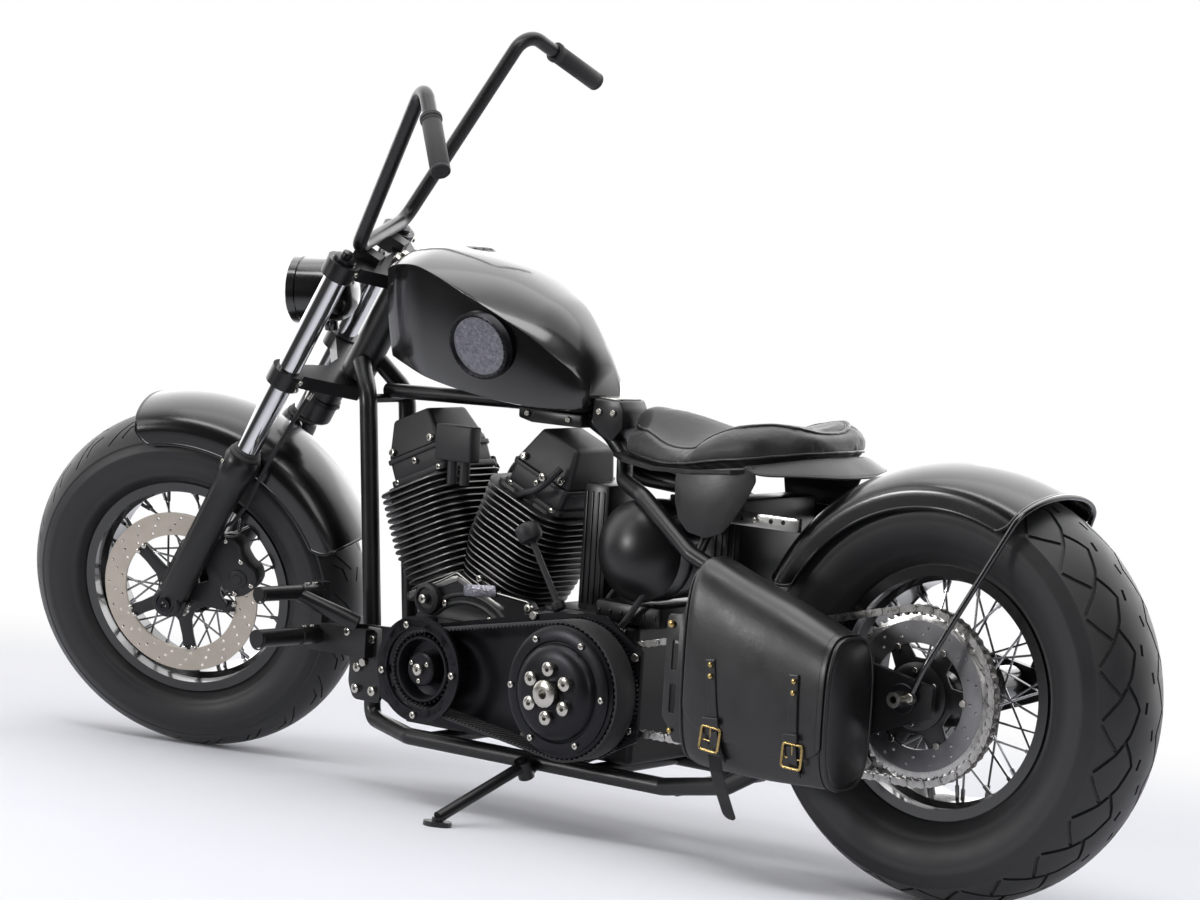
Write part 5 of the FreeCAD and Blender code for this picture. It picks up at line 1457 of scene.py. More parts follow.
# ---- bodywork --------------------------------------------------------------
def skinned(name: str, around: int, along: int, place: Callable[[float, float], Point],
            filled: bool = True) -> bpy.types.Object:
    """Draw a grid into a shape.

    Args:
        name: the piece's name.
        around: faces across the grid.
        along: faces along the grid.
        place: where the grid's point (u, v) goes, each from 0 to 1.
        filled: whether open ends are closed with faces.

    Returns:
        The shape, its seam merged.
    """
    bpy.ops.mesh.primitive_grid_add(x_subdivisions=around, y_subdivisions=along, size=2)
    obj = bpy.context.object
    obj.name = name
    for vertex in obj.data.vertices:
        vertex.co = place((vertex.co.x + 1) / 2, (vertex.co.y + 1) / 2)
    with editing(obj, "VERT"):
        bpy.ops.mesh.select_all(action="SELECT")
        bpy.ops.mesh.remove_doubles(threshold=0.02)
        if filled:
            bpy.ops.mesh.select_all(action="SELECT")
            bpy.ops.mesh.fill_holes(sides=0)
        bpy.ops.mesh.select_all(action="SELECT")
        bpy.ops.mesh.normals_make_consistent(inside=False)
    return obj


def between(rows: Sequence[Sequence[float]], at: float) -> list[float]:
    """Return the row at a first value, on smooth curves through all the rows."""
    last = len(rows) - 1
    n = max(0, min(last - 1, sum(1 for row in rows if row[0] <= at) - 1))
    a, b = rows[n], rows[n + 1]
    before, after = rows[max(0, n - 1)], rows[min(last, n + 2)]
    span = b[0] - a[0]
    t = (at - a[0]) / span
    out = [at]
    for k in range(1, len(a)):
        slope_a = (b[k] - before[k]) / (b[0] - before[0]) * span
        slope_b = (after[k] - a[k]) / (after[0] - a[0]) * span
        out.append((2 * t ** 3 - 3 * t ** 2 + 1) * a[k] + (t ** 3 - 2 * t ** 2 + t) * slope_a
                   + (3 * t ** 2 - 2 * t ** 3) * b[k] + (t ** 3 - t ** 2) * slope_b)
    return out


def walled(obj: bpy.types.Object, thickness: float) -> bpy.types.Object:
    """Give an open sheet a wall on its inner side."""
    return with_modifier(obj, "SOLIDIFY", thickness=thickness, offset=-1.0, use_even_offset=True)


@dataclass
class Mudguard:
    """An arched steel mudguard with a rolled rim."""

    name: str
    body: str
    radius: float
    half: float
    centre: Point
    start: float
    end: float
    wall: float = 3.0
    skirt: float = 72.0
    rise: float = 50.0
    corner: float = 3.0
    rim: float = 3.4

    def at(self, u: float, v: float, out: float = 0.0) -> Vector:
        """Return the point a share u along the arch and v across it, moved out of the sheet."""
        side = self.skirt - self.rise
        reach = math.pi * self.rise * 2.4
        run = v * (2 * side + reach)
        if run < side:
            y, r = -(self.half + out), self.radius - self.skirt + run
        elif run > side + reach:
            y, r = self.half + out, self.radius - self.skirt + 2 * side + reach - run
        else:
            turn = math.pi * (run - side) / reach
            y = -(self.half + out) * math.cos(turn)
            r = self.radius - self.rise + (self.rise + out) * math.sin(turn)
        foot = max(0.0, abs(2 * v - 1) - 0.86) / 0.14
        trim = self.corner * foot ** 2
        angle = math.radians(self.start + trim + (self.end - self.start - 2 * trim) * u)
        return Vector((self.centre[0] - r * math.sin(angle), y, self.centre[1] + r * math.cos(angle)))

    def border(self) -> list[Vector]:
        """Return points all round the sheet's edge, on the middle of its wall."""
        inner = -self.wall / 2
        path = [self.at(0.0, n / 32, inner) for n in range(16, 33)]
        path += [self.at(n / 40, 1.0, inner) for n in range(1, 41)]
        path += [self.at(1.0, 1 - n / 32, inner) for n in range(1, 33)]
        path += [self.at(1 - n / 40, 0.0, inner) for n in range(1, 41)]
        path += [self.at(0.0, n / 32, inner) for n in range(1, 18)]
        return path

    def build(self, bench: Bench, place: Matrix, extras: Sequence[bpy.types.Object] = ()) -> None:
        """Make the sheet and its rolled rim and fit them."""
        sheet = skinned(self.name, 48, 72, lambda u, v: self.at(v, u), False)
        for face in sheet.data.polygons:
            middle = face.center - Vector((self.centre[0], 0, self.centre[1]))
            if face.normal.dot(middle) < 0:
                sheet.data.flip_normals()
            break
        walled(sheet, self.wall)
        shell = joined("shell", [sheet, *extras]) if extras else sheet
        bench.fit(shell, self.name + "_shell", place, self.body, [ENAMEL_THIN], [self.name], 40)
        bench.fit(pipe("rim", self.border(), self.rim, 3), self.name + "_rolled_rim", place, self.body,
                  [ENAMEL_THIN])


@dataclass
class FenderStrut:
    """The rod from both axle plates that rims the rear mudguard's end."""

    radius: float = 5.0
    y: float = 171.3
    foot: Point = (-18.0, 350.0)

    def build(self, bench: Bench, guard: Mudguard) -> None:
        """Make the bent rod with its flattened eyes and their bolts."""
        rig = bench.rig
        tilt = math.radians(guard.end)
        behind = Vector((-math.cos(tilt), 0, -math.sin(tilt))) * (self.radius + 0.4)
        rim = [guard.at(1.0, 0.5 + n / 24, -guard.wall / 2) + behind for n in range(0, 11)]
        start = Vector((self.foot[0] - 2, self.y, self.foot[1] + 4))
        low = Vector((-37, self.y, 394))
        high = rim[-1].lerp(low, 0.14)
        half = [start, low, low.lerp(high, 0.12), low.lerp(high, 0.5), low.lerp(high, 0.88), high] + rim[::-1]
        across = [Vector((p.x, -p.y, p.z)) for p in reversed(half[:-1])]
        bent = pipe("rod", half + across, self.radius, 4)
        eyes = []
        for side in (1, -1):
            eye = lathe("eye", [(5, -2), (11, -2), (11, 2), (5, 2), (5, -2)], 24, (self.foot[0], side * self.y, self.foot[1] - 4))
            eyes.append(eye)
        bench.fit(joined("strut", [bent, *eyes]), "fender_strut_rod", rig.bike, "chassis", [ENAMEL],
                  ["fender_strut"])
        seats = [((self.foot[0], side * (self.y + 2), self.foot[1] - 4), (0, side, 0), 8.0) for side in (1, -1)]
        bench.fit(bolts("eye_bolts", seats, Head.HEX), "fender_strut_bolts", rig.bike, "chassis", [ZINC])


@dataclass
class FuelTank:
    """The long teardrop tank with a soft crease between its side and its crown."""

    rows: Sequence[Point] = (
        # x, half width, bottom, top, bottom half width, crease
        (752.0, 40.0, 724.0, 792.0, 34.0, 758.0),
        (762.0, 58.0, 714.0, 815.0, 46.0, 772.0),
        (800.0, 88.0, 712.0, 864.0, 68.0, 806.0),
        (840.0, 112.0, 712.0, 900.0, 84.0, 838.0),
        (940.0, 144.0, 722.0, 949.0, 104.0, 892.0),
        (1060.0, 142.0, 742.0, 974.0, 104.0, 936.0),
        (1130.0, 124.0, 762.0, 970.0, 92.0, 936.0),
        (1166.0, 104.0, 772.0, 957.0, 80.0, 926.0),
    )
    tunnel: Sequence[Point] = ((1190, 640), (1190, 842), (1000, 834), (735, 706), (700, 660), (700, 640))

    @staticmethod
    def half_section(row: Sequence[float]) -> list[tuple[float, float]]:
        """Return (y, z) points up one side, from under the middle to the top."""
        _, wide, low, high, foot, crease = row
        points = [(0, low), (foot * 0.5, low), (foot * 0.85, low), (foot, low + 3)]
        for t in (0.12, 0.26, 0.4, 0.55, 0.7, 0.84, 0.94):
            points.append((foot + (wide - foot) * t + 5 * math.sin(math.pi * t), low + (crease - low) * t))
        points.append((wide, crease))
        for share in (0.965, 0.92, 0.84, 0.72, 0.56, 0.38, 0.19, 0.0):
            points.append((wide * share, crease + (high - crease) * (1 - share ** 2.7)))
        return points

    def at(self, u: float, v: float) -> tuple[float, float, float]:
        """Return the skin's point a share u round and v along."""
        x = self.rows[0][0] + (self.rows[-1][0] - self.rows[0][0]) * v
        half = self.half_section(between(self.rows, x))
        step = round(u * 38)
        y, z = half[step] if step <= 19 else half[38 - step]
        return x, (y if step <= 19 else -y), z

    def shell(self) -> bpy.types.Object:
        """Shape the skin, ease its edges and cut the tunnel over the backbone."""
        skin = skinned("tank", 38, 44, self.at)
        eased(skin, 7, 4, 24)
        return cut_by(skin, slab("tunnel", self.tunnel, -21, 21))

    @staticmethod
    def filler() -> bpy.types.Object:
        """Turn the filler cap with its gripping flutes."""
        cap = lathe("cap", [(0, 8), (20, 8), (28, 6.4), (31, 4), (31, 3), (36, 2.4), (38, 0), (38, -12), (0, -12)], 72,
                    (1052, 0, 967), (0, 0, 1))
        flutes = [rod((1052 + 33.4 * math.cos(a), 33.4 * math.sin(a), 971), (1052 + 33.4 * math.cos(a), 33.4 * math.sin(a), 991),
                      4, 10) for a in [math.tau * n / 12 for n in range(12)]]
        return eased(cut_by(cap, joined("flutes", flutes)), 0.6, 2, 40)

    @staticmethod
    def badge() -> bpy.types.Object:
        """Make the plain oval plate on a side: a beaded rim round a punched ground."""
        plate = lathe("plate", [(0, 2.2), (44, 2.2), (45.5, 4.6), (48, 6), (51, 4.6), (52, 0), (52, -9), (0, -9)], 72,
                      (0, 0, 0), (0, 0, 1))
        for n in range(30):
            a = math.tau * n / 30
            bead = rod((48 * math.cos(a), 48 * math.sin(a), 4), (48 * math.cos(a), 48 * math.sin(a), 7.4), 2.2, 8, 1.2)
            plate = joined("plate", [plate, bead])
        plate.data.transform(Matrix.Diagonal((1.3, 1.14, 1.0, 1.0)))
        return plate

    def build(self, bench: Bench) -> None:
        """Make the tank, its cap and its plates and fit them."""
        rig = bench.rig
        bench.fit(self.shell(), "fuel_tank_shell", rig.bike, "chassis", [ENAMEL], ["fuel_tank"], 30)
        bench.fit(self.filler(), "fuel_tank_cap", rig.bike, "chassis", [ENAMEL], (), 30)
        for side, name in ((1, "left"), (-1, "right")):
            plate = self.badge()
            face_slots(plate, 1, lambda c, n: c.z < 2.6 and n.z > 0.5 and math.hypot(c.x / 1.3, c.y / 1.14) < 44)
            plate.data.transform(turned_to((925, side * 131.5, 812), (0.05, side * 0.96, -0.26)))
            bench.fit(plate, f"fuel_tank_plate_{name}", rig.bike, "chassis", [ANODISED, PLATE], (), 40)


@dataclass
class OilSystem:
    """The round oil tank across the frame and the filter beside it."""

    x: float = 578.0
    z: float = 500.0
    radius: float = 84.0
    half: float = 108.0
    dome: float = 40.0

    def tank(self) -> bpy.types.Object:
        """Turn the tank with its two rounded ends and the weld beads round them."""
        ball = (self.radius ** 2 + self.dome ** 2) / (2 * self.dome)
        profile = []
        for n in range(15):
            a = math.asin(self.radius / ball) * n / 14
            profile.append((ball * math.sin(a), self.half + self.dome - ball + ball * math.cos(a)))
        weld = [(self.radius, self.half - 1), (self.radius + 1.6, self.half - 3), (self.radius + 1.6, self.half - 6),
                (self.radius, self.half - 8)]
        side = profile + weld
        whole = side + [(r, -y) for r, y in reversed(side)]
        return lathe("oil_tank", whole, 96, (self.x, 0, self.z))

    def filter_can(self) -> bpy.types.Object:
        """Turn the filter can with its crimped seam and its fluted end."""
        return lathe("can", [(0, 54), (25, 54), (25, 108), (26.5, 109), (26.5, 113), (25, 114), (23, 121), (17, 124),
                             (15, 122), (0, 122)], 48, (494, 0, 543))

    def build(self, bench: Bench) -> None:
        """Make the tank, the can, the straps and fittings and fit them."""
        rig = bench.rig
        strap = [lathe("strap", ring_profile(self.radius - 0.5, self.radius + 2, y - 9, y + 9, 0.5), 72, (self.x, 0, self.z))
                 for y in (-58, 58)]
        bench.fit(joined("tank", [self.tank(), block((self.x - 12, -14, self.z + 70), (self.x + 12, 14, 590.6), 2)]),
                  "oil_tank_shell", rig.bike, "chassis", [POWDER], ["oil_tank"], 40)
        bench.fit(joined("straps", strap), "oil_tank_straps", rig.bike, "chassis", [POWDER])
        bench.fit(self.filter_can(), "oil_filter_can", rig.bike, "chassis", [ANODISED], (), 30,
                  rig.bike @ Matrix.Translation((494, 0, 543)))
        lines = [pipe("line", [(506, 92, 520), (520, 112, 492), (560, 116, 420), (600, 112, 372)], 5.5, 4),
                 pipe("line", [(640, 40, 450), (662, 66, 420), (668, 80, 380), (660, 90, 350)], 5.5, 4)]
        bench.fit(joined("lines", lines), "oil_lines", rig.bike, "chassis", [RUBBER])
        bench.fit(bolts("fittings", [((600, 112, 370), (0.2, 0, -1), 9), ((660, 90, 348), (0, 0, -1), 9)], Head.HEX),
                  "oil_line_fittings", rig.bike, "chassis", [ZINC])


@dataclass
class AirCleaner:
    """The round air cleaner on the right side."""

    x: float = 985.0
    z: float = 540.0
    radius: float = 78.0

    def build(self, bench: Bench) -> None:
        """Make the pleated ring, the cover and its screws and fit them."""
        rig = bench.rig
        outline = []
        for n in range(96):
            a = math.tau * n / 96
            reach = self.radius - (5.0 if n % 2 else 1.0)
            outline.append((self.x + reach * math.cos(a), self.z + reach * math.sin(a)))
        pleats = slab("pleats", outline, -122, -154)
        bench.fit(pleats, "air_cleaner_element", rig.bike, "chassis", [MACHINED], (), 20)
        cover = lathe("cover", [(0, 170), (22, 170), (26, 167), (58, 166), (70, 161), (77, 154), (78.5, 152), (75, 151),
                                (0, 151)], 96, (self.x, 0, self.z), (0, -1, 0))
        back = lathe("back", [(0, 118), (76, 118), (78.5, 120), (78.5, 124), (76, 125), (0, 125)], 96,
                     (self.x, 0, self.z), (0, -1, 0))
        duct = [rod((self.x + dx, -96, self.z - 46), (self.x + dx, -120, self.z - 20), 22, 32) for dx in (-30, 30)]
        bench.fit(joined("cover", [cover, back, *duct]), "air_cleaner_cover", rig.bike, "chassis",
                  [WRINKLE], ["air_cleaner"], 30)
        seats = [((self.x + 48 * math.cos(a), -166, self.z + 48 * math.sin(a)), (0, -1, 0), 4.5)
                 for a in (0.5, 2.6, 4.7)]
        bench.fit(bolts("screws", seats), "air_cleaner_screws", rig.bike, "chassis", [ZINC])


@dataclass
class MiddleBoxes:
    """The electrical boxes in the frame between the engine and the rear wheel."""

    @staticmethod
    def ribbed(name: str, low: Point, high: Point, ribs: int) -> bpy.types.Object:
        """Make a box with upright ribs down both sides."""
        box = block(low, high, 7)
        pitch = (high[0] - low[0] - 20) / max(1, ribs - 1)
        made = [box]
        for n in range(ribs):
            x = low[0] + 10 + n * pitch
            for y in (low[1] - 2, high[1] - 2):
                made.append(block((x - 2, y, low[2] + 14), (x + 2, y + 4, high[2] - 14), 1))
        return joined(name, made)

    def build(self, bench: Bench) -> None:
        """Make the battery box, the coil cover, the oil tank's tray and the seat's nose bracket."""
        rig = bench.rig
        boxes = [self.ribbed("battery", (374, -106, 448), (433, 106, 608), 4),
                 self.ribbed("coils", (692, -48, 376), (748, 48, 596), 4),
                 self.ribbed("tray", (530, -100, 374), (668, 100, 410), 6)]
        bench.fit(joined("boxes", boxes), "battery_and_coil_boxes", rig.bike, "chassis", [POWDER])
        nose = slab("nose", ((750, 698), (748, 738), (692, 738), (684, 722), (684, 692), (706, 668), (730, 676)), -34, 34, 4, 2)
        steady = eased(slab("steady", ((772, 684), (772, 707), (912, 709), (912, 690), (884, 684)), -34, 34), 4, 2)
        nose = joined("nose", [nose, steady])
        bench.fit(nose, "seat_nose_bracket", rig.bike, "chassis", [POWDER])
        cap = block((694, -28, 737.5), (742, 28, 741), 1.5)
        bench.fit(cap, "seat_nose_plate", rig.bike, "chassis", [MACHINED])
        seats = [((x, side * 34, z), (0, side, 0), 6.0) for x, z in ((704, 716), (734, 716), (800, 696), (890, 699))
                 for side in (1, -1)]
        bench.fit(bolts("nose_bolts", seats, Head.HEX), "seat_nose_bolts", rig.bike, "chassis", [ZINC])


def build_bodywork(bench: Bench) -> None:
    """Build the mudguards, the tanks and the air cleaner."""
    rig = bench.rig
    rear = Mudguard("rear_fender", "chassis", 366.0, 118.0, (0.0, REAR_R), -64.0, 26.0)
    rear.build(bench, rig.bike)
    FenderStrut().build(bench, rear)
    lugs = []
    for side in (1, -1):
        at = Matrix(rig.front).inverted() @ rig.fork @ Vector((-6, side * 94, 326))
        end = Matrix(rig.front).inverted() @ rig.fork @ Vector((-6, side * 99.4, 326))
        lugs.append(rod(at, end, 11, 24))
    Mudguard("front_fender", "steering", 356.0, 96.0, (WHEELBASE, FRONT_R), -11.0, 73.0).build(bench, rig.front, lugs)
    FuelTank().build(bench)
    OilSystem().build(bench)
    AirCleaner().build(bench)
    MiddleBoxes().build(bench)


# ---- front end -------------------------------------------------------------
@dataclass
class Fork:
    """The lower legs, the tube caps, the clamp bolts and the axle ends."""

    y: float = 134.0
    clamp_low: float = 503.0
    clamp_high: float = 734.0

    def leg(self, side: int) -> bpy.types.Object:
        """Turn one lower leg with its collar, its axle boss and its brake lug."""
        tube = lathe("leg", [(0, -24), (21, -24), (26, -18), (28, -8), (28, 170), (28.6, 250), (30.5, 278), (34, 288),
                             (34.6, 296), (34.6, 316), (33, 325), (30, 330), (22.6, 331), (22.6, 290), (0, 290)], 64,
                     (0, side * self.y, 0), (0, 0, 1))
        boss = lathe("boss", [(0, -26), (23, -26), (27, -22), (27, 20), (23.5, 24), (18, 24), (18, 21), (0, 21)], 48,
                     (0, side * self.y, 0), (0, side, 0))
        rib = block((-6, side * self.y - 5, 20), (31.5, side * self.y + 5, 120), 4, 3)
        pinch = block((-34, side * self.y - 13, -19), (-18, side * self.y + 13, 17), 4, 3)
        return joined("leg", [tube, boss, rib, pinch])

    def build(self, bench: Bench) -> None:
        """Make both legs, the seals, the caps and all bolts and fit them."""
        rig = bench.rig
        for side, name in ((1, "left"), (-1, "right")):
            bench.fit(self.leg(side), f"fork_leg_{name}_casting", rig.fork, "steering", [POWDER],
                      [f"fork_leg_{name}"], 40)
        seals, caps, seats = [], [], []
        for side in (1, -1):
            y = side * self.y
            seals.append(lathe("seal", [(21.4, 331), (29.4, 331), (29.4, 334), (25, 338), (25.6, 341), (22, 344),
                                        (21.4, 344), (21.4, 331)], 48, (0, y, 0), (0, 0, 1)))
            caps.append(lathe("cap", [(0, 768), (9, 768), (10, 766), (10, 758), (19, 757), (20.6, 755), (20.6, 748),
                                      (0, 748)], 48, (0, y, 0), (0, 0, 1)))
            for level, ahead in ((self.clamp_low, -27), (self.clamp_high, -27)):
                for lift in (-8, 8):
                    seats.append(((ahead - 3, y + side * 8, level + lift), (-1, side * 0.25, 0), 4.6))
            seats.append(((24, y + side * 24, 308), (0.62, side * 0.78, 0), 4.2))
            for lift in (-9, 7):
                seats.append(((-34.5, y, lift), (-1, 0, 0), 4.4))
            seats.append(((0, y + side * 21, 0), (0, side, 0), 10))
        bench.fit(joined("seals", seals), "fork_dust_seals", rig.fork, "steering", [RUBBER])
        bench.fit(joined("caps", caps), "fork_tube_caps", rig.fork, "steering", [ANODISED])
        bench.fit(bolts("fork_bolts", seats), "fork_bolts", rig.fork, "steering", [ZINC])
        stem = lathe("stem_nut", [(0, 772), (8, 772), (10, 770), (10, 762), (17, 761), (19, 759), (19, 750), (0, 750)], 6,
                     (-62, 0, 0), (0, 0, 1))
        bench.fit(eased(stem, 0.8, 2), "steering_stem_nut", rig.fork, "steering", [ZINC])


@dataclass
class Calliper:
    """A two-piston brake calliper that straddles a disc on its bracket."""

    low: Vector
    high: Vector
    disc_y: float
    disc_half: float = 4.6

    def frame(self) -> Matrix:
        """Return the frame at the calliper's middle: X round the disc, Z away from the axle."""
        middle = (self.low + self.high) / 2
        out = Vector((middle.x, 0, middle.z)).normalized()
        turn = Matrix((Y_AXIS.cross(out), Y_AXIS, out)).transposed().to_4x4()
        return Matrix.Translation((0, self.disc_y, 0)) @ turn

    def body(self) -> bpy.types.Object:
        """Cut the lobed body, its piston caps and the slot for the disc."""
        outline = ((-52, 104), (-58, 124), (-55, 146), (-44, 162), (-26, 168), (-10, 161), (10, 161), (26, 168),
                   (44, 162), (55, 146), (58, 124), (52, 104), (34, 96), (-34, 96))
        body = slab("body", outline, -21, 22, 5, 2.2)
        for t in (-25, 25):
            cap = lathe("cap", [(0, 27), (8, 27), (9, 25.5), (14, 25.5), (17, 24), (18, 21.5), (18, 15), (0, 15)], 40,
                        (t, 0, 130))
            body = joined("body", [body, cap])
        groove = block((-70, 9.2, 60), (70, 12.2, 180))
        cut_by(body, groove)
        cut_by(body, block((-90, -7, 40), (90, 10.5, 115)))
        return cut_by(body, block((-90, -self.disc_half, 90), (90, self.disc_half, 158)))

    def build(self, bench: Bench, place: Matrix, name: str, node: str, body: str,
              bracket: Sequence[Point], bracket_y: tuple[float, float]) -> None:
        """Make the body, the pads, the bracket and the bolts and fit them.

        Args:
            bench: the bench.
            place: the frame whose origin is the axle.
            name: the piece's name.
            node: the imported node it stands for.
            body: the body it rides on.
            bracket: (x, z) corners of the bracket's plate.
            bracket_y: where the plate starts and ends.
        """
        local = self.frame()
        shell = self.body()
        shell.data.transform(local)
        plate = slab("bracket", bracket, *bracket_y, 7, 1.2)
        bench.fit(joined("calliper", [shell, plate]), name, place, body, [WRINKLE], [node], 35)
        pads = joined("pads", [block((-30, side * 3.6 - 1.0, 117), (30, side * 3.6 + 1.0, 150), 0.3) for side in (-1, 1)])
        pads.data.transform(local)
        bench.fit(pads, name + "_pads", place, body, [DISC])
        seats = [((t, 22, z), (0, 1, 0), 4.4) for t, z in ((-47, 148), (47, 148), (-46, 110), (46, 110), (0, 154))]
        heads = bolts("bolts", seats)
        heads.data.transform(local)
        bench.fit(heads, name + "_bolts", place, body, [ZINC])


@dataclass
class Controls:
    """The bar's grips, the headlamp, the horn, the hose ends and the foot controls' bolts."""

    lamp: Point = (1366.0, 0.0, 881.0)
    bar_end: Point = (980.0, 412.0, 1186.0)
    bar_bend: Point = (1057.0, 262.0, 1302.0)

    def grip(self, side: int) -> bpy.types.Object:
        """Turn one grip with its flange, its collar and its end plug."""
        profile = [(12.8, -125), (18.2, -125), (18.8, -124), (18.8, -118), (18.2, -117), (17.2, -116.4), (17.2, -112),
                   (16.4, -111.4), (16.4, -108), (16.9, -107), (16.9, -8), (16.4, -7), (16.4, -4), (16.9, -3),
                   (16.6, -0.6), (15.4, 0.8), (11.5, 1.0), (11, 2.0), (0, 2.0)]
        end, bend = Vector(self.bar_end), Vector(self.bar_bend)
        end.y, bend.y = side * end.y, side * bend.y
        return lathe("grip", profile, 48, end, end - bend)

    def build(self, bench: Bench) -> None:
        """Make the grips, the lamp, the horn and the fittings and fit them."""
        rig = bench.rig
        for side, name in ((1, "left"), (-1, "right")):
            bench.fit(self.grip(side), f"grip_{name}_rubber", rig.front, "steering", [RUBBER],
                      [f"grip_{name}"], 30)
        bucket = lathe("bucket", [(0, -57), (14, -56.5), (30, -53), (44, -44), (53, -30), (57, -12), (58, 4), (58, 40),
                                  (60.5, 41.5), (60.5, 56), (58, 58), (54.5, 58), (54.5, 52), (50, 50), (30, 30),
                                  (10, 20), (0, 19)], 96, self.lamp, (1, 0, 0))
        face_slots(bucket, 1, lambda c, n: math.hypot(c.y, c.z - self.lamp[2]) < 51 and c.x > self.lamp[0] + 16)
        stem = rod((self.lamp[0] - 4, 0, self.lamp[2] - 54), (self.lamp[0] - 4, 0, self.lamp[2] - 72), 13, 32)
        bench.fit(joined("lamp", [bucket, eased(stem, 1.5)]), "headlamp_bucket", rig.front, "steering",
                  [ENAMEL, REFLECTOR], ["headlamp"], 40)
        lens = lathe("lens", [(0, 64), (20, 63), (40, 60), (54, 55), (54, 52), (38, 56.5), (20, 59.5), (0, 60.5)], 72,
                     self.lamp, (1, 0, 0))
        bench.fit(lens, "headlamp_lens", rig.front, "steering", [clear_glass()])
        bulb = lathe("bulb", [(0, 44), (5, 43), (7, 38), (7, 30), (10, 28), (10, 20), (0, 20)], 32, self.lamp, (1, 0, 0))
        bench.fit(bulb, "headlamp_bulb", rig.front, "steering", [REFLECTOR])
        low, high = rig.span("horn", rig.fork)
        at = (low + high) / 2
        length, wide = high.z - low.z, (high.y - low.y) / 2
        half = length / 2
        horn = lathe("horn", [(0, -half), (wide - 6, -half), (wide - 1, -half + 5), (wide, -half + 9), (wide, half - 16),
                              (wide - 2, half - 14), (wide - 2, half - 10), (wide, half - 8), (wide - 3, half - 1),
                              (0, half)], 64, at, (0, 0, 1))
        bench.fit(horn, "horn_can", rig.fork, "steering", [POWDER], ["horn"], 30)
        collar = lathe("clip", ring_profile(wide - 1, wide + 2.4, -5, 5, 0.5), 48, at, (0, 0, 1))
        bench.fit(collar, "horn_clip", rig.fork, "steering", [ANODISED])
        bench.fit(bolts("horn_bolts", [((at.x - wide - 1, at.y, at.z), (-1, 0, 0), 4)]), "horn_clip_bolt", rig.fork,
                  "steering", [ZINC])
        self.hose_ends(bench)
        self.foot_bolts(bench)

    @staticmethod
    def hose_ends(bench: Bench) -> None:
        """Make the banjo and the crimped ferrules at the ends of the brake hose."""
        top, low = Vector((-46, 94, 486)), Vector((-38, 100, 136))
        ends = [lathe("ferrule", [(3.6, 0), (5.4, 0), (5.8, 2), (5.8, 12), (5, 14), (3.6, 14), (3.6, 0)], 24, at, way)
                for at, way in ((top, (0, 0.3, -1)), (low, (0.3, 0, 1)))]
        ends.append(lathe("banjo", [(4, -4), (9, -4), (9.6, -3), (9.6, 3), (9, 4), (4, 4), (4, -4)], 24, low - Vector((2, 0, 6))))
        bench.fit(joined("fittings", ends), "brake_hose_fittings", bench.rig.fork, "steering", [ZINC])

    @staticmethod
    def foot_bolts(bench: Bench) -> None:
        """Set the bolts of the forward controls, their plate and the frame."""
        seats = [((1165, 157.4, 292), (0, 1, 0), 8), ((1150, 144.2, 230), (0, 1, 0), 8.4),
                 ((1152, 144.2, 192), (0, 1, 0), 8.4), ((1113, 144.2, 192), (0, 1, 0), 8.4),
                 ((1196, 157.4, 274), (0, 1, 0), 6), ((1130, 157.4, 274), (0, 1, 0), 6)]
        for z, r in ((277, 16), (355, 13)):
            seats.append(((1238, 172, z + r - 1), (0, 0, 1), 5))
            seats.append(((1238, 192, z + r - 1), (0, 0, 1), 5))
        bench.fit(bolts("plate_bolts", seats), "foot_control_bolts", bench.rig.bike, "chassis", [ZINC])
        sleeves = []
        for side in (1, -1):
            for z, r in ((277, 16), (355, 13)):
                y0, y1 = (206, 313) if side > 0 else (-313, -206)
                for low, high in ((y0, y0 + 5), (y1 - 5, y1)):
                    sleeves.append(lathe("band", [(r - 1, low), (r + 1.2, low + 0.8), (r + 1.2, high - 0.8),
                                                  (r - 1, high), (r - 1, low)], 32, (1238, 0, z)))
        strut = eased(rod((1238, 214, 352), (1150, 151, 306), 12, 24, 16), 2, 3)
        lug = slab("lug", ((1098, 172), (1160, 172), (1174, 200), (1172, 236), (1184, 272), (1172, 306), (1098, 306)),
                   137.0, 144.2, 9, 1.2)
        bench.fit(joined("strut", [strut, lug]), "foot_control_strut", bench.rig.bike, "chassis", [POWDER])
        bench.fit(joined("sleeves", sleeves), "foot_peg_sleeves", bench.rig.bike, "chassis", [RUBBER])


def build_front(bench: Bench) -> None:
    """Build the fork, both callipers and the controls."""
    rig = bench.rig
    Fork().build(bench)
    Calliper(*rig.span("front_caliper", rig.fork), 88.0).build(
        bench, rig.fork, "front_calliper", "front_caliper", "steering",
        ((-22, 6), (-22, 40), (-42, 62), (-22, 84), (-22, 118), (-40, 120), (-66, 108), (-90, 104), (-84, 82), (-64, 66),
         (-72, 48), (-94, 40), (-90, 24), (-56, 16)), (100.5, 109.0))
    axle = rig.bike @ Matrix.Translation((0, 0, REAR_R))
    Calliper(*rig.span("rear_caliper", axle), 122.0, 4.9).build(
        bench, axle, "rear_calliper", "rear_caliper", "chassis",
        ((20, -14), (20, 14), (60, 34), (110, 40), (128, 16), (128, -16), (110, -40), (60, -34)), (141.0, 150.0))
    seats, washers = [], []
    for side in (1, -1):
        seats.append(((0, side * 171, REAR_R), (0, side, 0), 12.5))
        washers.append(lathe("washer", [(12, 166), (23, 166), (24, 167), (24, 170), (23, 171), (12, 171), (12, 166)], 40,
                             (0, 0, REAR_R), (0, side, 0)))
    bench.fit(bolts("axle_nuts", seats, Head.HEX), "rear_axle_nuts", rig.bike, "chassis", [ANODISED])
    bench.fit(joined("washers", washers), "rear_axle_washers", rig.bike, "chassis", [ANODISED])
    Controls().build(bench)


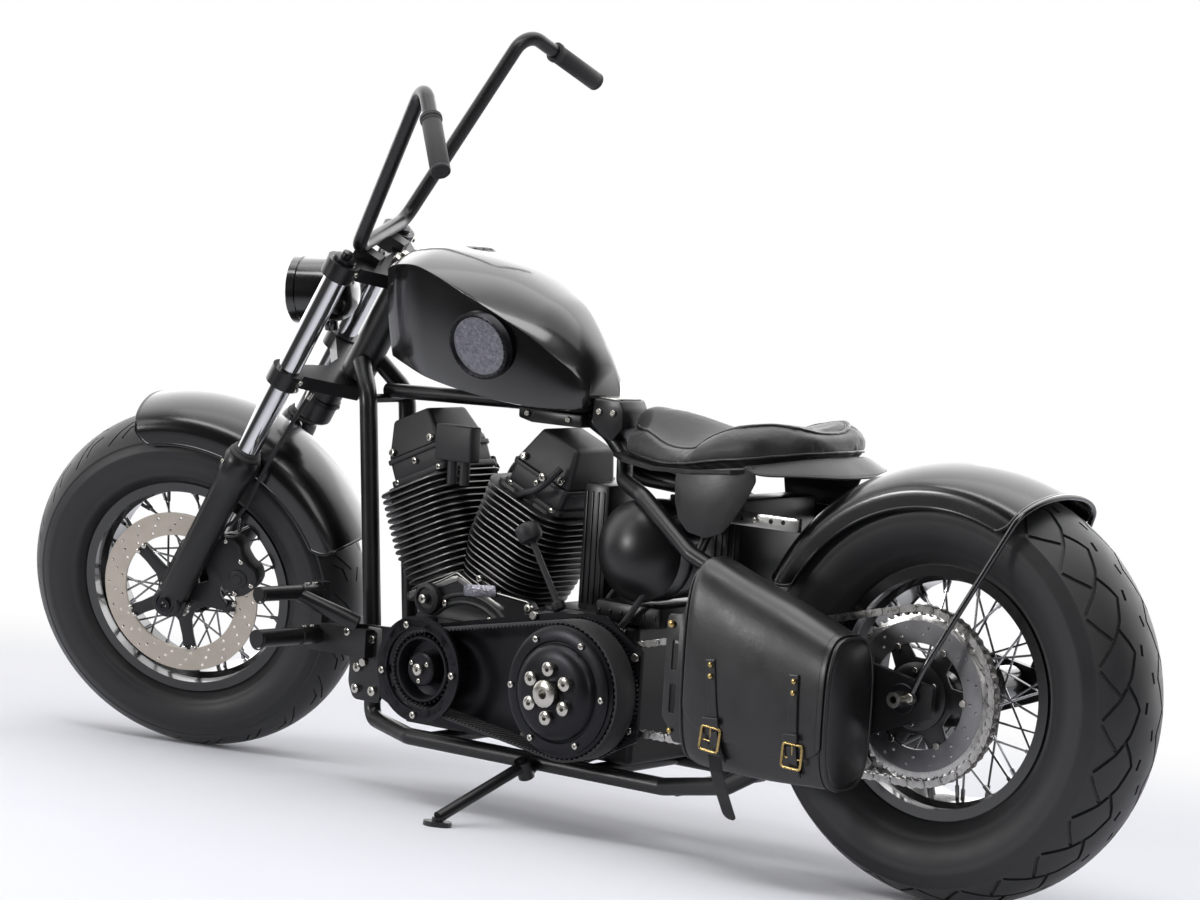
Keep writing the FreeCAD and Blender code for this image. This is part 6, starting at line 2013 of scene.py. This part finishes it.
# ---- seat and bag ----------------------------------------------------------
def plumped(obj: bpy.types.Object, cap: float, cell: float = 5.0, pressure: float = 4.0) -> bpy.types.Object:
    """Fill a closed form as a cushion is filled, by a short cloth simulation.

    Args:
        obj: the closed form, in millimetres.
        cap: the furthest that a point may move, in millimetres.
        cell: the size of the even mesh it is made into.
        pressure: how hard it is filled.

    Returns:
        The filled form.
    """
    with_modifier(obj, "REMESH", mode="VOXEL", voxel_size=cell)
    obj.data.transform(Matrix.Scale(MM, 4))
    rest = [vertex.co.copy() for vertex in obj.data.vertices]
    take(obj)
    cloth = obj.modifiers.new("cloth", "CLOTH")
    cloth.settings.use_pressure = True
    cloth.settings.uniform_pressure_force = pressure
    cloth.settings.effector_weights.gravity = 0
    cloth.point_cache.frame_end = 20
    for frame in range(1, 21):
        bpy.context.scene.frame_set(frame)
    bpy.ops.object.modifier_apply(modifier=cloth.name)
    bpy.context.scene.frame_set(1)
    for vertex, start in zip(obj.data.vertices, rest):
        moved = vertex.co - start
        if moved.length > cap * MM:
            vertex.co = start + moved * (cap * MM / moved.length)
    obj.data.transform(Matrix.Scale(1 / MM, 4))
    return with_modifier(obj, "SUBSURF", levels=1, render_levels=1)


def snapped(obj: bpy.types.Object, points: Sequence[Vector], lift: float = 0.0) -> list[Vector]:
    """Return the points moved onto the object's surface, and out from it by a lift."""
    out = []
    for point in points:
        hit, place, normal, _ = obj.closest_point_on_mesh(point)
        out.append(place + normal * lift if hit else Vector(point))
    return out


def stitches(name: str, path: Sequence[Vector], up: Sequence[Vector], pitch: float = 5.0) -> bpy.types.Object:
    """Lay short thread stitches along a path.

    Args:
        name: the piece's name.
        path: the seam's points.
        up: the surface's normal at each of them.
        pitch: the distance from one stitch to the next, in millimetres.

    Returns:
        All stitches as one object.
    """
    points, faces, left = [], [], 0.0
    for n in range(len(path) - 1):
        a, b = Vector(path[n]), Vector(path[n + 1])
        way = (b - a)
        length = way.length
        if length < 1e-6:
            continue
        way /= length
        out = Vector(up[n]).normalized()
        wide = way.cross(out).normalized()
        while left < length:
            at = a + way * left + out * 0.2
            base = len(points)
            for along, side, rise in ((-1.6, 0, 0), (-1.1, -0.5, 0), (-1.1, 0.5, 0), (1.1, -0.5, 0), (1.1, 0.5, 0),
                                      (1.6, 0, 0), (-0.9, 0, 0.55), (0.9, 0, 0.55)):
                points.append(at + way * along + wide * side + out * rise)
            faces += [[base + k for k in loop] for loop in ((0, 1, 6), (0, 6, 2), (1, 3, 7, 6), (2, 6, 7, 4), (3, 5, 7),
                                                            (4, 7, 5), (0, 2, 1), (1, 2, 4, 3), (3, 4, 5))]
            left += pitch
        left -= length
    return tidy_mesh(drawn(name, points, (), faces), 0.0001)


@dataclass
class Seat:
    """A sprung-look solo saddle: the padded top, its piping, the valance and the skirts."""

    rows: Sequence[Sequence[float]] = (
        # x, half width, bottom, top at the middle, rim
        (256, 14, 692, 702, 702), (260, 50, 688, 717, 716), (270, 84, 685, 725, 725), (294, 120, 678, 724, 730),
        (330, 146, 670, 713, 730), (400, 156, 660, 700, 712),
        (440, 154, 654, 700, 695), (475, 146, 650, 706, 676), (540, 122, 645, 720, 672), (600, 94, 646, 730, 686),
        (640, 70, 650, 735, 694), (664, 50, 656, 728, 694), (679, 26, 666, 712, 692))

    def point(self, u: float, v: float) -> Point:
        """Return the skin's point at a share u round the section and v along the seat."""
        low, high = self.rows[0][0], self.rows[-1][0]
        x = low + (high - low) * (0.5 - 0.5 * math.cos(math.pi * v))
        _, wide, bottom, top, rim = between(self.rows, x)
        middle = bottom + 0.45 * (rim - bottom)
        turn = math.tau * u
        side = math.sin(turn)
        share = abs(side)
        if math.cos(turn) < 0:
            y = wide * math.copysign(share ** 0.55, side)
            drop = abs(math.cos(turn)) ** 0.3
            return (x, y, middle + (bottom - middle) * drop)
        y = wide * math.copysign(share ** 0.9, side)
        s = abs(y) / wide
        if s <= 0.72:
            blend = s / 0.72
            return (x, y, top + (rim - top) * blend * blend * (3 - 2 * blend))
        fall = (s - 0.72) / 0.28
        return (x, y, middle + (rim - middle) * math.sqrt(max(0.0, 1 - fall ** 2.4)))

    def edge(self, share: float, level: float, steps: int = 90) -> list[Vector]:
        """Return a closed line round the seat.

        Args:
            share: the share of the half width it runs at.
            level: 0 for the bottom, 1 for the rim.
            steps: the points on each side.

        Returns:
            Its points, left side first, and back along the right side.
        """
        low, high = self.rows[0][0], self.rows[-1][0]
        half = []
        for n in range(steps + 1):
            x = low + (high - low) * (0.5 - 0.5 * math.cos(math.pi * n / steps))
            wide = between(self.rows, x)[1]
            at = 455 + (x - 455) * (0.55 + 0.45 * share)
            _, _, bottom, _, rim = between(self.rows, at)
            half.append((at, wide * share, bottom + (rim - bottom) * level))
        back = [(x, -y, z) for x, y, z in reversed(half)]
        return [Vector(p) for p in half + back + half[:1]]

    def build(self, bench: Bench) -> None:
        """Make the cushion with its piping, the valance and the skirts and fit them."""
        rig = bench.rig
        cushion = plumped(skinned("cushion", 72, 64, self.point), 7.0)
        rim = snapped(cushion, self.edge(0.74, 1.0), 0.6)
        low = snapped(cushion, self.edge(0.985, 0.16), 0.4)
        piping = joined("piping", [pipe("rim", rim, 3.0, 4), pipe("low", low, 2.6, 4)])
        seam = snapped(cushion, self.edge(0.68, 1.0), 0.1)
        ups = [(Vector((0, 0, 1)))] * len(seam)
        thread = stitches("thread", seam, ups, 5.5)
        bench.fit(cushion, "seat_cushion_leather", rig.bike, "chassis", [SEAT_HIDE], ["seat_cushion"], 60)
        bench.fit(piping, "seat_piping", rig.bike, "chassis", [BAG_HIDE], (), 60)
        bench.fit(thread, "seat_stitching", rig.bike, "chassis", [THREAD])
        self.valance(bench)
        self.skirts(bench)

    @staticmethod
    def valance(bench: Bench) -> None:
        """Hang the leather valance round the rear of the seat."""
        def place(u: float, v: float) -> Point:
            turn = math.radians(-66 + 132 * u)
            rear = math.cos(turn)
            out = v * (16 + 30 * rear ** 2)
            top = 658 + 28 * rear ** 1.2
            drop = (29 - 9 * math.sin(2 * turn) ** 2) * (1 - abs(2 * u - 1) ** 7) * v ** 1.25
            side = math.copysign(abs(math.sin(turn)) ** 0.7, turn)
            return (400 - (142 + out) * rear, (158 + 0.8 * out) * side, top - drop)

        sheet = walled(skinned("valance", 96, 10, place, False), 3.2)
        edge = [place(n / 96, 0.9) for n in range(97)]
        seam = snapped(sheet, [Vector(p) for p in edge], 0.0)
        bench.fit(eased(sheet, 0.8, 2, 50), "seat_valance", bench.rig.bike, "chassis", [SEAT_HIDE], (), 50)
        thread = stitches("thread", seam, [Vector((0, 0, 1))] * len(seam), 5.0)
        bench.fit(thread, "seat_valance_stitching", bench.rig.bike, "chassis", [THREAD])

    @staticmethod
    def skirts(bench: Bench) -> None:
        """Hang the leather side flaps under the seat and set the pale bracket bars."""
        outline = ((477, 632), (474, 648), (440, 652), (394, 658), (322, 668), (317, 645), (337, 604),
                   (358, 574), (372, 556), (404, 545), (440, 551), (462, 570), (473, 598))
        flaps, bars, seats = [], [], []
        for side in (1, -1):
            flap = slab("flap", outline, 0, 3.4, 4, 0.9)
            for vertex in flap.data.vertices:
                fall = max(0.0, (670 - vertex.co.z) / 120)
                vertex.co.y = side * (150 + vertex.co.y + 8 * fall ** 2)
            flaps.append(tidy_mesh(flap))
            bar = slab("bar", ((246, 570), (246, 592), (420, 592), (420, 570)), 124.3, 127.3, 6, 0.5)
            for x, z in ((359, 581), (276, 583), (300, 582)):
                cut_by(bar, rod((x, 110, z), (x, 140, z), 4.2, 32))
            if side < 0:
                bar.data.transform(Matrix.Scale(-1, 4, Y_AXIS))
                tidy_mesh(bar)
            bars.append(bar)
            seats += [((392, side * 127.3, 582), (0, side, 0), 4.6), ((330, side * 127.3, 582), (0, side, 0), 4.6)]
        bench.fit(joined("flaps", flaps), "seat_skirt_flaps", bench.rig.bike, "chassis", [BAG_HIDE], (), 40)
        bench.fit(joined("bars", bars), "seat_bracket_bars", bench.rig.bike, "chassis", [MACHINED])
        bench.fit(bolts("bar_bolts", seats), "seat_bracket_bolts", bench.rig.bike, "chassis", [ZINC])


@dataclass
class Saddlebag:
    """A thick-leather bag: the shell, its gussets, the flap, the straps and the brass."""

    centre: float = 235.0
    power: float = 3.2
    rows: Sequence[Sequence[float]] = (
        (50, 206, 424, 55), (54, 198, 432, 60), (66, 196, 436, 60), (110, 195, 452, 60), (180, 194, 478, 60),
        (250, 195, 502, 60), (308, 196, 523, 60), (322, 199, 525, 59), (334, 206, 512, 56), (342, 216, 494, 50))

    def section(self, x: float, turn: float, out: float = 0.0) -> Point:
        """Return the shell's point at x and an angle round its section, moved out of it."""
        _, low, top, half = between(self.rows, x)
        c, s = math.cos(turn), math.sin(turn)
        sag = 3.0 * math.exp(-((x - 215) / 110) ** 2) * max(0.0, -s)
        wide, tall = half + out, (top - low) / 2 + out
        y = wide * math.copysign(abs(c) ** (2 / self.power), c)
        z = tall * math.copysign(abs(s) ** (2 / self.power), s)
        dish = 1.6 * math.exp(-((x - 225) / 90) ** 2) * max(0.0, c) * max(0.0, 1 - (z / tall) ** 2)
        return (x, self.centre + y + dish, (top + low) / 2 + z - sag)

    def shell(self) -> bpy.types.Object:
        """Loft the bag's closed shell from its rear gusset to its front one."""
        low, high = self.rows[0][0], self.rows[-1][0]

        def place(u: float, v: float) -> Point:
            return self.section(low + (high - low) * (0.5 - 0.5 * math.cos(math.pi * v)), math.tau * u)

        return skinned("shell", 96, 60, place)

    def ring(self, x: float, out: float, start: float = 0.0, end: float = 360.0, steps: int = 96) -> list[Vector]:
        """Return the points of a line round the section at x, between two angles in degrees."""
        return [Vector(self.section(x, math.radians(start + (end - start) * n / steps), out)) for n in range(steps + 1)]

    def flap(self) -> bpy.types.Object:
        """Fold the flap's sheet from the inner top over the roll and down the outer face."""
        def place(u: float, v: float) -> Point:
            x = 60 + (328 - 60) * u
            reach = -24 - 5 * math.sin(math.pi * u) + 10 * abs(2 * u - 1) ** 8
            return self.section(x, math.radians(125 + (reach - 125) * v), 3.6)

        return eased(walled(skinned("flap", 70, 60, place, False), 2.6), 0.7, 2, 50)

    def strap(self, path: Sequence[tuple[float, float]], half: float, out: float) -> bpy.types.Object:
        """Lay a flat strap on the bag's outer face.

        Args:
            path: (x, z) points down the face.
            half: half the strap's width.
            out: how far its back lies from the shell.

        Returns:
            The strap.
        """
        run = [Vector((x, z)) for x, z in path]
        steps = 40

        def place(u: float, v: float) -> Point:
            at = v * (len(run) - 1)
            n = min(int(at), len(run) - 2)
            spot = run[n].lerp(run[n + 1], at - n)
            way = (run[n + 1] - run[n]).normalized()
            side = Vector((-way.y, way.x)) * half * (2 * u - 1)
            x, z = spot.x + side.x, spot.y + side.y
            return (x, self.face(x, z) + out, z)

        return eased(walled(skinned("strap", 6, steps, place, False), -4.2), 0.8, 2, 50)

    def face(self, x: float, z: float) -> float:
        """Return the outer face's y at x and z."""
        _, low, top, half = between(self.rows, x)
        share = min(0.995, abs(2 * (z - (top + low) / 2) / (top - low)))
        return self.centre + half * (1 - share ** self.power) ** (1 / self.power)

    @staticmethod
    def buckle(at: Point, tilt: float) -> bpy.types.Object:
        """Bend one rectangular brass buckle with its prong.

        Args:
            at: its centre.
            tilt: its turn about Y in degrees.

        Returns:
            The buckle.
        """
        loop = []
        for x, z, start in ((13, 14, 0), (-13, 14, 90), (-13, -14, 180), (13, -14, 270)):
            for step in range(5):
                a = math.radians(start + 22.5 * step)
                loop.append((x + 5 * math.cos(a), 0, z + 5 * math.sin(a)))
        frame = pipe("buckle", [*loop, loop[0]], 2.3, 3, False)
        bar = rod((-18, -3.6, -4), (18, -3.6, -4), 1.4, 16)
        prong = rod((0, -2.6, -4), (0, 2.4, 18), 1.1, 14)
        piece = joined("buckle", [frame, bar, prong])
        piece.data.transform(Matrix.Translation(Vector(at)) @ Matrix.Rotation(math.radians(tilt), 4, "Y"))
        return piece

    def build(self, bench: Bench) -> None:
        """Make the shell, the trim and the brass and fit them."""
        place = bench.rig.bike
        shell = self.shell()
        bench.fit(shell, "saddlebag_shell", place, "chassis", [BAG_HIDE], ["saddlebag"], 60)
        flap = self.flap()
        bench.fit(flap, "saddlebag_flap", place, "chassis", [BAG_HIDE], (), 60)
        piping = joined("piping", [pipe("rear", self.ring(54, 0.8), 3.6, 4), pipe("inner", self.ring(64, 0.6), 1.4, 3),
                                   pipe("front", self.ring(334, 1.0), 2.8, 4)])
        bench.fit(piping, "saddlebag_piping", place, "chassis", [BAG_HIDE], (), 60)
        seam = self.ring(70, 3.7, -22, 120, 80)
        ups = [(p - Vector((70, self.centre, 314))).normalized() for p in seam]
        bench.fit(stitches("thread", seam, ups), "saddlebag_stitching", place, "chassis", [THREAD])
        straps = [self.strap(((275, 376), (271, 340), (266, 300), (261, 268)), 9, 3.2),
                  self.strap(((115, 374), (114, 340), (112, 300), (110, 264)), 9, 3.2),
                  self.strap(((263, 262), (258, 238), (252, 214)), 9, 4.4),
                  self.strap(((111, 262), (109, 238), (107, 214)), 9, 4.4),
                  self.strap(((280, 278), (250, 280)), 6, 8.6), self.strap(((124, 276), (98, 277)), 6, 8.6)]
        tail_path = [Vector(p) for p in ((255, 302.5, 226), (249, 301, 200), (243, 297, 176), (236, 290, 150), (227, 286, 126))]

        def tail(u: float, v: float) -> Point:
            at = v * (len(tail_path) - 1)
            n = min(int(at), len(tail_path) - 2)
            spot = tail_path[n].lerp(tail_path[n + 1], at - n)
            half = 11 * (1 if v < 0.91 else max(0.3, math.sqrt(max(0.0, 1 - ((v - 0.91) / 0.095) ** 2))))
            return (spot.x + 0.88 * half * (2 * u - 1), spot.y + 0.42 * half * (2 * u - 1), spot.z + 0.22 * half * (2 * u - 1))

        straps.append(eased(walled(skinned("tail", 6, 60, tail, False), 3.0), 0.6, 2, 50))
        bench.fit(joined("straps", straps), "saddlebag_straps", place, "chassis", [BAG_HIDE], (), 50)
        buckles = [self.buckle((271 - 3, self.face(271, 250) + 9.2, 250), -6), self.buckle((109, self.face(109, 247) + 9.2, 247), -3)]
        bench.fit(joined("buckles", buckles), "saddlebag_buckles", place, "chassis", [BRASS], (), 50)
        strip = slab("strip", ((336, 222), (336, 452), (372, 452), (378, 430), (405, 428), (409, 418), (409, 262),
                               (396, 246), (384, 222)), 236, 240.5, 5, 0.8)
        for z in (292, 362):
            cut_by(strip, block((384, 230, z - 24), (396, 246, z + 24), 3))
        bench.fit(strip, "saddlebag_edge_strip", place, "chassis", [BAG_HIDE], (), 40)
        rivets = [((x, self.face(x, z) + 7.4, z), (0, 1, 0), 4.2) for x, z in ((272, 368), (271, 350), (112, 364), (112, 346))]
        rivets += [((398, 240.6, 412), (0, 1, 0), 6.0), ((390, 240.6, 240), (0, 1, 0), 4.4)]
        bench.fit(bolts("rivets", rivets, Head.DOME), "saddlebag_rivets", place, "chassis", [BRASS])


def build_soft(bench: Bench) -> None:
    """Build the seat and the saddlebag."""
    Seat().build(bench)
    Saddlebag().build(bench)




# ---- making ----------------------------------------------------------------
@dataclass
class Motorcycle:
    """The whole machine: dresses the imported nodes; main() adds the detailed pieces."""

    bench: Bench
    frame: dict

    def dress_nodes(self) -> None:
        """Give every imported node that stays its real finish."""
        rig = self.bench.rig
        for finish, place, names in (
                (POWDER, rig.bike, "frame_spine down_tube_left down_tube_right lower_rail_left lower_rail_right "
                                   "rear_stay_left rear_stay_right side_stand foot_control_left "
                                   "foot_control_right seat_pan fender_strut rear_caliper"),
                (POWDER, rig.front, "lower_clamp upper_clamp handlebar fork_leg_left fork_leg_right horn "
                                    "headlamp front_caliper"),
                (ENAMEL, rig.bike, "fuel_tank rear_fender oil_tank exhaust"),
                (ENAMEL, rig.front, "front_fender front_rim rear_rim"),
                (CAST_BLACK, rig.bike, "crankcase gearbox cylinder_front cylinder_rear"),
                (WRINKLE, rig.bike, "rocker_box_front rocker_box_rear air_cleaner"),
                (ANODISED, rig.bike, "primary_plate front_pulley clutch_drum front_axle"),
                (CHROME, rig.front, "stanchion_left stanchion_right"),
                (ZINC, rig.bike, "rear_axle"),
                (SPOKE_WIRE, rig.bike, "rear_hub front_hub"),
                (DISC, rig.fork, "front_disc"),
                (CHAIN, rig.bike, "rear_sprocket drive_chain_upper drive_chain_lower"),
                (TYRE, rig.bike, "rear_tyre front_tyre"),
                (RUBBER, rig.bike, "grip_left grip_right brake_hose primary_belt"),
                (SEAT_HIDE, rig.bike, "seat_cushion"),
                (BAG_HIDE, rig.bike, "saddlebag")):
            for name in names.split():
                node = self.frame["nodes"][name]
                node.data.materials.clear()
                node.data.materials.append(self.bench.dress(finish, place))


def main() -> None:
    """Build the scene and report what was made."""
    logging.basicConfig(level=logging.INFO, format="%(message)s")
    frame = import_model()
    Studio().build()
    bench = Bench(Rig(frame["record"], frame["nodes"]))
    Motorcycle(bench, frame).dress_nodes()
    for step in (build_wheels, build_engine, build_bodywork, build_front, build_soft):
        step(bench)
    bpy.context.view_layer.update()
    LOG.info("%d pieces made", bench.count)


if __name__ == "__main__":
    main()
